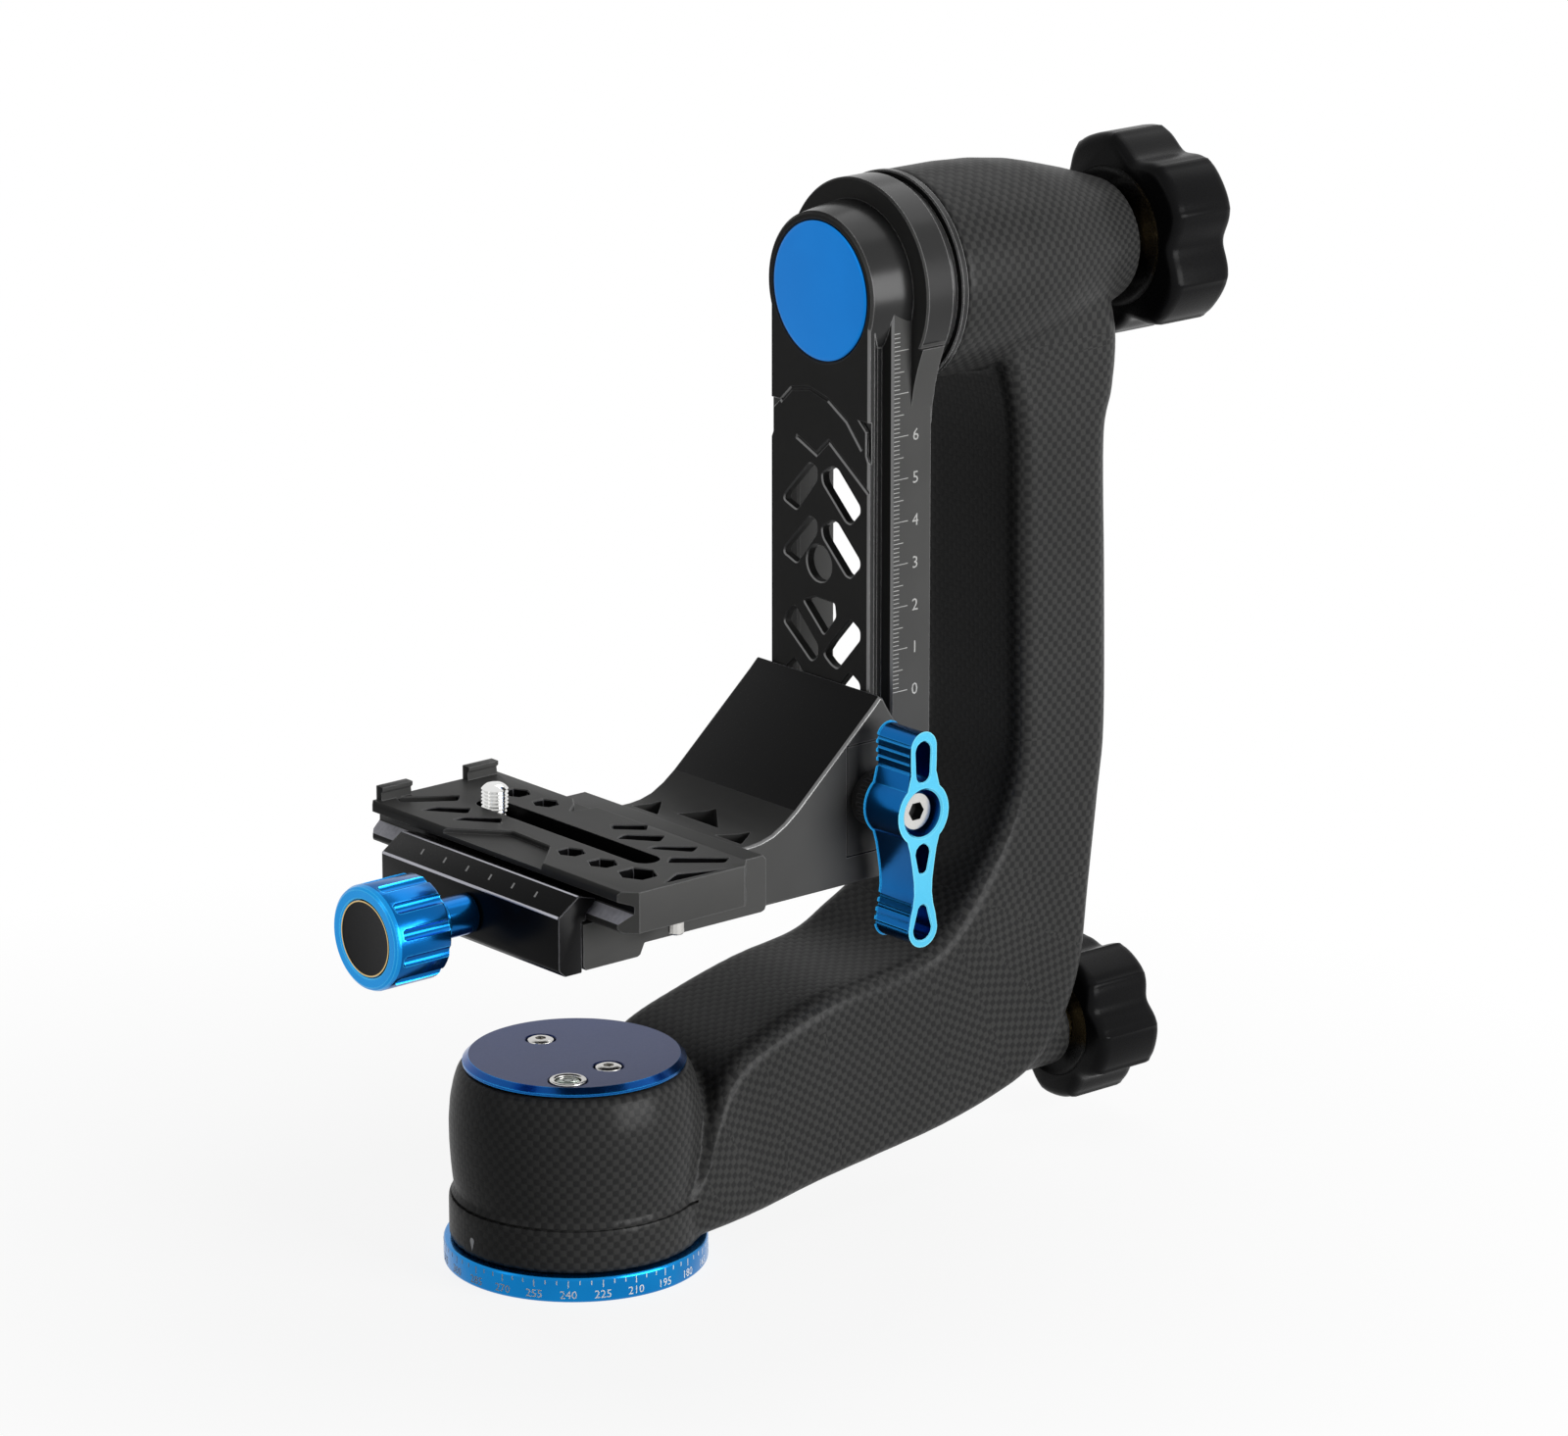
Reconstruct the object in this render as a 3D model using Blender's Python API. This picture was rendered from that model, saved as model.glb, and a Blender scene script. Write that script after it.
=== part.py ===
"""Gimbal tripod head: a side-mount head with a pan base, a swept carbon arm,
a swinging rail with a height-adjustable cradle, and a quick-release lens plate.

Metres, +Z up. The pan axis is Z and the mounting face is z = 0. The arm reaches
along +X, and the lens plate's length lies along Y.
"""
import math

import bmesh
import bpy
from mathutils import Matrix, Vector

# Shared sizes
GAP = 0.0003
OVERRUN = 0.001
EDGE = 0.0004
FINE_STEPS = 48
PLAIN_STEPS = 28
SMALL_STEPS = 12
SMALL_ROUND = 0.0040
PLAIN_ROUND = 0.0200

# Pan base
DIAL_RADIUS = 0.0302
DIAL_HEIGHT = 0.0059
DIAL_WALL = 0.0052
DIAL_CHAMFER = 0.0006
INSERT_BORE_RADIUS = 0.00476
INSERT_WALL = 0.0030
INSERT_LENGTH = 0.0125
SPINDLE_RADIUS = 0.0120
SPINDLE_FLANGE_RADIUS = 0.0175
SPINDLE_FLANGE_THICKNESS = 0.0035
SPINDLE_STUB_RADIUS = 0.0090
PAN_NUT_RADIUS = 0.0140
PAN_NUT_HEIGHT = 0.0038
BASE_SCREW_CIRCLE = 0.0140
BASE_SCREW_COUNT = 3
BASE_SCREW_RADIUS = 0.0015
BASE_SCREW_HEAD_RADIUS = 0.0028
BASE_SCREW_HEAD_HEIGHT = 0.0016

# Pan barrel and its liner
BARREL_RADIUS = 0.0287
BARREL_TOP = 0.0466
COLLAR_RADIUS = 0.0289
COLLAR_HEIGHT = 0.0105
BARREL_WALL = 0.0043
SLEEVE_WALL = 0.0033
SLEEVE_WEB = 0.0030
BEARING_WIDTH = 0.0069
BEARING_SPREAD = 0.0210

# Pan cap with its screws and bubble level
CAP_RADIUS = 0.02545
CAP_THICKNESS = 0.0021
CAP_CHAMFER = 0.0012
CAP_SCREW_OFFSET = 0.0123
CAP_SCREW_RADIUS = 0.0016
CAP_SCREW_HEAD_RADIUS = 0.0032
CAP_SCREW_HEAD_HEIGHT = 0.0012
CAP_SCREW_LENGTH = 0.0042
LEVEL_RADIUS = 0.0042
LEVEL_WALL = 0.0012
LEVEL_DEPTH = 0.0015
LEVEL_OFFSET = 0.0191
LEVEL_BEARING_DEG = 227.0

# Swept arm
ARM_OFFSET = 0.1197
TILT_HEIGHT = 0.2148
ARM_HALF_WIDTH = 0.0185
ARM_SECTION_POINTS = 28
ARM_SQUARENESS = 4.0
# Inner x, inner z, outer x and outer z as shares of the arm's offset and the
# tilt height, and the half width as a share of the arm's.
ARM_STATION_SHARES = (
    (0.033, 0.081, 0.033, 0.0300, 1.38),
    (0.134, 0.102, 0.134, 0.0300, 1.36),
    (0.184, 0.158, 0.226, 0.0307, 1.31),
    (0.251, 0.207, 0.334, 0.0330, 1.21),
    (0.372, 0.235, 0.468, 0.0420, 1.14),
    (0.518, 0.256, 0.635, 0.0520, 1.10),
    (0.668, 0.264, 0.794, 0.0625, 1.08),
    (0.760, 0.273, 0.936, 0.0790, 1.06),
    (0.831, 0.298, 1.065, 0.1030, 1.04),
    (0.898, 0.340, 1.143, 0.1420, 1.02),
    (0.952, 0.384, 1.186, 0.1960, 1.01),
    (0.988, 0.433, 1.207, 0.2790, 1.00),
    (1.001, 0.484, 1.236, 0.3910, 1.00),
    (0.999, 0.559, 1.251, 0.4750, 1.00),
    (0.996, 0.698, 1.249, 0.6520, 1.00),
    (0.992, 0.815, 1.244, 0.8010, 1.00),
)
# The same under the tilt housing, where the outer x is a share of its end's.
ARM_HEAD_SHARES = (
    (0.969, 0.885, 0.952, 0.8520, 0.98),
    (0.936, 0.945, 0.959, 0.9220, 0.95),
    (0.919, 1.006, 0.928, 1.0060, 0.90),
)

# Tilt housing, its liner and the shaft
HOUSING_RADIUS = 0.0245
HOUSING_OVERHANG = 0.0232
HOUSING_LENGTH = 0.0630
HOUSING_END_RADIUS = 0.0140
FLANGE_RADIUS = 0.0248
FLANGE_THICKNESS = 0.0019
THRUST_RADIUS = 0.0235
THRUST_THICKNESS = 0.0017
TILT_SHAFT_RADIUS = 0.0080
TILT_STUD_RADIUS = 0.0050
TILT_STUD_LENGTH = 0.0140
SHAFT_FLANGE_RADIUS = 0.0150
SHAFT_FLANGE_THICKNESS = 0.0037
FRONT_BEARING_RADIUS = 0.0160
FRONT_BEARING_WIDTH = 0.0087
REAR_BEARING_RADIUS = 0.0112
REAR_BEARING_WIDTH = 0.0080
LINER_WALL = 0.0037
LINER_STEP = 0.0152
LINER_LENGTH = 0.0492

# Lobed clamping knobs
KNOB_LOBES = 5
KNOB_POINTS_PER_LOBE = 12
KNOB_VALLEY_SHARE = 0.16
KNOB_VALLEY_SHARPNESS = 2.5
KNOB_ROUNDING = 0.0024
TILT_KNOB_RADIUS = 0.0242
TILT_KNOB_DEPTH = 0.0186
TILT_KNOB_PHASE_DEG = 35.0
PAN_KNOB_RADIUS = 0.0187
PAN_KNOB_DEPTH = 0.0195
PAN_KNOB_PHASE_DEG = 58.0
PAN_KNOB_START_SHARE = 1.2214
KNOB_INSERT_WALL = 0.0028
KNOB_CAP_SHARE = 0.46
KNOB_CAP_THICKNESS = 0.0016
BRAKE_WASHER_RADIUS = 0.0110
BRAKE_WASHER_THICKNESS = 0.0024

# Pan lock inside the arm
PAN_LOCK_HEIGHT = 0.0237
LOCK_ROD_RADIUS = 0.0030
BRAKE_SHOE_RADIUS = 0.0042
BRAKE_SHOE_LENGTH = 0.0067
LOCK_TRAVEL = 0.0010
LOCK_BUSH_RADIUS = 0.0062
LOCK_BUSH_WALL = 0.0026
LOCK_BOSS_WALL = 0.0030
LOCK_BOSS_START_SHARE = 0.9357

# Swinging rail
RAIL_DEPTH = 0.0177
RAIL_FACE_HALF = 0.01715
RAIL_WAIST_HALF = 0.0153
RAIL_BODY_HALF = 0.01885
RAIL_FLANGE = 0.0018
RAIL_WAIST_DEPTH = 0.0042
RAIL_SHOULDER_DEPTH = 0.0056
RAIL_WEB = 0.0022
RAIL_WALL = 0.0033
RAIL_WAIST_WALL = 0.0020
RAIL_BOTTOM = 0.0840
HUB_THICKNESS = 0.0080
HUB_RADIUS = 0.0245
HUB_PROUD = 0.0015
BOSS_FRONT_RADIUS = 0.0183
BOSS_BACK_RADIUS = 0.0196
BADGE_RADIUS = 0.0161
BADGE_THICKNESS = 0.0009
BADGE_RIM_GAP = 0.00025
POCKET_DROP = 0.0285
FLARE_DROP = 0.0300
FLARE_END_SHARE = 0.72
FLARE_STEP_SHARES = ((0.0, 0.0), (0.25, 0.10), (0.50, 0.30), (0.75, 0.60), (1.0, 1.0))
LATTICE_PITCH = 0.0127
LATTICE_TOP_DROP = 0.0463
LATTICE_SLOT_OFFSET = 0.0067
LATTICE_SLOT_HALF_LENGTH = 0.0069
LATTICE_SLOT_HALF_WIDTH = 0.0024
LATTICE_HOLE_STEP = 0.0052
LATTICE_HOLE_RADIUS = 0.0042
LATTICE_TRIANGLE_STEP = 0.0116
LATTICE_V_STEP = 0.0054
LATTICE_TRIANGLE_HALF = 0.0052
LATTICE_TRIANGLE_HEIGHT = 0.0080
HUB_SCREW_CIRCLE = 0.0105
HUB_SCREW_COUNT = 3
HUB_SCREW_RADIUS = 0.0020
HUB_SCREW_HEAD_RADIUS = 0.0034
HUB_SCREW_HEAD_HEIGHT = 0.0030
STOP_SCREW_RADIUS = 0.0016
STOP_SCREW_HEAD_RADIUS = 0.0030
STOP_SCREW_HEAD_HEIGHT = 0.0016

# Cradle bracket
BRACKET_HALF_WIDTH = 0.0220
BRACKET_HEIGHT = 0.0433
BRACKET_SINK = 0.0030
BRACKET_LIP = 0.0046
BRACKET_FRONT_X = 0.0303
# Points of the side outline as shares of the bracket's reach and height.
BRACKET_OUTLINE_SHARES = (
    (0.000, 0.020), (0.020, 0.000), (0.960, 0.000), (1.000, 0.050),
    (1.000, 0.843), (0.950, 0.925), (0.918, 0.982), (0.886, 1.000),
    (0.845, 0.948), (0.427, 0.545), (0.355, 0.476), (0.270, 0.411),
    (0.153, 0.367), (0.000, 0.356),
)
LEDGE_LENGTH = 0.0110
LEDGE_THICKNESS = 0.0038
LEDGE_RAISE = 0.0004
BRACKET_SCREW_OFFSET = 0.0130
BRACKET_SCREW_RADIUS = 0.0018
BRACKET_SCREW_HEAD_RADIUS = 0.0032
BRACKET_SCREW_HEAD_HEIGHT = 0.0018
BRACKET_SCREW_LENGTH = 0.0052
# Corners of the floor's triangular windows: distance from the front edge as a
# share of the bracket's reach, and y as a share of its half width.
OUTER_WINDOW_SHARES = ((0.055, 0.89), (0.185, 0.72), (0.055, 0.46))
INNER_WINDOW_SHARES = ((0.130, 0.34), (0.250, 0.0), (0.130, -0.34))

# Rail jaw with its lever
LEVER_X_DROP = 0.0030
LEVER_HEIGHT = 0.0200
RAIL_JAW_LENGTH = 0.0260
RAIL_JAW_WIDTH = 0.0118
RAIL_JAW_TRAVEL = 0.0010
JAW_SCREW_RADIUS = 0.0022
JAW_SCREW_HOLD = 0.0150
LEVER_BOSS_RADIUS = 0.0065
LEVER_BOSS_LENGTH = 0.0054
LEVER_THICKNESS = 0.0120
LEVER_HUB_RADIUS = 0.00725
LEVER_BORE_RADIUS = 0.0055
LEVER_FLOOR = 0.0040
LEVER_HEAD_HEIGHT = 0.0052
LEVER_HEAD_RADIUS = 0.0046
LEVER_UP = 0.0190
LEVER_DOWN = 0.0314
LEVER_TIP_HALF = 0.0038
LEVER_NECK_HALF = 0.0028
LEVER_WALL = 0.0013

# Quick-release clamp
PLATE_CENTRE_X = -0.00285
CLAMP_HALF_LENGTH = 0.0320
CLAMP_FLOOR_RAISE = 0.0032
CLAMP_SEAT_RAISE = 0.0111
CLAMP_TOE_RAISE = 0.0003
JAW_FOOT_CHAMFER = 0.0022
CLAMP_TOE_LENGTH = 0.0165
JAW_BODY_THICKNESS = 0.0066
JAW_OUTER_HEIGHT = 0.0140
JAW_LIP_WIDTH = 0.0050
JAW_LIP_RISE = 0.0008
SEAT_SIDE_GAP = 0.0018
CLAMP_AXIS_RAISE = 0.0075
CLAMP_ROD_RADIUS = 0.0025
CLAMP_ROD_HOLD = 0.0140
GUIDE_PIN_OFFSET = 0.0200
GUIDE_PIN_RADIUS = 0.0020
GUIDE_PIN_HOLD = 0.0120
CLAMP_STEM_RADIUS = 0.0046
CLAMP_STEM_LENGTH = 0.0134
CLAMP_KNOB_RADIUS = 0.0120
CLAMP_KNOB_LENGTH = 0.0154
CLAMP_KNOB_SCALLOPS = 12
CLAMP_KNOB_POINTS_PER_SCALLOP = 5
CLAMP_KNOB_SCALLOP_SHARE = 0.045
CLAMP_KNOB_CAP_RADIUS = 0.0086
CLAMP_KNOB_CAP_THICKNESS = 0.0010

# Lens plate
PLATE_HALF_WIDTH = 0.0185
PLATE_WAIST_HALF = 0.0158
PLATE_LENGTH = 0.0928
PLATE_CENTRE_Y = 0.0007
PLATE_THICKNESS = 0.0095
PLATE_FLARE_HEIGHT = 0.0018
PLATE_SLOPE_RISE = 0.0027
PLATE_RIM_HEIGHT = 0.0024
PLATE_RIM_CHAMFER = 0.0008
PLATE_CORNER = 0.0035
TAB_WIDTH = 0.0087
TAB_HEIGHT = 0.0033
TAB_THICKNESS = 0.0020
SCREW_SLOT_X = 0.0013
SCREW_SLOT_HALF_WIDTH = 0.0034
SCREW_SLOT_HALF_LENGTH = 0.0310
SCREW_CHANNEL_HALF_WIDTH = 0.0062
SCREW_CHANNEL_DEPTH = 0.0048
RELIEF_DEPTH = 0.0030
# Slots in the plate's top: the ends' x and y as shares of the plate's half
# width and half length, and the slot's half width as a share of the half width.
PLATE_SLOT_SHARES = (
    (-0.68, 0.90, -0.12, 0.75, 0.075), (-0.66, 0.70, -0.33, 0.58, 0.070),
    (-0.60, 0.48, -0.28, 0.36, 0.070), (0.98, -0.10, 0.66, -0.17, 0.070),
    (0.80, -0.37, 0.38, -0.26, 0.075), (0.80, -0.61, 0.44, -0.49, 0.075),
    (0.80, -0.85, 0.24, -0.69, 0.080), (0.44, -0.97, -0.20, -0.93, 0.060),
)
# Hexagonal pockets: centre x and y, and the radius, as shares of the half
# width, the half length and the half width.
PLATE_HEX_SHARES = (
    (-0.42, -0.30, 0.23), (-0.40, -0.54, 0.25), (-0.36, -0.78, 0.29),
    (0.60, 0.645, 0.22), (0.61, 0.41, 0.22),
)
# The stepped recess in the plate's knob side.
PLATE_STEP_SHARES = (
    (-1.20, 0.46), (-1.00, 0.41), (-0.40, 0.16), (-0.45, -0.14), (-0.97, -0.34),
    (-1.20, -0.36),
)
PLATE_NOTCH_SHARES = ((1.20, 0.39), (0.84, 0.33), (0.84, 0.20), (1.20, 0.14))
STOP_PIN_OFFSET = 0.0400
STOP_PIN_RADIUS = 0.0018
STOP_PIN_DROP = 0.0045
STOP_PIN_SEAT = 0.0030

# Camera screw and its carrier
CAMERA_SCREW_RADIUS = 0.0031
CAMERA_SCREW_RISE = 0.0052
CAMERA_SCREW_Y = 0.0262
CAMERA_HEAD_RADIUS = 0.0048
CAMERA_HEAD_HEIGHT = 0.0024
CARRIER_HALF_LENGTH = 0.0046
CARRIER_THICKNESS = 0.0016

# Levels and stations that follow from the sizes above
SEAT_HEIGHT = DIAL_HEIGHT + GAP
BASE_PLATE_HEIGHT = DIAL_HEIGHT - GAP
DIAL_BORE = DIAL_RADIUS - DIAL_WALL
INSERT_RADIUS = INSERT_BORE_RADIUS + INSERT_WALL
BARREL_BORE = BARREL_RADIUS - BARREL_WALL - EDGE * 6.0
SLEEVE_RADIUS = BARREL_BORE - GAP
SLEEVE_BORE = SLEEVE_RADIUS - SLEEVE_WALL
FLANGE_TOP = BASE_PLATE_HEIGHT + GAP + SPINDLE_FLANGE_THICKNESS
LOWER_BEARING_Z = FLANGE_TOP + GAP
UPPER_BEARING_Z = LOWER_BEARING_Z + BEARING_SPREAD
PAN_NUT_Z = UPPER_BEARING_Z + BEARING_WIDTH + GAP
HOUSING_FRONT = ARM_OFFSET - HOUSING_OVERHANG
HOUSING_END = HOUSING_FRONT + HOUSING_LENGTH
PAN_KNOB_START = ARM_OFFSET * PAN_KNOB_START_SHARE
LOCK_BOSS_START = ARM_OFFSET * LOCK_BOSS_START_SHARE
FLANGE_FRONT = HOUSING_FRONT - GAP - FLANGE_THICKNESS
THRUST_FRONT = FLANGE_FRONT - GAP - THRUST_THICKNESS
HUB_BACK = THRUST_FRONT - GAP
HUB_FRONT = HUB_BACK - HUB_THICKNESS
RAIL_BACK = HUB_BACK - HUB_PROUD
RAIL_FRONT = RAIL_BACK - RAIL_DEPTH
BRAKE_WASHER_START = HOUSING_END + GAP
TILT_KNOB_START = BRAKE_WASHER_START + BRAKE_WASHER_THICKNESS + GAP
BRACKET_BOTTOM = RAIL_BOTTOM - BRACKET_SINK
BRACKET_BACK = RAIL_FRONT + BRACKET_LIP
BRACKET_SPAN = BRACKET_BACK - BRACKET_FRONT_X
LATTICE_HOLE_DROP = LATTICE_TOP_DROP + LATTICE_PITCH + LATTICE_HOLE_STEP
LATTICE_TRIANGLE_DROP = LATTICE_HOLE_DROP + LATTICE_TRIANGLE_STEP
LATTICE_V_DROP = LATTICE_TRIANGLE_DROP + LATTICE_V_STEP
LEVER_X = RAIL_FRONT - LEVER_X_DROP
LEVER_Z = BRACKET_BOTTOM + LEVER_HEIGHT
CLAMP_SEAT_Z = BRACKET_BOTTOM + CLAMP_SEAT_RAISE
PLATE_BOTTOM = CLAMP_SEAT_Z + GAP
PLATE_TOP = PLATE_BOTTOM + PLATE_THICKNESS
FLARE_TOP = PLATE_BOTTOM + PLATE_FLARE_HEIGHT
WAIST_Z = FLARE_TOP + PLATE_SLOPE_RISE
LIP_TOP = WAIST_Z + GAP + EDGE
CLAMP_AXIS_Z = BRACKET_BOTTOM + CLAMP_AXIS_RAISE
SIDE_CLEAR = GAP * 1.5
BASE_LEFT_X = PLATE_CENTRE_X - PLATE_HALF_WIDTH - SEAT_SIDE_GAP + SIDE_CLEAR
JAW_INNER_X = BASE_LEFT_X - GAP
JAW_OUTER_X = JAW_INNER_X - JAW_BODY_THICKNESS
STEM_START = JAW_OUTER_X - GAP
CLAMP_KNOB_FACE = STEM_START - CLAMP_STEM_LENGTH - CLAMP_KNOB_LENGTH

AXES = {"X": Vector((1, 0, 0)), "Y": Vector((0, 1, 0)), "Z": Vector((0, 0, 1))}


# Making and finishing pieces

def clear_scene():
    """Remove whatever the open file holds."""
    for item in list(bpy.data.objects):
        bpy.data.objects.remove(item, do_unlink=True)


def material(name, colour, roughness, metallic):
    """A Principled material with one colour, roughness and metallic value."""
    made = bpy.data.materials.new(name)
    made.use_nodes = True
    shader = made.node_tree.nodes["Principled BSDF"]
    shader.inputs["Base Color"].default_value = (*colour, 1)
    shader.inputs["Roughness"].default_value = roughness
    shader.inputs["Metallic"].default_value = metallic
    return made


def body(name, pivot, parent=None):
    """An empty on a joint's axis, which carries the pieces of one moving body."""
    empty = bpy.data.objects.new(name, None)
    bpy.context.scene.collection.objects.link(empty)
    empty.location = Vector(pivot) - (parent.matrix_world.translation if parent else Vector())
    empty.parent = parent
    bpy.context.view_layer.update()
    return empty


def piece(name, shape, finish, carrier):
    """Make an object from a bmesh in world places, with its origin on the carrier."""
    pivot = carrier.matrix_world.translation
    bmesh.ops.recalc_face_normals(shape, faces=shape.faces)
    bmesh.ops.translate(shape, verts=shape.verts, vec=-pivot)
    mesh = bpy.data.meshes.new(name)
    shape.to_mesh(mesh)
    shape.free()
    mesh.shade_smooth()
    mesh.set_sharp_from_angle(angle=math.radians(35))
    made = bpy.data.objects.new(name, mesh)
    made.data.materials.append(finish)
    bpy.context.scene.collection.objects.link(made)
    made.parent = carrier
    return made


def combine(target, shape, operation):
    """Join or cut a piece with a hidden guide solid, by an exact Boolean."""
    bmesh.ops.recalc_face_normals(shape, faces=shape.faces)
    mesh = bpy.data.meshes.new(target.name + "_guide")
    shape.to_mesh(mesh)
    shape.free()
    guide = bpy.data.objects.new(target.name + "_guide", mesh)
    guide.hide_render = True
    guide.display_type = "WIRE"
    bpy.context.scene.collection.objects.link(guide)
    step = target.modifiers.new(operation.lower(), "BOOLEAN")
    step.operation = operation
    step.solver = "EXACT"
    step.object = guide


def cut(target, *shapes):
    """Cut guide solids out of a piece."""
    for shape in shapes:
        combine(target, shape, "DIFFERENCE")


def join(target, *shapes):
    """Unite guide solids with a piece."""
    for shape in shapes:
        combine(target, shape, "UNION")


def soften(target, width, steps=1, angle=40.0):
    """Break a piece's sharp edges with a narrow bevel."""
    bevel = target.modifiers.new("broken_edges", "BEVEL")
    bevel.width = width
    bevel.segments = steps
    bevel.limit_method = "ANGLE"
    bevel.angle_limit = math.radians(angle)
    bevel.use_clamp_overlap = True


# Basic solids

def round_steps(radius):
    """How many flats a round of this radius is made with."""
    if radius < SMALL_ROUND:
        return SMALL_STEPS
    return PLAIN_STEPS if radius < PLAIN_ROUND else FINE_STEPS


def turned(outline, axis, centre, steps=None):
    """Spin an outline of (distance along the axis, radius) points round an axis.

    An outline that starts and ends on the axis makes a full solid, and any other
    is closed on itself and makes a ring.
    """
    along = AXES[axis]
    out = AXES["Z"] if axis == "X" else AXES["X"]
    centre = Vector(centre)
    steps = steps or round_steps(max(r for a, r in outline))
    shape = bmesh.new()
    solid = outline[0][1] == 0 and outline[-1][1] == 0
    profile = outline[1:-1] if solid else outline
    points = [shape.verts.new(centre + along * a + out * r) for a, r in profile]
    edges = [shape.edges.new(pair) for pair in zip(points, points[1:])]
    if not solid:
        edges.append(shape.edges.new((points[-1], points[0])))
    bmesh.ops.spin(shape, geom=points + edges, cent=centre, axis=along,
                   angle=math.tau, steps=steps, use_merge=True)
    bmesh.ops.remove_doubles(shape, verts=shape.verts, dist=GAP / 1000)
    if solid:
        rims = [edge for edge in shape.edges if edge.is_boundary]
        bmesh.ops.holes_fill(shape, edges=rims, sides=0)
    bmesh.ops.recalc_face_normals(shape, faces=shape.faces)
    return shape


def rod(radius, axis, centre, start, end, steps=None, chamfer=0.0):
    """A round bar along an axis, between two distances from the centre."""
    outline = [(start, 0), (start, radius - chamfer)]
    if chamfer:
        outline += [(start + chamfer, radius), (end - chamfer, radius)]
    outline += [(end, radius - chamfer), (end, 0)]
    return turned(outline, axis, centre, steps)


def ring(inner, outer, axis, centre, start, end, steps=None, chamfer=0.0):
    """A plain or chamfered ring along an axis."""
    outline = [(start, inner), (end, inner), (end, outer - chamfer)]
    if chamfer:
        outline += [(end - chamfer, outer), (start + chamfer, outer)]
    outline += [(start, outer - chamfer)]
    return turned(outline, axis, centre, steps)


def screw_holes(axis, spots, start, neck, end, head_radius, radius):
    """Guide solids for counterbored holes, each wide from start to neck."""
    outline = [(start, 0), (start, head_radius), (neck, head_radius), (neck, radius),
               (end, radius), (end, 0)]
    return grouped([turned(outline, axis, spot, SMALL_STEPS) for spot in spots])


def raised(point, axis, level):
    """A 2-D point put at a level along an axis: (y, z), (x, z) or (x, y)."""
    u, v = point
    if axis == "X":
        return Vector((level, u, v))
    if axis == "Y":
        return Vector((u, level, v))
    return Vector((u, v, level))


def extruded(outline, axis, low, high, holes=()):
    """A flat outline with holes, extruded along an axis from low to high."""
    shape = bmesh.new()
    edges = []
    for loop in (outline, *holes):
        points = [shape.verts.new(raised(point, axis, low)) for point in loop]
        edges += [shape.edges.new(pair) for pair in zip(points, points[1:] + points[:1])]
    if holes:
        bmesh.ops.triangle_fill(shape, edges=edges, use_beauty=True)
    else:
        bmesh.ops.contextual_create(shape, geom=edges)
    grown = bmesh.ops.extrude_face_region(shape, geom=shape.faces[:], use_keep_orig=True)
    top = [item for item in grown["geom"] if isinstance(item, bmesh.types.BMVert)]
    bmesh.ops.translate(shape, verts=top, vec=AXES[axis] * (high - low))
    bmesh.ops.recalc_face_normals(shape, faces=shape.faces)
    return shape


def box(low, high):
    """A rectangular block between two corners."""
    low, high = Vector(low), Vector(high)
    shape = bmesh.new()
    bmesh.ops.create_cube(shape, size=1)
    bmesh.ops.scale(shape, verts=shape.verts, vec=high - low)
    bmesh.ops.translate(shape, verts=shape.verts, vec=(low + high) / 2)
    return shape


def lofted(rings):
    """Bridge closed rings of points in turn, and cap both ends."""
    shape = bmesh.new()
    loops = []
    for points in rings:
        verts = [shape.verts.new(point) for point in points]
        loops.append([shape.edges.new(pair) for pair in zip(verts, verts[1:] + verts[:1])])
    for first, second in zip(loops, loops[1:]):
        bmesh.ops.bridge_loops(shape, edges=first + second)
    bmesh.ops.contextual_create(shape, geom=loops[0])
    bmesh.ops.contextual_create(shape, geom=loops[-1])
    bmesh.ops.recalc_face_normals(shape, faces=shape.faces)
    return shape


def grouped(shapes):
    """Several separate solids in one bmesh."""
    whole = bmesh.new()
    for shape in shapes:
        mesh = bpy.data.meshes.new("group")
        shape.to_mesh(mesh)
        shape.free()
        whole.from_mesh(mesh)
        bpy.data.meshes.remove(mesh)
    return whole


def mirrored(points):
    """Continue a list of points with their mirror images in the first coordinate's line."""
    return list(points) + [(u, -v) for u, v in reversed(points)]


def arc(centre, radius, start_deg, end_deg, steps):
    """Points on a circular arc, ends included."""
    turn = math.radians(end_deg - start_deg) / steps
    first = math.radians(start_deg)
    return [(centre[0] + radius * math.cos(first + turn * n),
             centre[1] + radius * math.sin(first + turn * n)) for n in range(steps + 1)]


def slot_outline(start, end, half_width, steps=4):
    """A round-ended slot between two centres."""
    heading = math.degrees(math.atan2(end[1] - start[1], end[0] - start[0]))
    return (arc(end, half_width, heading - 90, heading + 90, steps)
            + arc(start, half_width, heading + 90, heading + 270, steps))


def polygon(centre, radius, sides, phase_deg):
    """A regular polygon."""
    return [(centre[0] + radius * math.cos(math.radians(phase_deg) + math.tau * n / sides),
             centre[1] + radius * math.sin(math.radians(phase_deg) + math.tau * n / sides))
            for n in range(sides)]


# Pan base

def make_base_plate(finish, carrier):
    """The turned foot: a disc round the tripod thread, with sunk screw holes."""
    centre = (0, 0, 0)
    plate = piece("base_plate", ring(INSERT_RADIUS + GAP, DIAL_BORE - GAP, "Z", centre, 0,
                                     BASE_PLATE_HEIGHT, FINE_STEPS, EDGE), finish, carrier)
    cut(plate, screw_holes("Z", circle_spots(BASE_SCREW_CIRCLE, BASE_SCREW_COUNT), -OVERRUN,
                           BASE_SCREW_HEAD_HEIGHT + GAP + GAP, DIAL_HEIGHT + OVERRUN,
                           BASE_SCREW_HEAD_RADIUS + GAP, BASE_SCREW_RADIUS + GAP))


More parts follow.
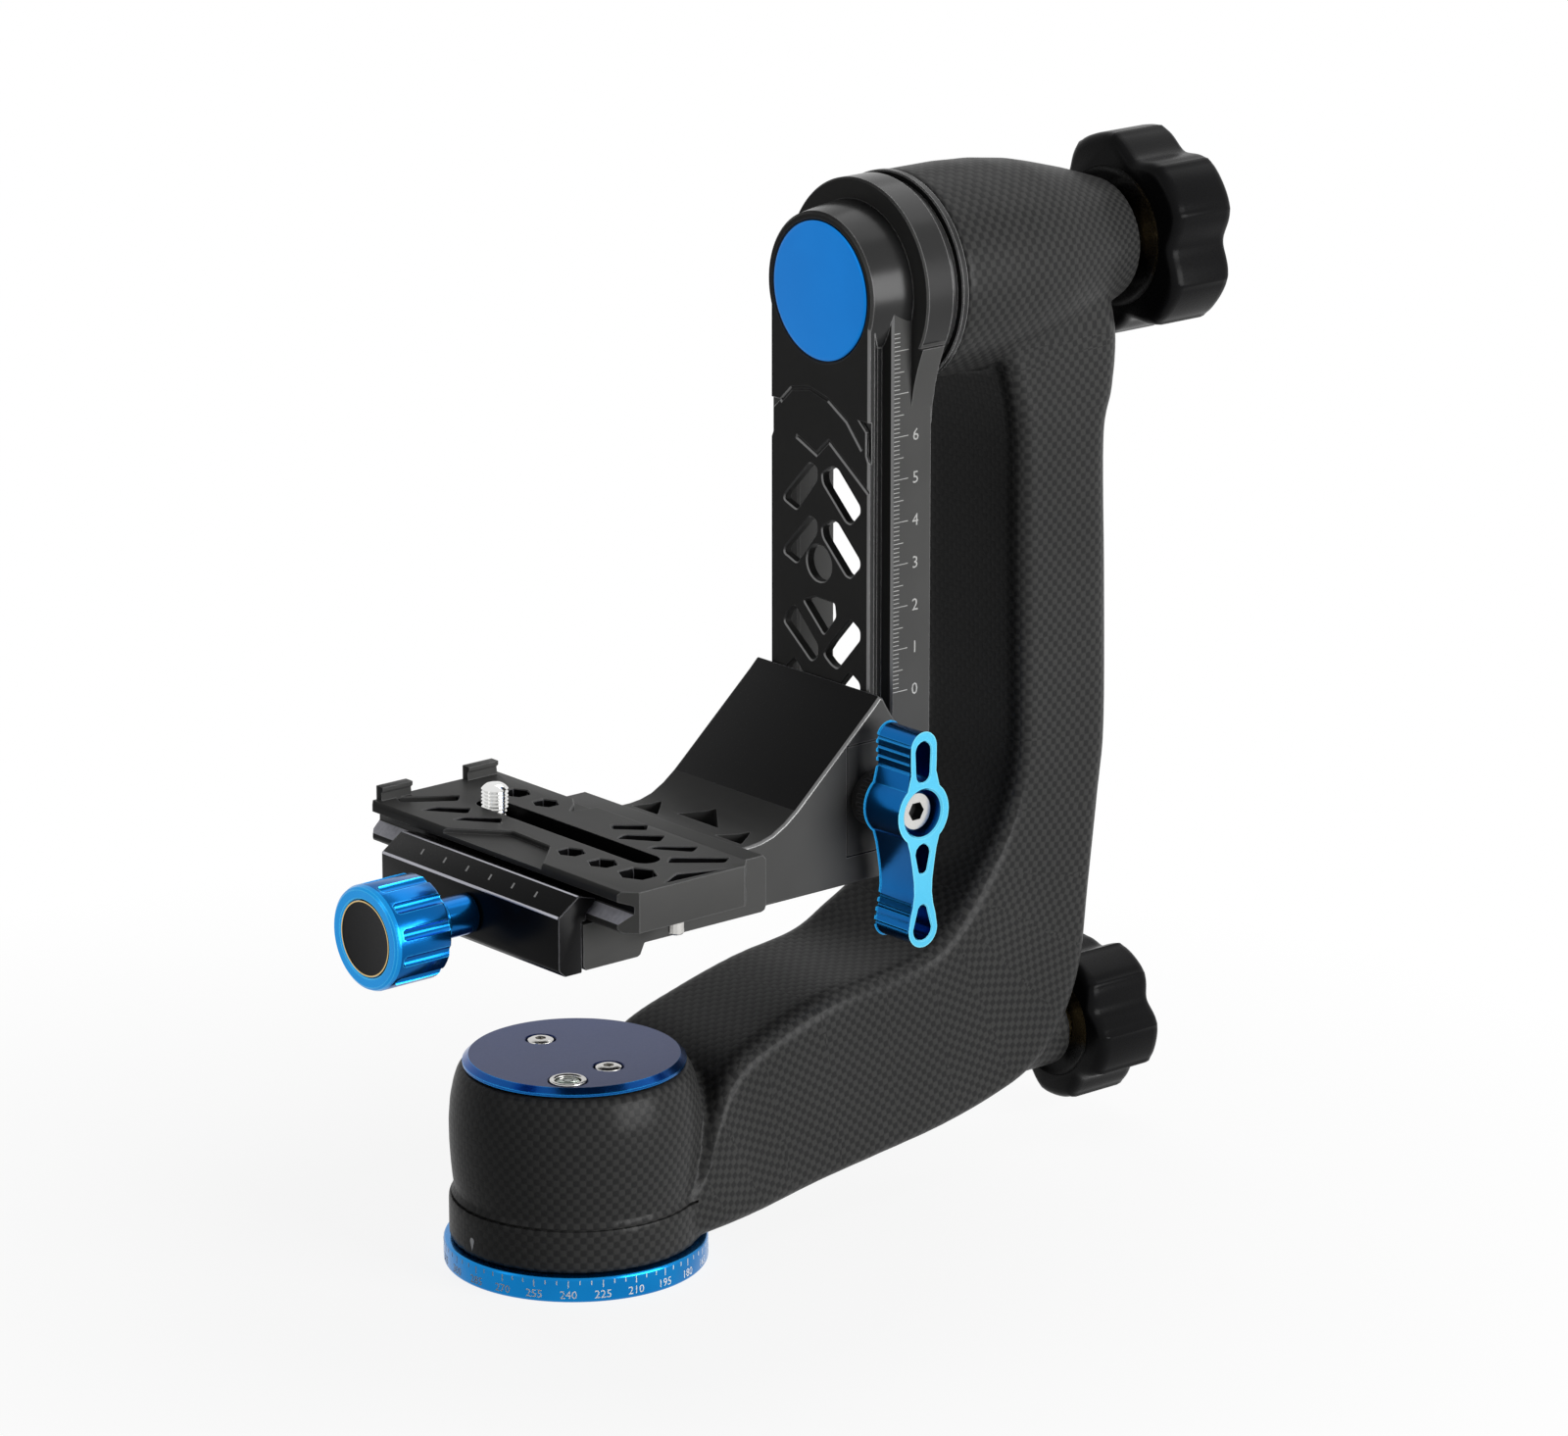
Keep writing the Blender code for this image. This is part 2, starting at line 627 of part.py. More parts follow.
def circle_spots(radius, count, phase_deg=90.0):
    """Points on a circle about the pan axis."""
    return [(x, y, 0) for x, y in polygon((0, 0), radius, count, phase_deg)]


def make_thread_insert(finish, carrier):
    """The steel bush that takes the tripod's stud."""
    piece("thread_insert", ring(INSERT_BORE_RADIUS, INSERT_RADIUS, "Z", (0, 0, 0), GAP,
                                INSERT_LENGTH, PLAIN_STEPS, EDGE), finish, carrier)


def make_pan_dial(finish, carrier):
    """The degree ring round the foot."""
    piece("pan_dial", ring(DIAL_BORE, DIAL_RADIUS, "Z", (0, 0, 0), 0, DIAL_HEIGHT,
                           FINE_STEPS, DIAL_CHAMFER), finish, carrier)


def make_pan_spindle(finish, carrier):
    """The flanged post that the arm turns on."""
    bottom = BASE_PLATE_HEIGHT + GAP
    stub_top = PAN_NUT_Z + PAN_NUT_HEIGHT
    outline = [(bottom, 0), (bottom, SPINDLE_FLANGE_RADIUS), (FLANGE_TOP, SPINDLE_FLANGE_RADIUS),
               (FLANGE_TOP, SPINDLE_RADIUS), (PAN_NUT_Z - GAP, SPINDLE_RADIUS),
               (PAN_NUT_Z - GAP, SPINDLE_STUB_RADIUS), (stub_top, SPINDLE_STUB_RADIUS),
               (stub_top, 0)]
    post = piece("pan_spindle", turned(outline, "Z", (0, 0, 0)), finish, carrier)
    cut(post, rod(INSERT_RADIUS + GAP, "Z", (0, 0, 0), bottom - OVERRUN, INSERT_LENGTH + GAP,
                  PLAIN_STEPS))
    for spot in circle_spots(BASE_SCREW_CIRCLE, BASE_SCREW_COUNT):
        cut(post, rod(BASE_SCREW_RADIUS + GAP, "Z", spot, bottom - OVERRUN,
                      FLANGE_TOP - EDGE))


def numbered(name, shapes, finish, carrier):
    """A row of like pieces, each its own object."""
    return [piece(f"{name}_{n}", shape, finish, carrier) for n, shape in enumerate(shapes, 1)]


def make_base_screws(finish, carrier):
    """The screws that hold the spindle down on the foot, in from below."""
    top = FLANGE_TOP - EDGE - GAP
    outline = [(GAP, 0), (GAP, BASE_SCREW_HEAD_RADIUS),
               (GAP + BASE_SCREW_HEAD_HEIGHT, BASE_SCREW_HEAD_RADIUS),
               (GAP + BASE_SCREW_HEAD_HEIGHT, BASE_SCREW_RADIUS),
               (top, BASE_SCREW_RADIUS), (top, 0)]
    numbered("base_screw", [turned(outline, "Z", spot, SMALL_STEPS) for spot in
                            circle_spots(BASE_SCREW_CIRCLE, BASE_SCREW_COUNT)], finish, carrier)


def make_pan_nut(finish, carrier):
    """The nut that keeps the arm down on the spindle."""
    piece("pan_nut", ring(SPINDLE_STUB_RADIUS + GAP, PAN_NUT_RADIUS, "Z", (0, 0, 0), PAN_NUT_Z,
                          PAN_NUT_Z + PAN_NUT_HEIGHT - EDGE), finish, carrier)


# Arm with its pan barrel

def arm_section(station, outer_reach):
    """One squarish closed section of the arm, between its inner and outer line."""
    inner_x, inner_z, outer_x, outer_z, width = station
    inner = Vector((inner_x * ARM_OFFSET, 0, inner_z * TILT_HEIGHT))
    outer = Vector((outer_x * outer_reach, 0, outer_z * TILT_HEIGHT))
    centre, depth = (inner + outer) / 2, (inner - outer) / 2
    side = AXES["Y"] * ARM_HALF_WIDTH * width
    power = 2 / ARM_SQUARENESS
    points = []
    for n in range(ARM_SECTION_POINTS):
        turn = math.tau * n / ARM_SECTION_POINTS
        c, s = math.cos(turn), math.sin(turn)
        points.append(centre + depth * math.copysign(abs(c) ** power, c)
                      + side * math.copysign(abs(s) ** power, s))
    return points


def barrel_outline():
    """The barrel's outline from its foot to its top, as turned on the pan axis."""
    rise = BARREL_TOP - SEAT_HEIGHT
    collar_top = SEAT_HEIGHT + COLLAR_HEIGHT
    swell = BARREL_RADIUS - EDGE
    return [(SEAT_HEIGHT, 0), (SEAT_HEIGHT, COLLAR_RADIUS - EDGE),
            (SEAT_HEIGHT + EDGE, COLLAR_RADIUS), (collar_top - EDGE, COLLAR_RADIUS),
            (collar_top, COLLAR_RADIUS - EDGE), (collar_top + EDGE, BARREL_RADIUS - EDGE * 3),
            (SEAT_HEIGHT + rise * 0.45, swell), (SEAT_HEIGHT + rise * 0.60, BARREL_RADIUS),
            (SEAT_HEIGHT + rise * 0.75, swell), (SEAT_HEIGHT + rise * 0.90, BARREL_RADIUS - EDGE * 3),
            (BARREL_TOP - EDGE, BARREL_RADIUS - EDGE * 5), (BARREL_TOP, BARREL_RADIUS - EDGE * 6),
            (BARREL_TOP, 0)]


def housing_outline():
    """The tilt housing's outline from its flange to its clamping end."""
    drop = HOUSING_RADIUS - HOUSING_END_RADIUS
    return [(HOUSING_FRONT, 0), (HOUSING_FRONT, HOUSING_RADIUS - EDGE),
            (HOUSING_FRONT + EDGE, HOUSING_RADIUS),
            (HOUSING_FRONT + HOUSING_LENGTH * 0.32, HOUSING_RADIUS - drop * 0.03),
            (HOUSING_FRONT + HOUSING_LENGTH * 0.48, HOUSING_RADIUS - drop * 0.12),
            (HOUSING_FRONT + HOUSING_LENGTH * 0.64, HOUSING_RADIUS - drop * 0.31),
            (HOUSING_FRONT + HOUSING_LENGTH * 0.80, HOUSING_RADIUS - drop * 0.58),
            (HOUSING_FRONT + HOUSING_LENGTH * 0.93, HOUSING_RADIUS - drop * 0.84),
            (HOUSING_END - EDGE, HOUSING_END_RADIUS), (HOUSING_END, HOUSING_END_RADIUS - EDGE),
            (HOUSING_END, 0)]


def make_carbon_arm(finish, carrier):
    """The moulded arm: pan barrel, swept beam, upright and tilt housing in one."""
    tilt = (0, 0, TILT_HEIGHT)
    lock = (0, 0, PAN_LOCK_HEIGHT)
    sections = [arm_section(s, ARM_OFFSET) for s in ARM_STATION_SHARES]
    sections += [arm_section(s, HOUSING_END) for s in ARM_HEAD_SHARES]
    arm = piece("carbon_arm", lofted(sections), finish, carrier)
    bush = LOCK_BUSH_RADIUS + GAP
    join(arm, turned(barrel_outline(), "Z", (0, 0, 0), FINE_STEPS),
         turned(housing_outline(), "X", tilt, FINE_STEPS),
         rod(bush + LOCK_BOSS_WALL, "X", lock, LOCK_BOSS_START,
             PAN_KNOB_START - GAP - OVERRUN, PLAIN_STEPS, EDGE))
    step = HOUSING_FRONT + LINER_STEP + GAP
    end = HOUSING_FRONT + LINER_LENGTH + GAP
    cut(arm, rod(BARREL_BORE, "Z", (0, 0, 0), -OVERRUN, BARREL_TOP + OVERRUN, FINE_STEPS),
        turned([(HOUSING_FRONT - OVERRUN, 0),
                (HOUSING_FRONT - OVERRUN, FRONT_BEARING_RADIUS + GAP + LINER_WALL + GAP),
                (step, FRONT_BEARING_RADIUS + GAP + LINER_WALL + GAP),
                (step, REAR_BEARING_RADIUS + GAP + LINER_WALL - OVERRUN),
                (end, REAR_BEARING_RADIUS + GAP + LINER_WALL - OVERRUN),
                (end, TILT_SHAFT_RADIUS + GAP), (HOUSING_END + OVERRUN, TILT_SHAFT_RADIUS + GAP),
                (HOUSING_END + OVERRUN, 0)], "X", tilt, PLAIN_STEPS),
        rod(LOCK_ROD_RADIUS + GAP + GAP, "X", lock, 0, PAN_KNOB_START + OVERRUN),
        rod(bush, "X", lock, LOCK_BOSS_START + LOCK_BOSS_WALL, PAN_KNOB_START + OVERRUN,
            PLAIN_STEPS))


def make_pan_sleeve(finish, carrier):
    """The aluminium liner bonded in the barrel, with both bearing seats."""
    low, high = SEAT_HEIGHT + GAP, BARREL_TOP - GAP
    shoulder_low = LOWER_BEARING_Z + BEARING_WIDTH + GAP
    shoulder_high = UPPER_BEARING_Z - GAP
    shoulder = SPINDLE_RADIUS + SLEEVE_WALL / 2
    web = high - SLEEVE_WEB
    outline = [(low, SLEEVE_BORE), (shoulder_low, SLEEVE_BORE), (shoulder_low, shoulder),
               (shoulder_high, shoulder), (shoulder_high, SLEEVE_BORE), (web, SLEEVE_BORE),
               (web, SPINDLE_STUB_RADIUS + GAP), (high, SPINDLE_STUB_RADIUS + GAP),
               (high, SLEEVE_RADIUS), (low, SLEEVE_RADIUS)]
    liner = piece("pan_sleeve", turned(outline, "Z", (0, 0, 0), PLAIN_STEPS), finish, carrier)
    cut(liner, rod(BRAKE_SHOE_RADIUS + GAP, "X", (0, 0, PAN_LOCK_HEIGHT), 0,
                   SLEEVE_RADIUS + OVERRUN, PLAIN_STEPS))
    for side in (-1, 1):
        cut(liner, rod(CAP_SCREW_RADIUS + GAP, "Z", (0, side * CAP_SCREW_OFFSET, 0),
                       web - OVERRUN, high + OVERRUN))


def make_bearing(name, axis, centre, start, width, bore, outer, finish, carrier):
    """A sealed ball bearing, with the shield grooves turned into both faces."""
    race = (outer - bore) * 0.28
    end = start + width
    outline = [(start, bore), (end, bore), (end, bore + race), (end - EDGE, bore + race),
               (end - EDGE, outer - race), (end, outer - race), (end, outer), (start, outer)]
    piece(name, turned(outline, axis, centre), finish, carrier)


def make_pan_cap(finish, carrier):
    """The chamfered cap on the barrel."""
    low = BARREL_TOP + GAP
    high = low + CAP_THICKNESS
    outline = [(low, 0), (low, CAP_RADIUS - EDGE), (low + EDGE, CAP_RADIUS),
               (high - CAP_CHAMFER, CAP_RADIUS), (high, CAP_RADIUS - CAP_CHAMFER), (high, 0)]
    cap = piece("pan_cap", turned(outline, "Z", (0, 0, 0), FINE_STEPS), finish, carrier)
    for side in (-1, 1):
        spot = (0, side * CAP_SCREW_OFFSET, 0)
        cut(cap, rod(CAP_SCREW_RADIUS + GAP, "Z", spot, low - OVERRUN, high + OVERRUN),
            rod(CAP_SCREW_HEAD_RADIUS + GAP, "Z", spot, high - CAP_SCREW_HEAD_HEIGHT + GAP,
                high + OVERRUN, PLAIN_STEPS))
    cut(cap, rod(LEVEL_RADIUS + GAP, "Z", level_spot(), high - LEVEL_DEPTH, high + OVERRUN,
                 PLAIN_STEPS))


def level_spot():
    """Where the bubble level sits on the cap."""
    turn = math.radians(LEVEL_BEARING_DEG)
    return (LEVEL_OFFSET * math.cos(turn), LEVEL_OFFSET * math.sin(turn), 0)


def make_cap_screws(finish, carrier):
    """Two button-head screws with hex sockets."""
    top = BARREL_TOP + GAP + CAP_THICKNESS
    seat = top - CAP_SCREW_HEAD_HEIGHT + GAP + GAP
    for number, side in enumerate((-1, 1), 1):
        spot = (0, side * CAP_SCREW_OFFSET, 0)
        crown = CAP_SCREW_HEAD_HEIGHT
        outline = [(seat - CAP_SCREW_LENGTH, 0), (seat - CAP_SCREW_LENGTH, CAP_SCREW_RADIUS),
                   (seat, CAP_SCREW_RADIUS), (seat, CAP_SCREW_HEAD_RADIUS),
                   (seat + crown / 3, CAP_SCREW_HEAD_RADIUS),
                   (seat + crown * 0.8, CAP_SCREW_HEAD_RADIUS * 0.72),
                   (seat + crown, CAP_SCREW_HEAD_RADIUS * 0.60), (seat + crown, 0)]
        screw = piece(f"cap_screw_{number}", turned(outline, "Z", spot, SMALL_STEPS), finish,
                      carrier)
        cut(screw, extruded(polygon(spot[:2], CAP_SCREW_RADIUS, 6, 10), "Z", seat + EDGE,
                            top + OVERRUN))


def make_level(ring_finish, vial_finish, carrier):
    """The bubble level's metal ring and its glass."""
    top = BARREL_TOP + GAP + CAP_THICKNESS
    low = top - LEVEL_DEPTH + GAP
    piece("level_ring", ring(LEVEL_RADIUS - LEVEL_WALL, LEVEL_RADIUS, "Z", level_spot(), low,
                             top + GAP, PLAIN_STEPS), ring_finish, carrier)
    piece("level_vial", rod(LEVEL_RADIUS - LEVEL_WALL - GAP, "Z", level_spot(), low, top,
                            SMALL_STEPS), vial_finish, carrier)


# Tilt axis

def make_tilt_sleeve(finish, carrier):
    """The flanged liner in the tilt housing, with both bearing seats."""
    front_bore = FRONT_BEARING_RADIUS + GAP
    rear_bore = REAR_BEARING_RADIUS + GAP
    front_end = HOUSING_FRONT + LINER_STEP
    rear_end = HOUSING_FRONT + LINER_LENGTH
    front_seat = FLANGE_FRONT + FLANGE_THICKNESS + FRONT_BEARING_WIDTH + GAP
    rear_seat = rear_end - REAR_BEARING_WIDTH - GAP
    shoulder = TILT_SHAFT_RADIUS + OVERRUN
    outline = [(FLANGE_FRONT, front_bore), (front_seat, front_bore), (front_seat, shoulder),
               (rear_seat, shoulder), (rear_seat, rear_bore), (rear_end, rear_bore),
               (rear_end, rear_bore + LINER_WALL - OVERRUN - GAP),
               (front_end, rear_bore + LINER_WALL - OVERRUN - GAP),
               (front_end, front_bore + LINER_WALL),
               (HOUSING_FRONT - GAP, front_bore + LINER_WALL), (HOUSING_FRONT - GAP, FLANGE_RADIUS),
               (FLANGE_FRONT + EDGE, FLANGE_RADIUS), (FLANGE_FRONT, FLANGE_RADIUS - EDGE)]
    piece("tilt_sleeve", turned(outline, "X", (0, 0, TILT_HEIGHT), PLAIN_STEPS), finish,
          carrier)


def make_tilt_shaft(finish, carrier):
    """The flanged shaft that carries the rail, with a stud for the clamping knob."""
    tilt = (0, 0, TILT_HEIGHT)
    flange_back = HUB_BACK
    flange_front = flange_back - SHAFT_FLANGE_THICKNESS
    stud_end = TILT_KNOB_START + TILT_STUD_LENGTH
    outline = [(flange_front, 0), (flange_front, SHAFT_FLANGE_RADIUS),
               (flange_back, SHAFT_FLANGE_RADIUS), (flange_back, TILT_SHAFT_RADIUS),
               (HOUSING_END, TILT_SHAFT_RADIUS), (HOUSING_END, TILT_STUD_RADIUS),
               (stud_end - EDGE, TILT_STUD_RADIUS), (stud_end, TILT_STUD_RADIUS - EDGE),
               (stud_end, 0)]
    shaft = piece("tilt_shaft", turned(outline, "X", tilt), finish, carrier)
    for y, z in hub_screw_spots():
        cut(shaft, rod(HUB_SCREW_RADIUS + GAP, "X", (0, y, z), flange_front - OVERRUN,
                       flange_back - EDGE - EDGE))


def hub_screw_spots():
    """Places of the screws behind the badge, as (y, z)."""
    return polygon((0, TILT_HEIGHT), HUB_SCREW_CIRCLE, HUB_SCREW_COUNT, 90)


def make_thrust_washer(finish, carrier):
    """The low-friction washer between the hub and the liner's flange."""
    piece("thrust_washer", ring(TILT_SHAFT_RADIUS + GAP, THRUST_RADIUS, "X",
                                (0, 0, TILT_HEIGHT), THRUST_FRONT,
                                THRUST_FRONT + THRUST_THICKNESS, FINE_STEPS), finish, carrier)


# Swinging rail

def rail_section():
    """The rail's solid section as (x, y) points, dovetail to the front."""
    front = RAIL_FRONT
    half = [(front, RAIL_FACE_HALF - EDGE), (front + EDGE, RAIL_FACE_HALF),
            (front + RAIL_FLANGE, RAIL_FACE_HALF), (front + RAIL_WAIST_DEPTH, RAIL_WAIST_HALF),
            (front + RAIL_SHOULDER_DEPTH, RAIL_WAIST_HALF),
            (front + RAIL_SHOULDER_DEPTH, RAIL_BODY_HALF - EDGE),
            (front + RAIL_SHOULDER_DEPTH + EDGE, RAIL_BODY_HALF),
            (RAIL_BACK - EDGE, RAIL_BODY_HALF), (RAIL_BACK, RAIL_BODY_HALF - EDGE)]
    return mirrored(half)


def rail_pocket():
    """The channel behind the rail's web, open at the back, as (x, y) points."""
    inner = RAIL_BODY_HALF - RAIL_WALL
    waist = RAIL_WAIST_HALF - RAIL_WAIST_WALL
    half = [(RAIL_FRONT + RAIL_WEB, waist),
            (RAIL_FRONT + RAIL_SHOULDER_DEPTH, waist),
            (RAIL_FRONT + RAIL_SHOULDER_DEPTH + RAIL_WAIST_WALL, inner),
            (RAIL_BACK + OVERRUN, inner)]
    return mirrored(half)


def hub_outline():
    """The turned boss and hub disc at the rail's top."""
    boss = HUB_FRONT - RAIL_FRONT
    return [(RAIL_FRONT, 0), (RAIL_FRONT, BOSS_FRONT_RADIUS - EDGE),
            (RAIL_FRONT + EDGE + EDGE, BOSS_FRONT_RADIUS),
            (RAIL_FRONT + boss * 0.35, (BOSS_FRONT_RADIUS + BOSS_BACK_RADIUS) / 2),
            (HUB_FRONT - OVERRUN, BOSS_BACK_RADIUS), (HUB_FRONT, BOSS_BACK_RADIUS),
            (HUB_FRONT, HUB_RADIUS - EDGE), (HUB_FRONT + EDGE, HUB_RADIUS),
            (HUB_BACK - EDGE, HUB_RADIUS), (HUB_BACK, HUB_RADIUS - EDGE), (HUB_BACK, 0)]


def flare_outline():
    """The shoulders that widen the rail's back into the hub disc, as (y, z)."""
    reach = math.sqrt(HUB_RADIUS ** 2 - RAIL_BODY_HALF ** 2) * FLARE_END_SHARE
    swing = (HUB_RADIUS - RAIL_BODY_HALF) * FLARE_END_SHARE
    low = TILT_HEIGHT - FLARE_DROP
    start = RAIL_BODY_HALF - EDGE
    half = [(start + (swing + EDGE) * out, low + (FLARE_DROP - reach) * up)
            for up, out in FLARE_STEP_SHARES]
    return half + [(-y, z) for y, z in reversed(half)]


def lattice_slots():
    """The rail's slanted windows: two pairs that point up, the rest down."""
    slots = []
    lean = LATTICE_SLOT_HALF_LENGTH / math.sqrt(2) - LATTICE_SLOT_HALF_WIDTH / math.sqrt(2)
    rows = [(LATTICE_TOP_DROP, 1), (LATTICE_TOP_DROP + LATTICE_PITCH, 1)]
    drop = LATTICE_V_DROP
    while TILT_HEIGHT - drop - LATTICE_PITCH / 2 > RAIL_BOTTOM + LATTICE_SLOT_HALF_WIDTH:
        rows.append((drop, -1))
        drop += LATTICE_PITCH
    for drop, way in rows:
        level = TILT_HEIGHT - drop
        for side in (-1, 1):
            inner = (side * (LATTICE_SLOT_OFFSET - lean), level + way * lean)
            outer = (side * (LATTICE_SLOT_OFFSET + lean), level - way * lean)
            slots.append(slot_outline(inner, outer, LATTICE_SLOT_HALF_WIDTH, 3))
    return slots


def make_swing_rail(finish, carrier):
    """The machined rail: dovetail bar, open channel behind it, and the tilt hub."""
    tilt = (0, 0, TILT_HEIGHT)
    rail = piece("swing_rail", extruded(rail_section(), "Z", RAIL_BOTTOM, TILT_HEIGHT), finish,
                 carrier)
    join(rail, turned(hub_outline(), "X", tilt, FINE_STEPS),
         extruded(flare_outline(), "X", HUB_FRONT, RAIL_BACK))
    cut(rail, extruded(rail_pocket(), "Z", RAIL_BOTTOM - OVERRUN, TILT_HEIGHT - POCKET_DROP))
    depth = RAIL_FRONT + RAIL_WEB + OVERRUN
    hole = polygon((0, TILT_HEIGHT - LATTICE_HOLE_DROP), LATTICE_HOLE_RADIUS, SMALL_STEPS, 0)
    top = TILT_HEIGHT - LATTICE_TRIANGLE_DROP + LATTICE_TRIANGLE_HEIGHT / 2
    triangle = [(-LATTICE_TRIANGLE_HALF, top), (LATTICE_TRIANGLE_HALF, top),
                (0, top - LATTICE_TRIANGLE_HEIGHT)]
    windows = [extruded(outline, "X", RAIL_FRONT - OVERRUN, depth)
               for outline in (*lattice_slots(), hole, triangle)]
    cut(rail, grouped(windows))
    badge_floor = RAIL_FRONT + BADGE_THICKNESS + GAP
    cut(rail, rod(BADGE_RADIUS + BADGE_RIM_GAP, "X", tilt, RAIL_FRONT - OVERRUN, badge_floor,
                  FINE_STEPS),
        rod(SHAFT_FLANGE_RADIUS + GAP, "X", tilt, HUB_BACK - SHAFT_FLANGE_THICKNESS - GAP,
            HUB_BACK + OVERRUN))
    cut(rail, screw_holes("X", [(0, y, z) for y, z in hub_screw_spots()], RAIL_FRONT - OVERRUN,
                          badge_floor + HUB_SCREW_HEAD_HEIGHT + GAP + GAP, HUB_BACK + OVERRUN,
                          HUB_SCREW_HEAD_RADIUS + GAP, HUB_SCREW_RADIUS + GAP))
    cut(rail, rod(STOP_SCREW_RADIUS + GAP, "X", (0, 0, stop_screw_z()), RAIL_FRONT - OVERRUN,
                  depth))


def make_hub_screws(finish, carrier):
    """The screws that hold the rail on the shaft's flange, behind the badge."""
    head = RAIL_FRONT + BADGE_THICKNESS + GAP + GAP
    neck = head + HUB_SCREW_HEAD_HEIGHT
    end = HUB_BACK - EDGE - EDGE - GAP
    outline = [(head, 0), (head, HUB_SCREW_HEAD_RADIUS), (neck, HUB_SCREW_HEAD_RADIUS),
               (neck, HUB_SCREW_RADIUS), (end, HUB_SCREW_RADIUS), (end, 0)]
    numbered("hub_screw", [turned(outline, "X", (0, y, z), SMALL_STEPS)
                           for y, z in hub_screw_spots()], finish, carrier)


def make_badge(finish, carrier):
    """The plain blue disc let into the rail's round top."""
    piece("badge_disc", rod(BADGE_RADIUS, "X", (0, 0, TILT_HEIGHT), RAIL_FRONT,
                            RAIL_FRONT + BADGE_THICKNESS, FINE_STEPS, EDGE / 2), finish, carrier)


def stop_screw_z():
    """The height of the stop screw at the rail's foot."""
    return RAIL_BOTTOM + STOP_SCREW_HEAD_RADIUS + OVERRUN


def make_rail_stop(finish, carrier):
    """The screw whose head stops the cradle from sliding off the rail's foot."""
    seat = RAIL_FRONT - GAP
    end = RAIL_FRONT + RAIL_WEB - GAP
    outline = [(seat - STOP_SCREW_HEAD_HEIGHT, 0),
               (seat - STOP_SCREW_HEAD_HEIGHT, STOP_SCREW_HEAD_RADIUS),
               (seat, STOP_SCREW_HEAD_RADIUS), (seat, STOP_SCREW_RADIUS),
               (end, STOP_SCREW_RADIUS), (end, 0)]
    piece("rail_stop_screw", turned(outline, "X", (0, 0, stop_screw_z()), SMALL_STEPS), finish,
          carrier)


# Lobed knobs

def lobed_ring(radius, phase_deg, x, height):
    """One lobed section of a knob, round a line along X at the given height."""
    count = KNOB_LOBES * KNOB_POINTS_PER_LOBE
    points = []
    for n in range(count):
        turn = math.tau * n / count
        wave = 0.5 - 0.5 * math.cos(KNOB_LOBES * (turn - math.radians(phase_deg)))
        dip = wave ** KNOB_VALLEY_SHARPNESS
        r = radius * (1 - KNOB_VALLEY_SHARE * dip)
        points.append((x, -r * math.cos(turn), height + r * math.sin(turn)))
    return points


def make_knob(name, radius, phase_deg, start, depth, height, stud_radius, finishes, carrier):
    """A rubber-covered knob with its threaded metal insert and end cap."""
    rubber, metal, plain = finishes
    end = start + depth
    inset = KNOB_ROUNDING * 0.7
    profile = [(start, inset), (start + KNOB_ROUNDING * 0.4, inset * 0.3),
               (start + KNOB_ROUNDING, 0), (end - KNOB_ROUNDING, 0),
               (end - KNOB_ROUNDING * 0.4, inset * 0.3), (end, inset)]
    rings = [lobed_ring(radius - drop, phase_deg, x, height) for x, drop in profile]
    centre = (0, 0, height)
    insert = stud_radius + GAP + KNOB_INSERT_WALL
    cap_radius = radius * KNOB_CAP_SHARE
    knob = piece(name, lofted(rings), rubber, carrier)
    cut(knob, rod(insert + GAP, "X", centre, start - OVERRUN, end + OVERRUN, PLAIN_STEPS),
        rod(cap_radius + GAP, "X", centre, end - KNOB_CAP_THICKNESS - GAP, end + OVERRUN,
            PLAIN_STEPS))
    piece(name + "_insert", ring(stud_radius + GAP, insert, "X", centre, start + GAP,
                                 end - KNOB_CAP_THICKNESS - GAP - GAP), metal, carrier)
    piece(name + "_cap", rod(cap_radius, "X", centre, end - KNOB_CAP_THICKNESS, end,
                             PLAIN_STEPS, EDGE), plain, carrier)


def make_brake_washer(finish, carrier):
    """The washer that the tilt knob presses on the housing's end."""
    piece("tilt_brake_washer", ring(TILT_STUD_RADIUS + GAP, BRAKE_WASHER_RADIUS, "X",
                                    (0, 0, TILT_HEIGHT), BRAKE_WASHER_START,
                                    BRAKE_WASHER_START + BRAKE_WASHER_THICKNESS), finish, carrier)


# Pan lock

def make_pan_lock(rod_finish, shoe_finish, bush_finish, slider, turner, arm_carrier):
    """The knob's push rod, its brake shoe on the spindle, and the threaded bush."""
    lock = (0, 0, PAN_LOCK_HEIGHT)
    shoe_start = SPINDLE_RADIUS + GAP
    shoe_end = shoe_start + BRAKE_SHOE_LENGTH
    shoe = piece("pan_brake_shoe", rod(BRAKE_SHOE_RADIUS, "X", lock, 0, shoe_end, PLAIN_STEPS),
                 shoe_finish, slider)
    cut(shoe, rod(SPINDLE_RADIUS + GAP, "Z", (0, 0, 0), PAN_LOCK_HEIGHT - BRAKE_SHOE_RADIUS * 2,
                  PAN_LOCK_HEIGHT + BRAKE_SHOE_RADIUS * 2, FINE_STEPS))
    stud_end = PAN_KNOB_START + PAN_KNOB_DEPTH - KNOB_CAP_THICKNESS - GAP * 3
    piece("pan_lock_rod", rod(LOCK_ROD_RADIUS, "X", lock, shoe_end + LOCK_TRAVEL + GAP, stud_end,
                              SMALL_STEPS, EDGE), rod_finish, turner)
    bush_start = LOCK_BOSS_START + LOCK_BOSS_WALL + GAP
    piece("pan_lock_bush", ring(LOCK_ROD_RADIUS + GAP, LOCK_BUSH_RADIUS, "X", lock, bush_start,
                                PAN_KNOB_START - GAP, PLAIN_STEPS, EDGE), bush_finish, arm_carrier)


# Cradle bracket

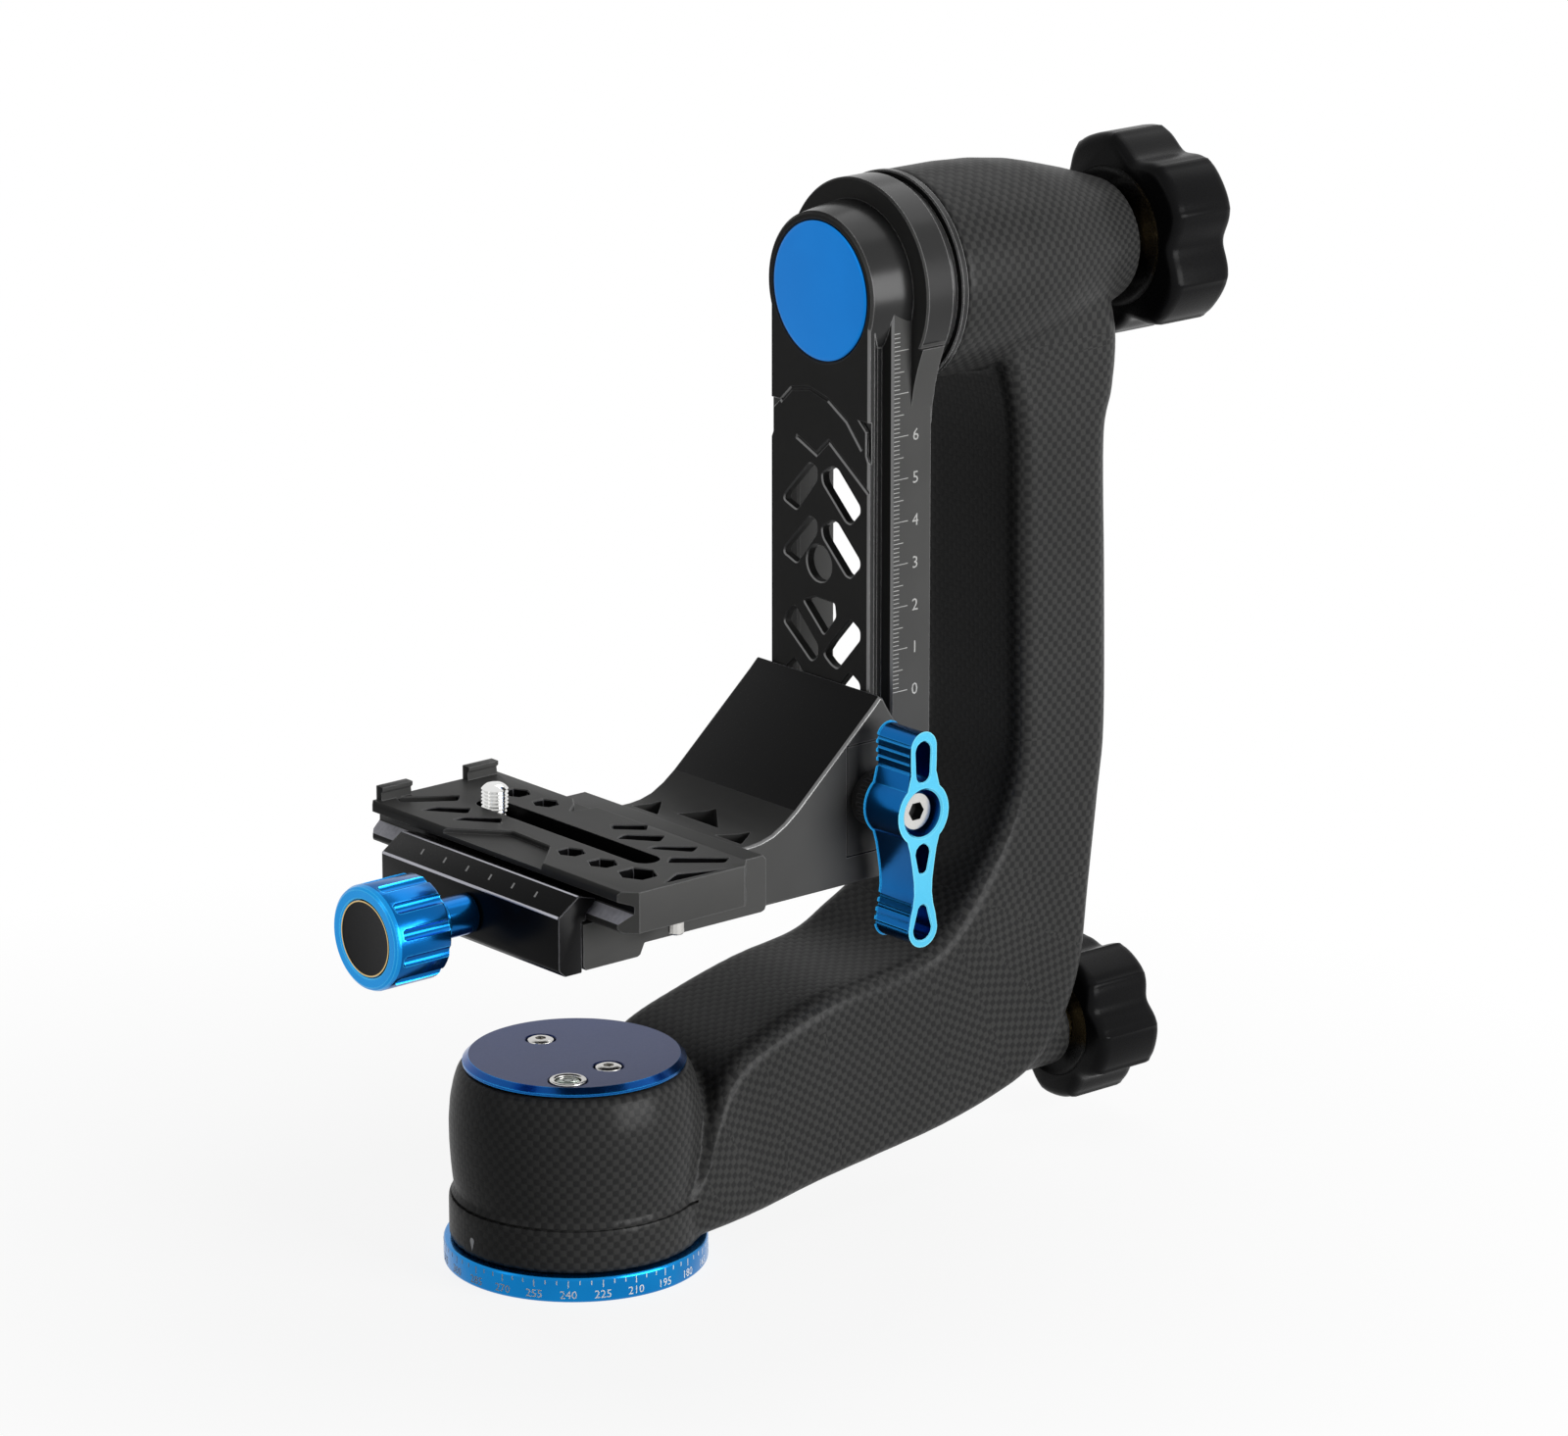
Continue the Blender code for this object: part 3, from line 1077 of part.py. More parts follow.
def bracket_point(shares):
    """A point of the bracket's side outline, from its shares."""
    return (BRACKET_FRONT_X + shares[0] * BRACKET_SPAN,
            BRACKET_BOTTOM + shares[1] * BRACKET_HEIGHT)


def groove_section():
    """The clearance round the rail's dovetail, as (x, y) points."""
    front = RAIL_FRONT - GAP
    wide = RAIL_FACE_HALF + GAP
    waist = RAIL_WAIST_HALF + GAP
    return mirrored([(front, wide), (RAIL_FRONT + RAIL_FLANGE + GAP, wide),
                     (RAIL_FRONT + RAIL_WAIST_DEPTH + GAP, waist),
                     (BRACKET_BACK + OVERRUN, waist)])


def make_bracket(finish, carrier):
    """The machined L bracket that rides on the rail and carries the clamp."""
    side = BRACKET_HALF_WIDTH
    bracket = piece("cradle_bracket",
                    extruded([bracket_point(s) for s in BRACKET_OUTLINE_SHARES], "Y", -side, side),
                    finish, carrier)
    soften(bracket, EDGE * 1.5)
    ledge_low = BRACKET_BOTTOM + LEDGE_RAISE
    join(bracket, box((BRACKET_FRONT_X - LEDGE_LENGTH, -side, ledge_low),
                      (BRACKET_FRONT_X + LEDGE_LENGTH, side,
                       BRACKET_BOTTOM + CLAMP_FLOOR_RAISE - GAP)))
    top = BRACKET_BOTTOM + BRACKET_HEIGHT
    cut(bracket, extruded(groove_section(), "Z", BRACKET_BOTTOM - OVERRUN, top + OVERRUN))
    for window in (OUTER_WINDOW_SHARES, tuple((u, -v) for u, v in OUTER_WINDOW_SHARES),
                   INNER_WINDOW_SHARES):
        outline = [(BRACKET_FRONT_X + u * BRACKET_SPAN, v * side) for u, v in window]
        cut(bracket, extruded(outline, "Z", BRACKET_BOTTOM - OVERRUN,
                              BRACKET_BOTTOM + BRACKET_HEIGHT / 2))
    cut(bracket, box(*jaw_pocket()))
    stop = STOP_SCREW_HEAD_RADIUS + GAP
    cut(bracket, box((RAIL_FRONT - STOP_SCREW_HEAD_HEIGHT - OVERRUN, -stop,
                      BRACKET_BOTTOM - OVERRUN),
                     (RAIL_FRONT + OVERRUN, stop, stop_screw_z() + stop)))
    cut(bracket, rod(JAW_SCREW_RADIUS + GAP, "Y", (LEVER_X, 0, LEVER_Z), -side - OVERRUN,
                     JAW_SCREW_HOLD / 2))
    spots = [(bracket_screw_x(), y, 0) for y in (-BRACKET_SCREW_OFFSET, BRACKET_SCREW_OFFSET)]
    cut(bracket, screw_holes("Z", spots, ledge_low - OVERRUN,
                             ledge_low + BRACKET_SCREW_HEAD_HEIGHT + GAP,
                             BRACKET_BOTTOM + CLAMP_SEAT_RAISE / 2,
                             BRACKET_SCREW_HEAD_RADIUS + GAP, BRACKET_SCREW_RADIUS + GAP))


def bracket_screw_x():
    """The line of the screws under the clamp."""
    return BRACKET_FRONT_X - LEDGE_LENGTH / 2


def make_bracket_screws(finish, carrier):
    """Two screws up through the bracket's ledge into the clamp."""
    low = BRACKET_BOTTOM + LEDGE_RAISE + GAP
    neck = low + BRACKET_SCREW_HEAD_HEIGHT - GAP
    top = low + BRACKET_SCREW_LENGTH
    outline = [(low, 0), (low, BRACKET_SCREW_HEAD_RADIUS), (neck, BRACKET_SCREW_HEAD_RADIUS),
               (neck, BRACKET_SCREW_RADIUS), (top, BRACKET_SCREW_RADIUS), (top, 0)]
    numbered("bracket_screw", [turned(outline, "Z", (bracket_screw_x(), y, 0), SMALL_STEPS)
                               for y in (-BRACKET_SCREW_OFFSET, BRACKET_SCREW_OFFSET)],
             finish, carrier)


# Rail jaw and lever

def jaw_pocket():
    """The recess in the bracket's near side that the rail jaw slides in."""
    low = (LEVER_X - RAIL_JAW_WIDTH + BRACKET_LIP - GAP, -BRACKET_HALF_WIDTH - OVERRUN,
           LEVER_Z - RAIL_JAW_LENGTH / 2 - GAP)
    high = (BRACKET_BACK + OVERRUN, -RAIL_WAIST_HALF - GAP - EDGE + OVERRUN,
            LEVER_Z + RAIL_JAW_LENGTH / 2 + GAP)
    return low, high


def make_rail_jaw(finish, carrier):
    """The sliding jaw that grips the rail's near flank."""
    front = LEVER_X - RAIL_JAW_WIDTH + BRACKET_LIP
    back = BRACKET_BACK
    flank = -RAIL_FACE_HALF - GAP
    waist = -RAIL_WAIST_HALF - GAP
    inner = jaw_pocket()[1][1] - GAP
    outline = [(front, inner), (front, -BRACKET_HALF_WIDTH), (back, -BRACKET_HALF_WIDTH),
               (back, waist), (RAIL_FRONT + RAIL_WAIST_DEPTH + GAP, waist),
               (RAIL_FRONT + RAIL_FLANGE + GAP, flank), (RAIL_FRONT - GAP, flank),
               (RAIL_FRONT - GAP, inner)]
    jaw = piece("rail_jaw", extruded(outline, "Z", LEVER_Z - RAIL_JAW_LENGTH / 2,
                                     LEVER_Z + RAIL_JAW_LENGTH / 2), finish, carrier)
    cut(jaw, rod(JAW_SCREW_RADIUS + GAP, "Y", (LEVER_X, 0, LEVER_Z),
                 -BRACKET_HALF_WIDTH - OVERRUN, 0))


def lever_outline():
    """The two-armed lever as (x, z): a round hub, a short arm up and a long one down."""
    hub = LEVER_HUB_RADIUS
    up = LEVER_Z + LEVER_UP - LEVER_TIP_HALF
    down = LEVER_Z - LEVER_DOWN + LEVER_TIP_HALF
    centre = (LEVER_X, LEVER_Z)
    right = [(LEVER_X + LEVER_TIP_HALF, up), (LEVER_X + LEVER_TIP_HALF * 0.95, up - LEVER_UP / 3)]
    low = [(LEVER_X + LEVER_NECK_HALF, LEVER_Z - LEVER_DOWN * 0.50),
           (LEVER_X + LEVER_NECK_HALF, LEVER_Z - LEVER_DOWN * 0.66)]
    half = (arc((LEVER_X, up), LEVER_TIP_HALF, 90, 0, 4)[:-1] + right
            + arc(centre, hub, 40, -42, 6) + low
            + arc((LEVER_X, down), LEVER_TIP_HALF, 0, -90, 4))
    return half + [(2 * LEVER_X - x, z) for x, z in reversed(half[1:-1])]


def make_lever(blue, black, steel, carrier):
    """The blue lever with its splined boss and the screw through both."""
    centre = (LEVER_X, 0, LEVER_Z)
    boss_in = -BRACKET_HALF_WIDTH - GAP
    boss_out = boss_in - LEVER_BOSS_LENGTH
    back = boss_out - GAP
    face = back - LEVER_THICKNESS
    floor = back - LEVER_FLOOR
    up_low, up_high = LEVER_Z + LEVER_HUB_RADIUS + LEVER_WALL, LEVER_Z + LEVER_UP
    down_low = LEVER_Z - LEVER_DOWN
    slot = LEVER_TIP_HALF - LEVER_WALL
    holes = (slot_outline((LEVER_X, up_low + slot), (LEVER_X, up_high - LEVER_WALL - slot), slot),
             slot_outline((LEVER_X, LEVER_Z - LEVER_HUB_RADIUS - LEVER_WALL - slot),
                          (LEVER_X, LEVER_Z - LEVER_DOWN * 0.42), slot * 0.6),
             slot_outline((LEVER_X, down_low + LEVER_WALL + slot),
                          (LEVER_X, down_low + LEVER_WALL + slot * 2.6), slot * 0.7))
    lever = piece("rail_lever", extruded(lever_outline(), "Y", face, back, holes), blue, carrier)
    cut(lever, rod(LEVER_BORE_RADIUS, "Y", centre, face - OVERRUN, floor, PLAIN_STEPS),
        rod(JAW_SCREW_RADIUS + GAP, "Y", centre, face, back + OVERRUN))
    piece("lever_boss", ring(JAW_SCREW_RADIUS + GAP, LEVER_BOSS_RADIUS, "Y", centre, boss_out,
                             boss_in, PLAIN_STEPS, EDGE), black, carrier)
    head_in = floor - GAP
    head_out = head_in - LEVER_HEAD_HEIGHT
    end = -RAIL_WAIST_HALF + JAW_SCREW_HOLD
    outline = [(head_out, 0), (head_out, LEVER_HEAD_RADIUS - EDGE),
               (head_out + EDGE, LEVER_HEAD_RADIUS), (head_in, LEVER_HEAD_RADIUS),
               (head_in, JAW_SCREW_RADIUS), (end, JAW_SCREW_RADIUS), (end, 0)]
    screw = piece("lever_screw", turned(outline, "Y", centre, PLAIN_STEPS), steel, carrier)
    cut(screw, extruded(polygon((LEVER_X, LEVER_Z), LEVER_HEAD_RADIUS / 2, 6, 0), "Y",
                        head_out - OVERRUN, head_out + LEVER_HEAD_HEIGHT / 2))


# Quick-release clamp

def make_clamp_base(finish, carrier):
    """The clamp's fixed half: floor, fixed dovetail lip and the toe behind the jaw."""
    floor = BRACKET_BOTTOM + CLAMP_FLOOR_RAISE
    toe = BRACKET_BOTTOM + CLAMP_TOE_RAISE
    right = BRACKET_FRONT_X - GAP
    flare = PLATE_CENTRE_X + PLATE_HALF_WIDTH + SIDE_CLEAR
    waist = PLATE_CENTRE_X + PLATE_WAIST_HALF + SIDE_CLEAR
    toe_end = BASE_LEFT_X + CLAMP_TOE_LENGTH
    outline = [(BASE_LEFT_X, toe + OVERRUN), (BASE_LEFT_X + OVERRUN, toe), (toe_end, toe),
               (toe_end + OVERRUN, floor), (right - OVERRUN, floor), (right, floor + OVERRUN),
               (right, LIP_TOP), (waist, LIP_TOP), (waist, WAIST_Z), (flare, FLARE_TOP),
               (flare, CLAMP_SEAT_Z), (BASE_LEFT_X, CLAMP_SEAT_Z)]
    base = piece("clamp_base", extruded(outline, "Y", -CLAMP_HALF_LENGTH, CLAMP_HALF_LENGTH),
                 finish, carrier)
    soften(base, EDGE)
    axis = (0, 0, CLAMP_AXIS_Z)
    cut(base, rod(CLAMP_ROD_RADIUS + GAP, "X", axis, BASE_LEFT_X - OVERRUN,
                  BASE_LEFT_X + CLAMP_ROD_HOLD))
    for y in (-GUIDE_PIN_OFFSET, GUIDE_PIN_OFFSET):
        cut(base, rod(GUIDE_PIN_RADIUS + GAP, "X", (0, y, CLAMP_AXIS_Z), BASE_LEFT_X - OVERRUN,
                      BASE_LEFT_X + GUIDE_PIN_HOLD))
    for y in (-BRACKET_SCREW_OFFSET, BRACKET_SCREW_OFFSET):
        cut(base, rod(BRACKET_SCREW_RADIUS + GAP, "Z", (bracket_screw_x(), y, 0),
                      floor - OVERRUN, BRACKET_BOTTOM + LEDGE_RAISE + GAP
                      + BRACKET_SCREW_LENGTH + GAP))


def make_clamp_jaw(finish, steel, carrier):
    """The moving jaw and its two guide pins."""
    toe = BRACKET_BOTTOM + CLAMP_TOE_RAISE - GAP
    flare = PLATE_CENTRE_X - PLATE_HALF_WIDTH - SIDE_CLEAR
    waist = PLATE_CENTRE_X - PLATE_WAIST_HALF - SIDE_CLEAR
    shelf = CLAMP_SEAT_Z + GAP + EDGE
    lip_top = LIP_TOP + JAW_LIP_RISE
    outline = [(JAW_OUTER_X, toe + JAW_FOOT_CHAMFER), (JAW_OUTER_X + JAW_FOOT_CHAMFER, toe),
               (JAW_INNER_X, toe),
               (JAW_INNER_X, shelf), (flare, shelf), (flare, FLARE_TOP), (waist, WAIST_Z),
               (waist, LIP_TOP), (waist - JAW_LIP_WIDTH, lip_top),
               (JAW_OUTER_X, BRACKET_BOTTOM + JAW_OUTER_HEIGHT)]
    jaw = piece("clamp_jaw", extruded(outline, "Y", -CLAMP_HALF_LENGTH, CLAMP_HALF_LENGTH),
                finish, carrier)
    soften(jaw, EDGE)
    cut(jaw, rod(CLAMP_ROD_RADIUS + GAP, "X", (0, 0, CLAMP_AXIS_Z), JAW_OUTER_X - OVERRUN,
                 JAW_INNER_X + OVERRUN))
    pins = []
    pin_start = JAW_OUTER_X + JAW_BODY_THICKNESS / 2
    for y in (-GUIDE_PIN_OFFSET, GUIDE_PIN_OFFSET):
        spot = (0, y, CLAMP_AXIS_Z)
        cut(jaw, rod(GUIDE_PIN_RADIUS + GAP, "X", spot, pin_start - GAP, JAW_INNER_X + OVERRUN))
        pins.append(rod(GUIDE_PIN_RADIUS, "X", spot, pin_start,
                        BASE_LEFT_X + GUIDE_PIN_HOLD - GAP, SMALL_STEPS, EDGE))
    numbered("clamp_guide_pin", pins, steel, carrier)


def scalloped_ring(radius, x):
    """One fluted section of the clamp knob."""
    count = CLAMP_KNOB_SCALLOPS * CLAMP_KNOB_POINTS_PER_SCALLOP
    points = []
    for n in range(count):
        turn = math.tau * n / count
        dip = abs(math.sin(CLAMP_KNOB_SCALLOPS * turn / 2)) ** 3
        r = radius * (1 - CLAMP_KNOB_SCALLOP_SHARE * dip)
        points.append((x, -r * math.cos(turn), CLAMP_AXIS_Z + r * math.sin(turn)))
    return points


def make_clamp_knob(blue, steel, black, carrier):
    """The fluted knob with its stem, the threaded rod in it and the end disc."""
    axis = (0, 0, CLAMP_AXIS_Z)
    face = CLAMP_KNOB_FACE
    back = face + CLAMP_KNOB_LENGTH
    radius = CLAMP_KNOB_RADIUS
    rings = [scalloped_ring(radius - OVERRUN, face), scalloped_ring(radius, face + OVERRUN),
             scalloped_ring(radius, back - OVERRUN), scalloped_ring(radius - OVERRUN, back)]
    knob = piece("clamp_knob", lofted(rings), blue, carrier)
    join(knob, rod(CLAMP_STEM_RADIUS, "X", axis, back - OVERRUN, STEM_START, PLAIN_STEPS))
    rod_start = face + CLAMP_KNOB_LENGTH / 2
    cap = CLAMP_KNOB_CAP_RADIUS
    cut(knob, rod(CLAMP_ROD_RADIUS + GAP, "X", axis, rod_start - GAP, STEM_START + OVERRUN),
        rod(cap + GAP, "X", axis, face - OVERRUN, face + CLAMP_KNOB_CAP_THICKNESS + GAP,
            PLAIN_STEPS))
    piece("clamp_screw", rod(CLAMP_ROD_RADIUS, "X", axis, rod_start,
                             BASE_LEFT_X + CLAMP_ROD_HOLD - GAP, SMALL_STEPS, EDGE), steel, carrier)
    piece("clamp_knob_disc", rod(cap, "X", axis, face + EDGE / 2,
                                 face + CLAMP_KNOB_CAP_THICKNESS, PLAIN_STEPS), black, carrier)


# Lens plate

def plate_place(shares):
    """A point on the plate's top, from shares of its half width and half length."""
    return (PLATE_CENTRE_X + shares[0] * PLATE_HALF_WIDTH,
            PLATE_CENTRE_Y + shares[1] * PLATE_LENGTH / 2)


def plate_section():
    """The plate's double dovetail as (x, z) points."""
    rim_low = PLATE_TOP - PLATE_RIM_HEIGHT
    half = [(PLATE_HALF_WIDTH - PLATE_RIM_CHAMFER, PLATE_BOTTOM),
            (PLATE_HALF_WIDTH, PLATE_BOTTOM + PLATE_RIM_CHAMFER), (PLATE_HALF_WIDTH, FLARE_TOP),
            (PLATE_WAIST_HALF, WAIST_Z), (PLATE_WAIST_HALF, rim_low - PLATE_RIM_CHAMFER),
            (PLATE_HALF_WIDTH, rim_low), (PLATE_HALF_WIDTH, PLATE_TOP - PLATE_RIM_CHAMFER),
            (PLATE_HALF_WIDTH - PLATE_RIM_CHAMFER, PLATE_TOP)]
    return ([(PLATE_CENTRE_X + x, z) for x, z in half]
            + [(PLATE_CENTRE_X - x, z) for x, z in reversed(half)])


def make_lens_plate(finish, carrier):
    """The quick-release plate with its stop tabs, screw slot and top relief."""
    near = PLATE_CENTRE_Y - PLATE_LENGTH / 2
    far = PLATE_CENTRE_Y + PLATE_LENGTH / 2
    left, right = PLATE_CENTRE_X - PLATE_HALF_WIDTH, PLATE_CENTRE_X + PLATE_HALF_WIDTH
    plate = piece("lens_plate", extruded(plate_section(), "Y", near, far), finish, carrier)
    tab_top = PLATE_TOP + TAB_HEIGHT
    tab_low = PLATE_TOP - PLATE_RIM_CHAMFER
    join(plate, box((left, far - TAB_THICKNESS, tab_low), (left + TAB_WIDTH, far, tab_top)),
         box((right - TAB_WIDTH, far - TAB_THICKNESS, tab_low), (right, far, tab_top)))
    for side in (left, right):
        inward = PLATE_CORNER if side == left else -PLATE_CORNER
        outward = -OVERRUN if side == left else OVERRUN
        corner = [(side + outward, near - OVERRUN), (side + inward, near - OVERRUN),
                  (side + inward, near), (side, near + PLATE_CORNER),
                  (side + outward, near + PLATE_CORNER)]
        cut(plate, extruded(corner, "Z", PLATE_BOTTOM - OVERRUN, PLATE_TOP + OVERRUN))
    slot_x = PLATE_CENTRE_X + SCREW_SLOT_X
    for width, low, high in (
            (SCREW_SLOT_HALF_WIDTH, PLATE_BOTTOM - OVERRUN, PLATE_TOP + OVERRUN),
            (SCREW_CHANNEL_HALF_WIDTH, PLATE_BOTTOM - OVERRUN,
             PLATE_BOTTOM + SCREW_CHANNEL_DEPTH)):
        ends = ((slot_x, -SCREW_SLOT_HALF_LENGTH), (slot_x, SCREW_SLOT_HALF_LENGTH))
        cut(plate, extruded(slot_outline(*ends, width, 6), "Z", low, high))
    relief_low = PLATE_TOP - RELIEF_DEPTH
    reliefs = [slot_outline(plate_place((x1, y1)), plate_place((x2, y2)), w * PLATE_HALF_WIDTH, 3)
               for x1, y1, x2, y2, w in PLATE_SLOT_SHARES]
    reliefs += [polygon(plate_place((x, y)), r * PLATE_HALF_WIDTH, 6, 0)
                for x, y, r in PLATE_HEX_SHARES]
    cut(plate, grouped([extruded(outline, "Z", relief_low, tab_top) for outline in reliefs]))
    step_low = PLATE_TOP - PLATE_RIM_HEIGHT / 2
    cut(plate, grouped([extruded([plate_place(s) for s in shares], "Z", step_low, tab_top)
                        for shares in (PLATE_STEP_SHARES, PLATE_NOTCH_SHARES)]))
    for y in (-STOP_PIN_OFFSET, STOP_PIN_OFFSET):
        cut(plate, rod(STOP_PIN_RADIUS + GAP, "Z", (PLATE_CENTRE_X, y, 0),
                       PLATE_BOTTOM - OVERRUN, PLATE_BOTTOM + STOP_PIN_SEAT + GAP))


def make_stop_pins(finish, carrier):
    """The pins under the plate that meet the clamp's ends."""
    numbered("plate_stop_pin", [rod(STOP_PIN_RADIUS, "Z", (PLATE_CENTRE_X, y, 0),
                                    PLATE_BOTTOM - STOP_PIN_DROP,
                                    PLATE_BOTTOM + STOP_PIN_SEAT, SMALL_STEPS, EDGE)
                                for y in (-STOP_PIN_OFFSET, STOP_PIN_OFFSET)], finish, carrier)


def make_camera_screw(steel, black, slider, turner):
    """The camera screw in its channel, and the sliding carrier that keeps it."""
    x = PLATE_CENTRE_X + SCREW_SLOT_X
    spot = (x, CAMERA_SCREW_Y, 0)
    head_low = PLATE_BOTTOM + GAP
    head_high = head_low + CAMERA_HEAD_HEIGHT
    top = PLATE_TOP + CAMERA_SCREW_RISE
    outline = [(head_low, 0), (head_low, CAMERA_HEAD_RADIUS), (head_high, CAMERA_HEAD_RADIUS),
               (head_high, CAMERA_SCREW_RADIUS), (top - EDGE, CAMERA_SCREW_RADIUS),
               (top, CAMERA_SCREW_RADIUS - EDGE), (top, 0)]
    screw = piece("camera_screw", turned(outline, "Z", spot, PLAIN_STEPS), steel, turner)
    cut(screw, box((x - CAMERA_HEAD_RADIUS * 0.7, CAMERA_SCREW_Y - EDGE, head_low - OVERRUN),
                   (x + CAMERA_HEAD_RADIUS * 0.7, CAMERA_SCREW_Y + EDGE, head_low + OVERRUN)))
    half = SCREW_CHANNEL_HALF_WIDTH - GAP
    low = head_high + GAP
    high = low + CARRIER_THICKNESS
    carrier = piece("screw_carrier", box((x - half, CAMERA_SCREW_Y - CARRIER_HALF_LENGTH, low),
                                         (x + half, CAMERA_SCREW_Y + CARRIER_HALF_LENGTH, high)),
                    black, slider)
    cut(carrier, rod(CAMERA_SCREW_RADIUS + GAP, "Z", spot, low - OVERRUN, high + OVERRUN))


# Assembly

def main():
    """Make the bodies on their axes, then the pieces of each."""
    clear_scene()
    black = material("satin_black_anodised", (0.020, 0.020, 0.022), 0.38, 0.85)
    carbon = material("carbon_weave", (0.028, 0.028, 0.030), 0.34, 0.10)
    blue = material("blue_anodised", (0.010, 0.180, 0.620), 0.26, 0.90)
    navy = material("dark_blue_anodised", (0.012, 0.025, 0.110), 0.30, 0.80)
    badge = material("blue_badge", (0.015, 0.210, 0.620), 0.35, 0.30)
    steel = material("stainless_steel", (0.620, 0.610, 0.590), 0.28, 1.0)
    brass = material("brass", (0.700, 0.520, 0.250), 0.35, 1.0)
    rubber = material("black_rubber", (0.016, 0.016, 0.017), 0.62, 0.0)
    plastic = material("black_plastic", (0.024, 0.024, 0.026), 0.45, 0.0)
    glass = material("level_glass", (0.700, 0.780, 0.760), 0.08, 0.0)

    pan_axis, tilt_axis = (0, 0, 0), (0, 0, TILT_HEIGHT)
    lock_axis = (0, 0, PAN_LOCK_HEIGHT)
    lever_axis = (LEVER_X, 0, LEVER_Z)
    clamp_axis = (0, 0, CLAMP_AXIS_Z)
    screw_axis = (PLATE_CENTRE_X + SCREW_SLOT_X, CAMERA_SCREW_Y, PLATE_BOTTOM)
    base = body("base", pan_axis)
    arm = body("arm", pan_axis, base)
    pan_clamp = body("pan_clamp", lock_axis, arm)
    pan_knob = body("pan_knob_axis", lock_axis, arm)
    swing = body("swing_arm", tilt_axis, arm)
    tilt_clamp = body("tilt_clamp", tilt_axis, swing)
    tilt_knob = body("tilt_knob_axis", tilt_axis, tilt_clamp)
    cradle = body("cradle", lever_axis, swing)
    rail_jaw = body("rail_jaw_slide", lever_axis, cradle)
    lever = body("rail_lever_axis", lever_axis, rail_jaw)
    jaw = body("clamp_jaw_slide", clamp_axis, cradle)
    knob = body("clamp_knob_axis", clamp_axis, jaw)
    plate = body("lens_plate_slide", clamp_axis, cradle)
    carrier = body("screw_carrier_slide", screw_axis, plate)
    camera = body("camera_screw_axis", screw_axis, carrier)

    make_base_plate(black, base)
    make_thread_insert(steel, base)
    make_pan_dial(blue, base)
    make_pan_spindle(steel, base)
    make_base_screws(steel, base)
    make_pan_nut(steel, base)
    make_carbon_arm(carbon, arm)
    make_pan_sleeve(black, arm)
    bearing_bore, bearing_outer = SPINDLE_RADIUS + GAP, SLEEVE_BORE - GAP
    for name, level in (("pan_bearing_lower", LOWER_BEARING_Z),
                        ("pan_bearing_upper", UPPER_BEARING_Z)):
        make_bearing(name, "Z", (0, 0, 0), level, BEARING_WIDTH, bearing_bore, bearing_outer,
                     steel, arm)
    make_pan_cap(navy, arm)
    make_cap_screws(steel, arm)
    make_level(steel, glass, arm)
    make_tilt_sleeve(black, arm)
    rear_start = HOUSING_FRONT + LINER_LENGTH - REAR_BEARING_WIDTH
    make_bearing("tilt_bearing_front", "X", tilt_axis, HOUSING_FRONT, FRONT_BEARING_WIDTH - GAP,
                 TILT_SHAFT_RADIUS + GAP, FRONT_BEARING_RADIUS, steel, arm)
    make_bearing("tilt_bearing_rear", "X", tilt_axis, rear_start, REAR_BEARING_WIDTH - GAP,
                 TILT_SHAFT_RADIUS + GAP, REAR_BEARING_RADIUS, steel, arm)
    make_pan_lock(steel, brass, black, pan_clamp, pan_knob, arm)
    make_knob("pan_knob", PAN_KNOB_RADIUS, PAN_KNOB_PHASE_DEG, PAN_KNOB_START, PAN_KNOB_DEPTH,
              PAN_LOCK_HEIGHT, LOCK_ROD_RADIUS, (rubber, brass, plastic), pan_knob)
    make_brake_washer(steel, tilt_clamp)
    make_knob("tilt_knob", TILT_KNOB_RADIUS, TILT_KNOB_PHASE_DEG, TILT_KNOB_START,
              TILT_KNOB_DEPTH, TILT_HEIGHT, TILT_STUD_RADIUS, (rubber, brass, plastic),
              tilt_knob)
    make_swing_rail(black, swing)
    make_tilt_shaft(steel, swing)
    make_thrust_washer(plastic, swing)
    make_hub_screws(steel, swing)
    make_badge(badge, swing)
    make_rail_stop(steel, swing)
    make_bracket(black, cradle)
    make_clamp_base(black, cradle)
    make_bracket_screws(steel, cradle)
    make_rail_jaw(black, rail_jaw)
    make_lever(blue, black, steel, lever)
    make_clamp_jaw(black, steel, jaw)
    make_clamp_knob(blue, steel, plastic, knob)
    make_lens_plate(black, plate)
    make_stop_pins(steel, plate)
    make_camera_screw(steel, black, carrier, camera)


main()
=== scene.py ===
"""Looks of a side-mount gimbal tripod head: a blue degree dial and foot, a swept
carbon arm, a swinging rail with its blue lever, and a quick-release lens plate.

Every shape is drawn in millimetres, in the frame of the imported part, and is
scaled to metres when it becomes a piece.
"""

import math

import bmesh
import bpy
from mathutils import Matrix, Vector


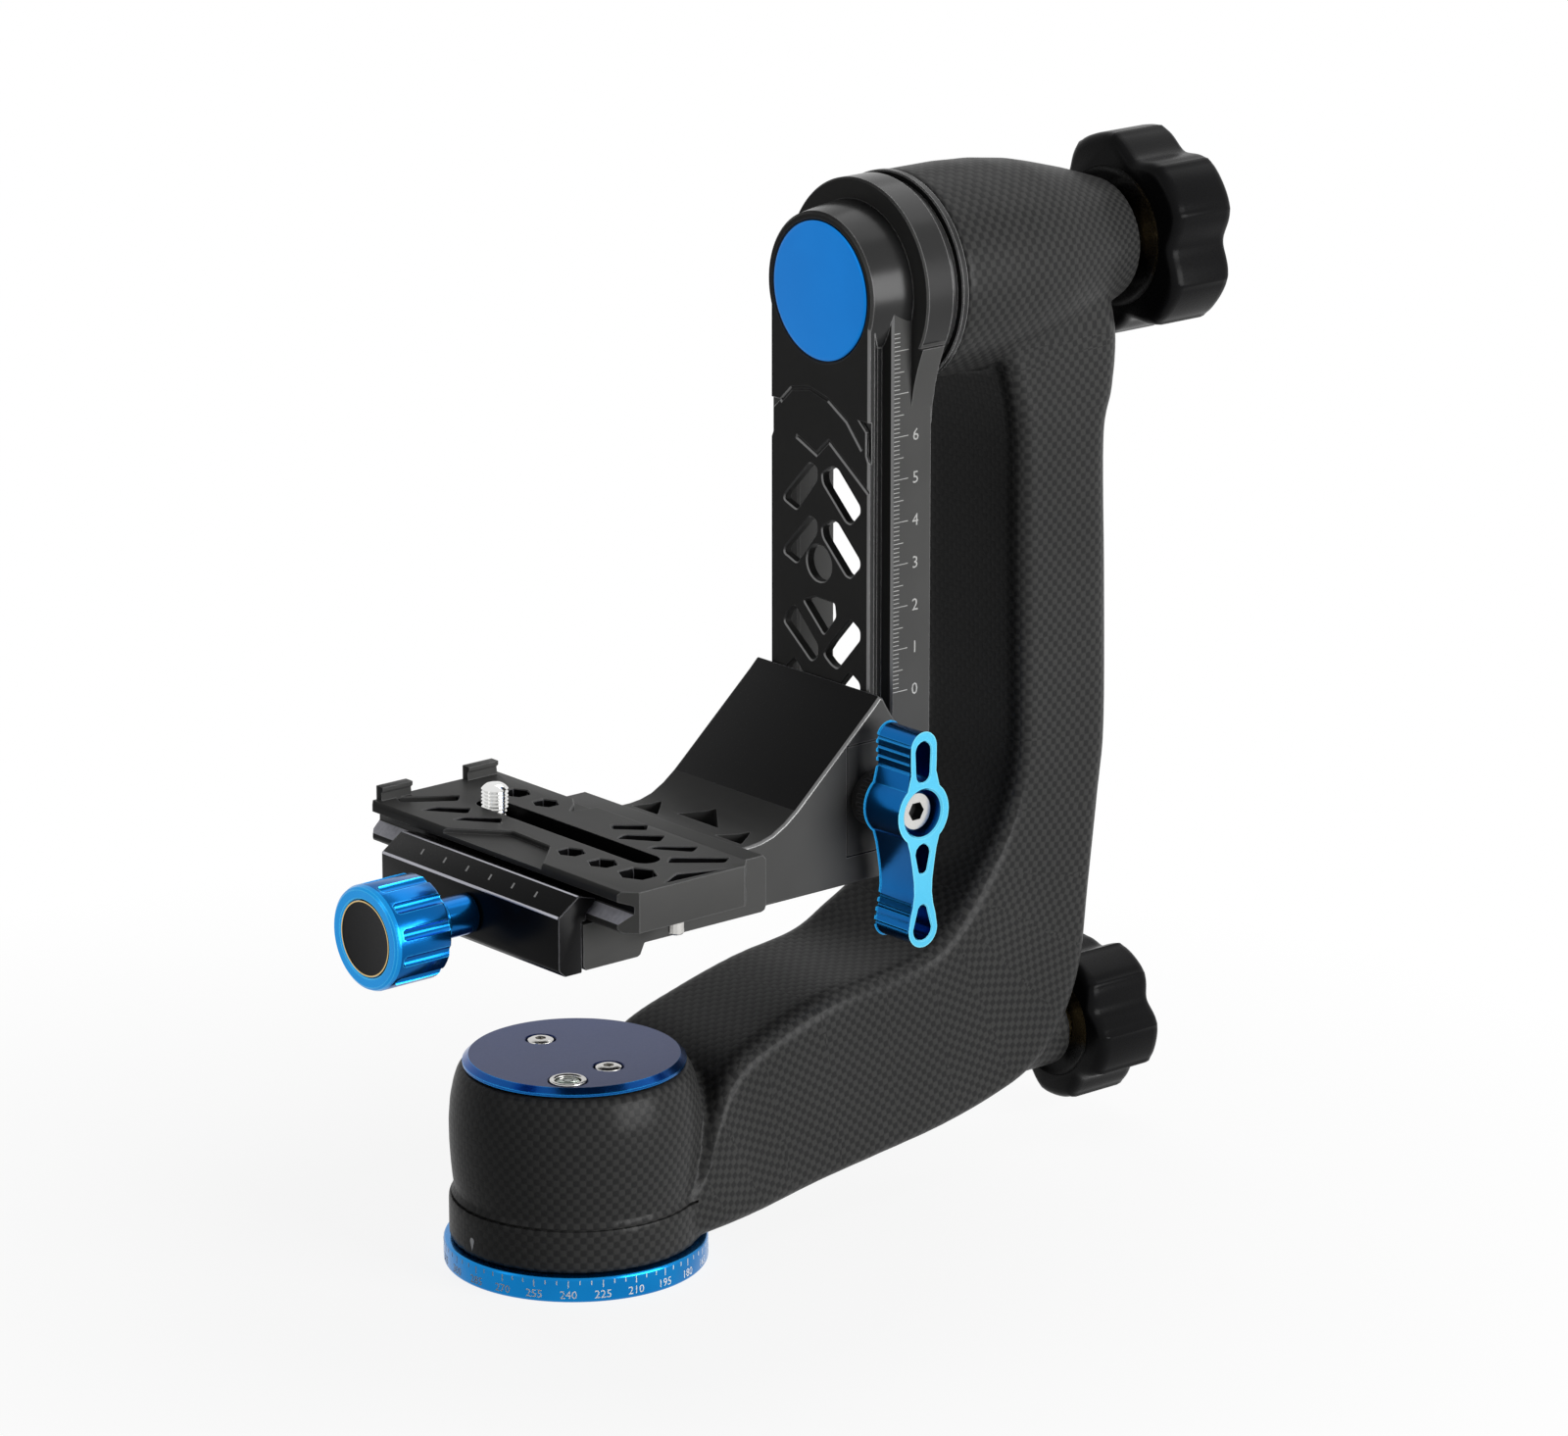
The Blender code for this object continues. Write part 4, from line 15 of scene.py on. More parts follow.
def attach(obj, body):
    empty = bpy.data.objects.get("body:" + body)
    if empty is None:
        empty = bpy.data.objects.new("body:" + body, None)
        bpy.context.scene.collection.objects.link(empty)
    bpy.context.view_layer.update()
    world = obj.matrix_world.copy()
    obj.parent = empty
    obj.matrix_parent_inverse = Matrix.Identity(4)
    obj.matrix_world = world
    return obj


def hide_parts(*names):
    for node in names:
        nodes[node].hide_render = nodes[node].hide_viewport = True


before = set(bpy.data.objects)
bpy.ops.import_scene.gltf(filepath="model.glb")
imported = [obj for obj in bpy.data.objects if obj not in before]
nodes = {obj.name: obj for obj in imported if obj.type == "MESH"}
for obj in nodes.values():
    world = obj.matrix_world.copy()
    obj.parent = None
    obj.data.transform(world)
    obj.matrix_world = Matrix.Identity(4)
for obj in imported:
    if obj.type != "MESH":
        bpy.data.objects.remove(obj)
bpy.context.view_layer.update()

# The foot is a turned disc of black anodised aluminium. It stands on the tripod,
# a steel bush in it takes the tripod's stud, and three screws hold the spindle.
MM = 0.001
TINY = 0.001
AXES = {"X": Vector((1, 0, 0)), "Y": Vector((0, 1, 0)), "Z": Vector((0, 0, 1))}
collection = bpy.context.scene.collection


def spun(outline, axis, centre=(0, 0, 0), steps=96):
    """Spin (distance along, radius) points round an axis into a closed skin."""
    along = AXES[axis]
    out = AXES["Z"] if axis == "X" else AXES["X"]
    shape = bmesh.new()
    solid = outline[0][1] == 0 and outline[-1][1] == 0
    profile = outline[1:-1] if solid else outline
    verts = [shape.verts.new(Vector(centre) + along * a + out * r) for a, r in profile]
    edges = [shape.edges.new(pair) for pair in zip(verts, verts[1:])]
    if not solid:
        edges.append(shape.edges.new((verts[-1], verts[0])))
    bmesh.ops.spin(shape, geom=verts + edges, cent=centre, axis=along, angle=math.tau,
                   steps=steps, use_merge=True)
    bmesh.ops.remove_doubles(shape, verts=shape.verts, dist=TINY)
    if solid:
        rims = [edge for edge in shape.edges if edge.is_boundary]
        bmesh.ops.holes_fill(shape, edges=rims, sides=0)
    bmesh.ops.recalc_face_normals(shape, faces=shape.faces)
    return shape


def bevelled(shape, edges, width, segments):
    """Round some edges of a shape."""
    bmesh.ops.bevel(shape, geom=edges, offset=width, offset_type="OFFSET", segments=segments,
                    profile=0.5, affect="EDGES", material=-1, clamp_overlap=True)
    return shape


def softened(shape, width, segments=2, angle=30):
    """Round every edge that turns by more than an angle."""
    return bevelled(shape, [edge for edge in shape.edges if len(edge.link_faces) == 2
                            and edge.calc_face_angle() > math.radians(angle)], width, segments)


def rod(radius, axis, centre, start, end, steps=48):
    """A round bar or a drill between two distances along an axis."""
    return spun([(start, 0), (start, radius), (end, radius), (end, 0)], axis, centre, steps)


def around(centre, radius, count, first_deg=0.0):
    """Flat points spaced evenly round a circle."""
    turns = [math.radians(first_deg) + math.tau * n / count for n in range(count)]
    return [(centre[0] + radius * math.cos(turn), centre[1] + radius * math.sin(turn))
            for turn in turns]


def mesh_of(shape, name="loose"):
    """A bmesh turned into a mesh."""
    mesh = bpy.data.meshes.new(name)
    shape.to_mesh(mesh)
    shape.free()
    return mesh


def linked(data, name="loose"):
    """A mesh, curve, lamp or camera as an object in the scene."""
    thing = bpy.data.objects.new(name, data)
    collection.objects.link(thing)
    return thing


def gathered(shapes):
    """Several shapes in one bmesh."""
    whole = bmesh.new()
    for shape in shapes:
        mesh = mesh_of(shape)
        whole.from_mesh(mesh)
        bpy.data.meshes.remove(mesh)
    return whole


def loose(shape):
    """A bmesh as an object that is only worked on and then removed."""
    return linked(mesh_of(shape))


def settled(thing):
    """An object's shape with its modifiers applied, as a bmesh, and the object removed."""
    mesh = bpy.data.meshes.new_from_object(
        thing.evaluated_get(bpy.context.evaluated_depsgraph_get()))
    shape = bmesh.new()
    shape.from_mesh(mesh)
    bpy.data.objects.remove(thing)
    bpy.data.meshes.remove(mesh)
    return shape


def worked(shape, tools, operation):
    """Join tool shapes to a shape or cut them out of it, one after another."""
    whole = loose(shape)
    guides = [loose(tool) for tool in tools]
    for guide in guides:
        step = whole.modifiers.new("work", "BOOLEAN")
        step.operation = operation
        step.solver = "EXACT"
        step.object = guide
    result = settled(whole)
    for guide in guides:
        bpy.data.objects.remove(guide)
    return result


def cut(shape, *tools):
    """Cut tools out of a shape."""
    return worked(shape, tools, "DIFFERENCE")


def joined(shape, *tools):
    """Unite a shape with others."""
    return worked(shape, tools, "UNION")


def made(name, shape, finish, slot, body, *replaced, sharp=32, clean=True):
    """Turn a shape in millimetres into a finished piece on a body."""
    if clean:
        bmesh.ops.remove_doubles(shape, verts=shape.verts, dist=TINY)
        bmesh.ops.recalc_face_normals(shape, faces=shape.faces)
    bmesh.ops.scale(shape, vec=(MM, MM, MM), verts=shape.verts)
    mesh = mesh_of(shape, name)
    mesh.shade_smooth()
    mesh.set_sharp_from_angle(angle=math.radians(sharp))
    mesh.materials.append(finish)
    piece = linked(mesh, name)
    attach(piece, body)
    if replaced:
        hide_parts(*replaced)
    return piece


def dressed(finish, *names):
    """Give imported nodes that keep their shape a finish."""
    for name in names:
        slots = nodes[name].data.materials
        slots.clear()
        slots.append(finish)


def new_group(name, inputs, outputs):
    """An empty shader group with named sockets, and its two end nodes."""
    group = bpy.data.node_groups.new(name, "ShaderNodeTree")
    for label, kind, value in inputs:
        socket = group.interface.new_socket(name=label, in_out="INPUT", socket_type=kind)
        if value is not None:
            socket.default_value = value
    for label, kind in outputs:
        group.interface.new_socket(name=label, in_out="OUTPUT", socket_type=kind)
    return group, group.nodes.new("NodeGroupInput"), group.nodes.new("NodeGroupOutput")


def fed(tree, node, inputs):
    """Feed a node's inputs, by name or place, with sockets, colours or plain numbers."""
    for label, value in inputs.items():
        if isinstance(value, bpy.types.NodeSocket):
            tree.links.new(value, node.inputs[label])
        else:
            node.inputs[label].default_value = (*value, 1) if isinstance(value, tuple) else value
    return node


def math_node(tree, operation, *values):
    """A Math node fed with sockets or plain numbers."""
    node = tree.nodes.new("ShaderNodeMath")
    node.operation = operation
    return fed(tree, node, dict(enumerate(values))).outputs[0]


def grain_group():
    """Fine cast or blasted grain with slow drifts of tone, as masks and a height."""
    group, start, end = new_group(
        "fine_grain",
        [("Vector", "NodeSocketVector", None), ("Scale", "NodeSocketFloat", 1.0)],
        [("Tone", "NodeSocketFloat"), ("Speck", "NodeSocketFloat"), ("Height", "NodeSocketFloat")])
    for label, density, detail in (("Tone", 60.0, 3.0), ("Speck", 2600.0, 2.0),
                                   ("Height", 1500.0, 4.0)):
        noise = fed(group, group.nodes.new("ShaderNodeTexNoise"), {
            "Vector": start.outputs["Vector"], "Detail": detail,
            "Scale": math_node(group, "MULTIPLY", start.outputs["Scale"], density)})
        fed(group, end, {label: noise.outputs["Fac"]})
    return group


fine_grain = grain_group()


def grain_in(tree, place, scale):
    """The fine grain set in a material, on its object coordinates."""
    grain = tree.nodes.new("ShaderNodeGroup")
    grain.node_tree = fine_grain
    return fed(tree, grain, {"Vector": place, "Scale": scale})


def mixed(tree, factor, first, second, way="MIX"):
    """A colour made of two, by a mask or a share."""
    node = tree.nodes.new("ShaderNodeMix")
    node.data_type = "RGBA"
    node.blend_type = way
    return fed(tree, node, {"Factor": factor, "A": first, "B": second}).outputs["Result"]


def spread(tree, value, low, high):
    """A mask from 0 to 1 stretched to a range."""
    return fed(tree, tree.nodes.new("ShaderNodeMapRange"), {
        "Value": value, "To Min": low, "To Max": high}).outputs["Result"]


def relief(tree, height, distance):
    """A normal that leans with a height."""
    return fed(tree, tree.nodes.new("ShaderNodeBump"), {
        "Height": height, "Distance": distance}).outputs["Normal"]


def bare_material(name):
    """A node material with its shader and its object coordinates."""
    material = bpy.data.materials.new(name)
    material.use_nodes = True
    tree = material.node_tree
    place = tree.nodes.new("ShaderNodeTexCoord")
    return material, tree, tree.nodes["Principled BSDF"], place.outputs["Object"]


# Where the rounded normal turns from the true one, the colour is lightened as a painted edge highlight.
EDGE_START, EDGE_GAIN = 0.985, 12.0


def edge_group():
    """A mask that is 1 along the outer edges of a machined part, where a painted highlight lightens the
    finish.
    """
    group, start, end = new_group("painted_edge_highlights", [("Spread", "NodeSocketFloat", 0.0004)],
                                  [("Edge", "NodeSocketFloat")])
    bevel = group.nodes.new("ShaderNodeBevel")
    bevel.samples = 4
    here = group.nodes.new("ShaderNodeNewGeometry")
    facing = group.nodes.new("ShaderNodeVectorMath")
    facing.operation = "DOT_PRODUCT"
    fed(group, bevel, {"Radius": start.outputs["Spread"]})
    fed(group, facing, {0: bevel.outputs["Normal"], 1: here.outputs["Normal"]})
    turn = math_node(group, "SUBTRACT", EDGE_START, facing.outputs["Value"])
    fed(group, end, {"Edge": math_node(group, "MULTIPLY", turn, EDGE_GAIN)})
    return group


painted_edge_highlights = edge_group()


def grained(name, dark, light, roughness, metallic=0.0, specular=0.5, bump=0.00001, scale=1.0,
            edge_highlight=None):
    """A finish with fine grain: two near tones, uneven gloss, a slight tooth, and a painted highlight
    along edges if asked.
    """
    material, tree, shader, place = bare_material(name)
    grain = grain_in(tree, place, scale)
    colour = mixed(tree, grain.outputs["Tone"], dark, light)
    # The edge mask lightens the colour along the edges: a painted highlight.
    if edge_highlight:
        edges = tree.nodes.new("ShaderNodeGroup")
        edges.node_tree = painted_edge_highlights
        colour = mixed(tree, edges.outputs["Edge"], colour, edge_highlight)
    fed(tree, shader, {
        "Base Color": colour, "Metallic": metallic, "Specular IOR Level": specular,
        "Roughness": spread(tree, grain.outputs["Speck"], roughness * 0.85, roughness * 1.15),
        "Normal": relief(tree, grain.outputs["Height"], bump)})
    return material


black_anodised = grained("black_anodised", (0.012, 0.012, 0.0125), (0.020, 0.020, 0.021), 0.35,
                         specular=0.12, bump=0.000006)
steel = grained("stainless_steel", (0.50, 0.49, 0.47), (0.66, 0.65, 0.63), 0.24, metallic=1.0)

FOOT_HEIGHT, FOOT_RADIUS, FOOT_BORE = 5.6, 24.7, 8.06
FOOT_GROOVE = ((0.0, 22.6), (0.5, 22.4), (0.5, 20.4), (0.0, 20.2))
SCREW_CIRCLE, POCKET_DEPTH, POCKET_RADIUS, DRILL_RADIUS = 14.0, 2.2, 3.1, 1.8
foot = softened(spun([(0, FOOT_BORE), (FOOT_HEIGHT, FOOT_BORE), (FOOT_HEIGHT, FOOT_RADIUS),
                      (0.0, FOOT_RADIUS), *FOOT_GROOVE], "Z"), 0.25)
foot_spots = [(x, y, 0) for x, y in around((0, 0), SCREW_CIRCLE, 3, 90)]
SCREW_POCKET = [(-1, 0), (-1, POCKET_RADIUS), (POCKET_DEPTH, POCKET_RADIUS),
                (POCKET_DEPTH, DRILL_RADIUS), (7, DRILL_RADIUS), (7, 0)]
foot = cut(foot, *[spun(SCREW_POCKET, "Z", spot, 32) for spot in foot_spots])
made("turned_foot", foot, black_anodised, "black_aluminium", "base", "base_plate")

BUSH_TOP, BUSH_RADIUS, STUD_RADIUS, STUD_PITCH, STUD_DEPTH = 12.5, 7.76, 4.76, 1.58, 0.55
bush = [(0.3, BUSH_RADIUS), (BUSH_TOP, BUSH_RADIUS)]
bush += [(BUSH_TOP - n * STUD_PITCH / 2, STUD_RADIUS + STUD_DEPTH * (n % 2)) for n in range(16)]
made("tripod_thread_bush", spun(bush, "Z"), steel, "stainless", "base", "thread_insert")

FOOT_SCREW = [(0.3, 0), (0.3, 2.8), (1.9, 2.8), (1.9, 1.5), (8.8, 1.5), (8.8, 0)]
for n, spot in enumerate(foot_spots, 1):
    screw = softened(spun(FOOT_SCREW, "Z", spot, 32), 0.2)
    socket = rod(1.5, "Z", spot, -1, 1.2, 6)
    made(f"foot_screw_{n}", cut(screw, socket), steel, "stainless", "base", f"base_screw_{n}")

# The degree dial is a blue anodised ring pressed on the foot. White ticks every
# five degrees hang from its top edge, and each fifteenth degree has its number.
DIAL_OUT, DIAL_TOP, DIAL_INNER = 30.2, 5.87, 25.0
DIAL_ZERO_DEG, TICK_EVERY, NUMBER_EVERY = 108, 5, 15
TICK_TOP, TICK_WIDTH, TICK_SHORT, TICK_LONG, PRINT_PROUD = 5.25, 0.24, 1.0, 1.7, 0.03
NUMBER_SIZE, NUMBER_BASE = 2.7, 1.0
white_print = grained("white_print", (0.68, 0.70, 0.72), (0.80, 0.81, 0.82), 0.5)
dial_blue = grained("dial_blue", (0.004, 0.150, 0.440), (0.008, 0.250, 0.620), 0.22,
                    metallic=0.95, specular=0.3, edge_highlight=(0.030, 0.420, 0.860))
dial = spun([(0, DIAL_INNER), (DIAL_TOP, DIAL_INNER), (DIAL_TOP, 29.9), (5.3, DIAL_OUT),
             (0.5, DIAL_OUT), (0, 29.8)], "Z", steps=192)
made("degree_dial", softened(dial, 0.15, 2, 20), dial_blue, "blue_aluminium", "base", "pan_dial")


def lettering(words, size, thickness):
    """Plain figures as a closed shape, centred on x, standing on y = 0 and facing +z."""
    curve = bpy.data.curves.new("figures", "FONT")
    curve.body = words
    curve.size = size
    curve.align_x = "CENTER"
    curve.extrude = thickness / 2
    curve.resolution_u = 2
    shape = settled(linked(curve))
    bpy.data.curves.remove(curve)
    bmesh.ops.remove_doubles(shape, verts=shape.verts, dist=TINY)
    return shape


def box(low, high):
    """A block between two corners."""
    low, high = Vector(low), Vector(high)
    shape = bmesh.new()
    bmesh.ops.create_cube(shape, size=1)
    bmesh.ops.scale(shape, verts=shape.verts, vec=high - low)
    bmesh.ops.translate(shape, verts=shape.verts, vec=(low + high) / 2)
    return shape


def wrapped(shape, radius, turn_deg):
    """Bend a flat shape (x across, y up, z out) round the pan axis at an angle."""
    for vert in shape.verts:
        turn = math.radians(turn_deg) + vert.co.x / radius
        out = radius + vert.co.z
        vert.co = (out * math.cos(turn), out * math.sin(turn), vert.co.y)
    return shape


dial_ticks, dial_numbers = [], []
for degree in range(0, 360, TICK_EVERY):
    numbered = degree % NUMBER_EVERY == 0
    drop = TICK_LONG if numbered else TICK_SHORT
    tick = box((-TICK_WIDTH / 2, TICK_TOP - drop, -PRINT_PROUD),
               (TICK_WIDTH / 2, TICK_TOP, PRINT_PROUD))
    dial_ticks.append(wrapped(tick, DIAL_OUT, DIAL_ZERO_DEG - degree))
    if numbered:
        figures = lettering(str(degree), NUMBER_SIZE, PRINT_PROUD * 2)
        bmesh.ops.translate(figures, verts=figures.verts, vec=(0, NUMBER_BASE, 0))
        dial_numbers.append(wrapped(figures, DIAL_OUT, DIAL_ZERO_DEG - degree))
made("dial_ticks", gathered(dial_ticks), white_print, "blue_aluminium", "base")
made("dial_numbers", gathered(dial_numbers), white_print, "blue_aluminium", "base")

# The spindle stands on the foot, and the nut on its stub keeps the arm down. Both
# are turned from steel and sit inside the barrel.
dressed(steel, "pan_spindle", "pan_nut")

# The arm is moulded carbon under satin lacquer, one shell from the pan barrel
# through the swept beam and upright to the tilt housing. Its weave follows it.
ARM_STATIONS = (
    (4, 17.5, 4, 6.45, 25.5, 0), (16, 22, 16, 6.45, 25.2, 0), (22, 34, 27, 6.6, 24.2, 0),
    (30, 44.5, 40, 7.1, 22.3, 0), (44.5, 50.4, 56, 9.0, 21.0, 0), (62, 54.9, 76, 11.2, 20.4, 0),
    (80, 56.6, 95, 13.4, 20.0, 1), (91, 58.6, 112, 16.9, 19.6, 4),
    (99.5, 64, 127.5, 22.2, 19.2, 3.5), (107.5, 73, 136.8, 30.5, 18.9, 1.5),
    (114, 82.5, 142, 42, 18.6, 0), (118.3, 93, 144.5, 60, 18.5, 0),
    (119.8, 104, 147.9, 84, 18.5, 0), (119.6, 120, 149.8, 102, 18.5, 0),
    (119.2, 150, 149.5, 140, 18.5, 0), (118.8, 175, 148.9, 172, 18.5, 0),
    (116, 190, 151.8, 183, 18.0, 0), (112, 203, 153, 198, 17.4, 0), (110, 216, 148, 216, 16.5, 0),
)
TILT_Z, LOCK_Z = 214.8, 23.7
TILT_LINE, LOCK_LINE = (0, 0, TILT_Z), (0, 0, LOCK_Z)
INNER_CORNER, BEAM_CORNER, UPRIGHT_CORNER = 4.6, 4.6, 8.5
UPRIGHT_START, UPRIGHT_BLEND = 95, 15
CORNER_STEPS, STATION_STEPS = 6, 5
COLLAR_RADIUS = 28.9
SEAM_LOW, SEAM_HIGH, SEAM_FLOOR = 16.2, 16.8, 27.9
ARM_VOXEL = 0.95


def arm_ring(station):
    """One section of the arm, rounded more on the upright's back than on the beam.

    A station holds the x and z of its inner edge, those of its outer edge, half its
    width, and how far its far inner corner stands out.
    """
    inner_x, inner_z, outer_x, outer_z, half, far_rise = station
    inner, outer = Vector((inner_x, 0, inner_z)), Vector((outer_x, 0, outer_z))
    depth = (outer - inner).length
    ahead = (outer - inner).normalized()
    upright = min(max((inner_x - UPRIGHT_START) / UPRIGHT_BLEND, 0), 1)
    outer_corner = BEAM_CORNER + (UPRIGHT_CORNER - BEAM_CORNER) * upright
    points = []
    for radius, along, side, first_deg in ((INNER_CORNER, 0, -1, 180), (outer_corner, 1, -1, 270),
                                           (outer_corner, 1, 1, 0), (INNER_CORNER, 0, 1, 90)):
        radius = min(radius, depth * 0.45, half * 0.9)
        centre = (radius if along == 0 else depth - radius, side * (half - radius))
        lift = far_rise if (along, side) == (0, 1) else 0
        for n in range(CORNER_STEPS + 1):
            turn = math.radians(first_deg + 90 * n / CORNER_STEPS)
            a = centre[0] + radius * math.cos(turn) - lift
            b = centre[1] + radius * math.sin(turn)
            points.append(inner + ahead * a + AXES["Y"] * b)
    return points


def bridged(rings):
    """Closed rings of points bridged in turn and closed at both ends."""
    shape = bmesh.new()
    loops = []
    for ring in rings:
        verts = [shape.verts.new(point) for point in ring]
        loops.append([shape.edges.new(pair) for pair in zip(verts, verts[1:] + verts[:1])])
    for first, second in zip(loops, loops[1:]):
        bmesh.ops.bridge_loops(shape, edges=first + second)
    for end in (loops[0], loops[-1]):
        bmesh.ops.contextual_create(shape, geom=end)
    bmesh.ops.recalc_face_normals(shape, faces=shape.faces)
    return shape


def between(before, first, second, after, share):
    """A station between two others on a smooth curve through all four."""
    def blend(a, b, c, d):
        return b + 0.5 * share * (c - a + share * (2 * a - 5 * b + 4 * c - d
                                                  + share * (3 * (b - c) + d - a)))
    return tuple(blend(*values) for values in zip(before, first, second, after))


stations = []
padded = (ARM_STATIONS[0], *ARM_STATIONS, ARM_STATIONS[-1])
for before, first, second, after in zip(padded, padded[1:], padded[2:], padded[3:]):
    stations += [between(before, first, second, after, n / STATION_STEPS)
                 for n in range(STATION_STEPS)]
stations.append(ARM_STATIONS[-1])
barrel = spun([(6.2, 0), (6.2, 28.5), (6.6, COLLAR_RADIUS), (16.1, COLLAR_RADIUS), (16.9, 28.1),
               (17.1, 27.5), (17.8, 27.5), (19.5, 27.9), (24, 28.35), (29, 28.65), (34, 28.7),
               (39, 28.3), (43, 27.5), (45.4, 26.7), (46.4, 26.1), (46.6, 25.7), (46.6, 0)], "Z",
              steps=120)
housing = spun([(96.5, 0), (96.5, 24.1), (97.0, 24.5), (112, 24.5), (116.7, 24.2), (121, 24.0),
                (126.7, 23.2), (131, 22.6), (136.8, 21.2), (146.9, 18.4), (155.1, 15.7),
                (158.8, 14.4), (159.4, 14.0), (159.5, 13.4), (159.5, 0)], "X", TILT_LINE, 120)
lock_boss = spun([(112, 0), (112, 9.5), (144.2, 9.5), (144.9, 8.8), (144.9, 0)], "X", LOCK_LINE, 64)
barrel_bore = rod(22.0, "Z", (0, 0, 0), -2, 60, 96)
housing_bore = spun([(90, 0), (90, 20.3), (112, 20.3), (112, 14.2), (146, 14.2), (146, 8.3),
                     (170, 8.3), (170, 0)], "X", TILT_LINE, 64)
rod_bore = rod(3.6, "X", LOCK_LINE, 10, 150, 24)
lock_bush_bore = rod(6.5, "X", LOCK_LINE, 115, 150, 32)
arm = joined(bridged([arm_ring(station) for station in stations]), barrel, housing, lock_boss)
arm = loose(cut(arm, barrel_bore, housing_bore, rod_bore, lock_bush_bore))
grid = arm.modifiers.new("even_faces", "REMESH")
grid.mode = "VOXEL"
grid.voxel_size = ARM_VOXEL
ease = arm.modifiers.new("ease", "SMOOTH")
ease.factor = 0.5
ease.iterations = 3
seam = spun([(SEAM_LOW, SEAM_FLOOR), (SEAM_HIGH, SEAM_FLOOR), (SEAM_HIGH, COLLAR_RADIUS + 0.7),
             (SEAM_LOW, COLLAR_RADIUS + 0.7)], "Z")
arm = cut(settled(arm), seam)

BARREL_REACH, BARREL_TOP, BARREL_WRAP = 29.3, 47.5, 28.5
HOUSING_REACH, HOUSING_START, HOUSING_WRAP = 24.9, 90, 22.0
FLANK_SLOPE = 0.64
CLOTH_CELL, THREAD_CONTRAST = 0.0015, 1.6


def turn_near(up, across, middle_up):
    """An angle round an axis, on the same side of the cloth's seam as its face's middle."""
    turn = math.atan2(up, across)
    if middle_up < 0 and turn > 2 or middle_up > 0 and turn < -2:
        turn -= math.copysign(math.tau, turn)
    return turn


def weave_places(shape):
    """Lay the cloth on the arm: round the barrel and housing, and along the beam."""
    layer = shape.loops.layers.uv.new("weave")
    line = [Vector(((s[0] + s[2]) / 2, (s[1] + s[3]) / 2)) for s in ARM_STATIONS]
    reach = [0.0]
    for first, second in zip(line, line[1:]):
        reach.append(reach[-1] + (second - first).length)
    for face in shape.faces:
        middle = face.calc_center_median()
        rise = middle.z - TILT_Z
        on_barrel = math.hypot(middle.x, middle.y) < BARREL_REACH and middle.z < BARREL_TOP
        on_housing = math.hypot(middle.y, rise) < HOUSING_REACH and middle.x > HOUSING_START
        on_flank = abs(face.normal.y) > FLANK_SLOPE
        nearest = min(range(len(line)), key=lambda n: (line[n].x - middle.x) ** 2
                      + (line[n].y - middle.z) ** 2)
        nearest = min(max(nearest, 1), len(line) - 2)
        heading = (line[nearest + 1] - line[nearest - 1]).normalized()
        for loop in face.loops:
            co = loop.vert.co
            if on_barrel:
                spot = (turn_near(co.y, co.x, middle.y) * BARREL_WRAP, co.z)
            elif on_housing:
                spot = (turn_near(co.z - TILT_Z, -co.y, rise) * HOUSING_WRAP, co.x)
            else:
                away = Vector((co.x, co.z)) - line[nearest]
                along = reach[nearest] + away.dot(heading)
                across = away.x * heading.y - away.y * heading.x
                spot = (across, along) if on_flank else (co.y, along)
            loop[layer].uv = (spot[0] * MM, spot[1] * MM)
    return shape


def weave_group():
    """A plain weave set cornerwise: which way each thread runs, its crown and its gaps."""
    group, start, end = new_group(
        "carbon_weave",
        [("Vector", "NodeSocketVector", None), ("Cell", "NodeSocketFloat", CLOTH_CELL)],
        [("Thread", "NodeSocketFloat"), ("Crown", "NodeSocketFloat"), ("Height", "NodeSocketFloat")])
    split = fed(group, group.nodes.new("ShaderNodeSeparateXYZ"), {0: start.outputs["Vector"]})
    pace = math_node(group, "DIVIDE", math.pi, start.outputs["Cell"])
    p, q = (math_node(group, "SINE", math_node(group, "MULTIPLY", split.outputs[axis], pace))
            for axis in ("X", "Y"))
    product = math_node(group, "MULTIPLY", p, q)
    crown = math_node(group, "ABSOLUTE", product)
    over = math_node(group, "MULTIPLY_ADD", product, THREAD_CONTRAST, 0.5)
    over = math_node(group, "MINIMUM", math_node(group, "MAXIMUM", over, 0.0), 1.0)
    fed(group, end, {"Thread": over, "Crown": crown, "Height": math_node(group, "SQRT", crown)})
    return group


def carbon_material():
    """Lacquered carbon cloth: threads of two tones, duller gaps and a slight relief."""
    material, tree, shader, place = bare_material("carbon_cloth")
    cloth = tree.nodes.new("ShaderNodeUVMap")
    cloth.uv_map = "weave"
    weave = tree.nodes.new("ShaderNodeGroup")
    weave.node_tree = weave_group()
    fed(tree, weave, {"Vector": cloth.outputs["UV"], "Cell": CLOTH_CELL})
    grain = grain_in(tree, place, 0.5)
    threads = mixed(tree, weave.outputs["Thread"], (0.028, 0.028, 0.0282), (0.054, 0.054, 0.0528))
    fed(tree, shader, {
        "Base Color": mixed(tree, 0.3, threads, grain.outputs["Tone"], "MULTIPLY"),
        "Roughness": spread(tree, weave.outputs["Crown"], 0.46, 0.36),
        "Specular IOR Level": 0.03, "Coat Weight": 0.10, "Coat Roughness": 0.22,
        "Normal": relief(tree, weave.outputs["Height"], 0.00004)})
    return material


carbon_cloth = carbon_material()
made("carbon_shell", weave_places(arm), carbon_cloth, "carbon", "arm", "carbon_arm", sharp=50,
     clean=False)

# A white drop, printed on the barrel's collar with its tip down, points at the
# dial's reading.
INDEX_DEG, INDEX_Z, INDEX_SUNK, INDEX_PROUD = 177.2, 9.4, 0.3, 0.04


def arc(centre, radius, start_deg, end_deg, steps=8):
    """Points round part of a circle."""
    turns = [math.radians(start_deg + (end_deg - start_deg) * n / steps) for n in range(steps + 1)]
    return [(centre[0] + radius * math.cos(turn), centre[1] + radius * math.sin(turn))
            for turn in turns]


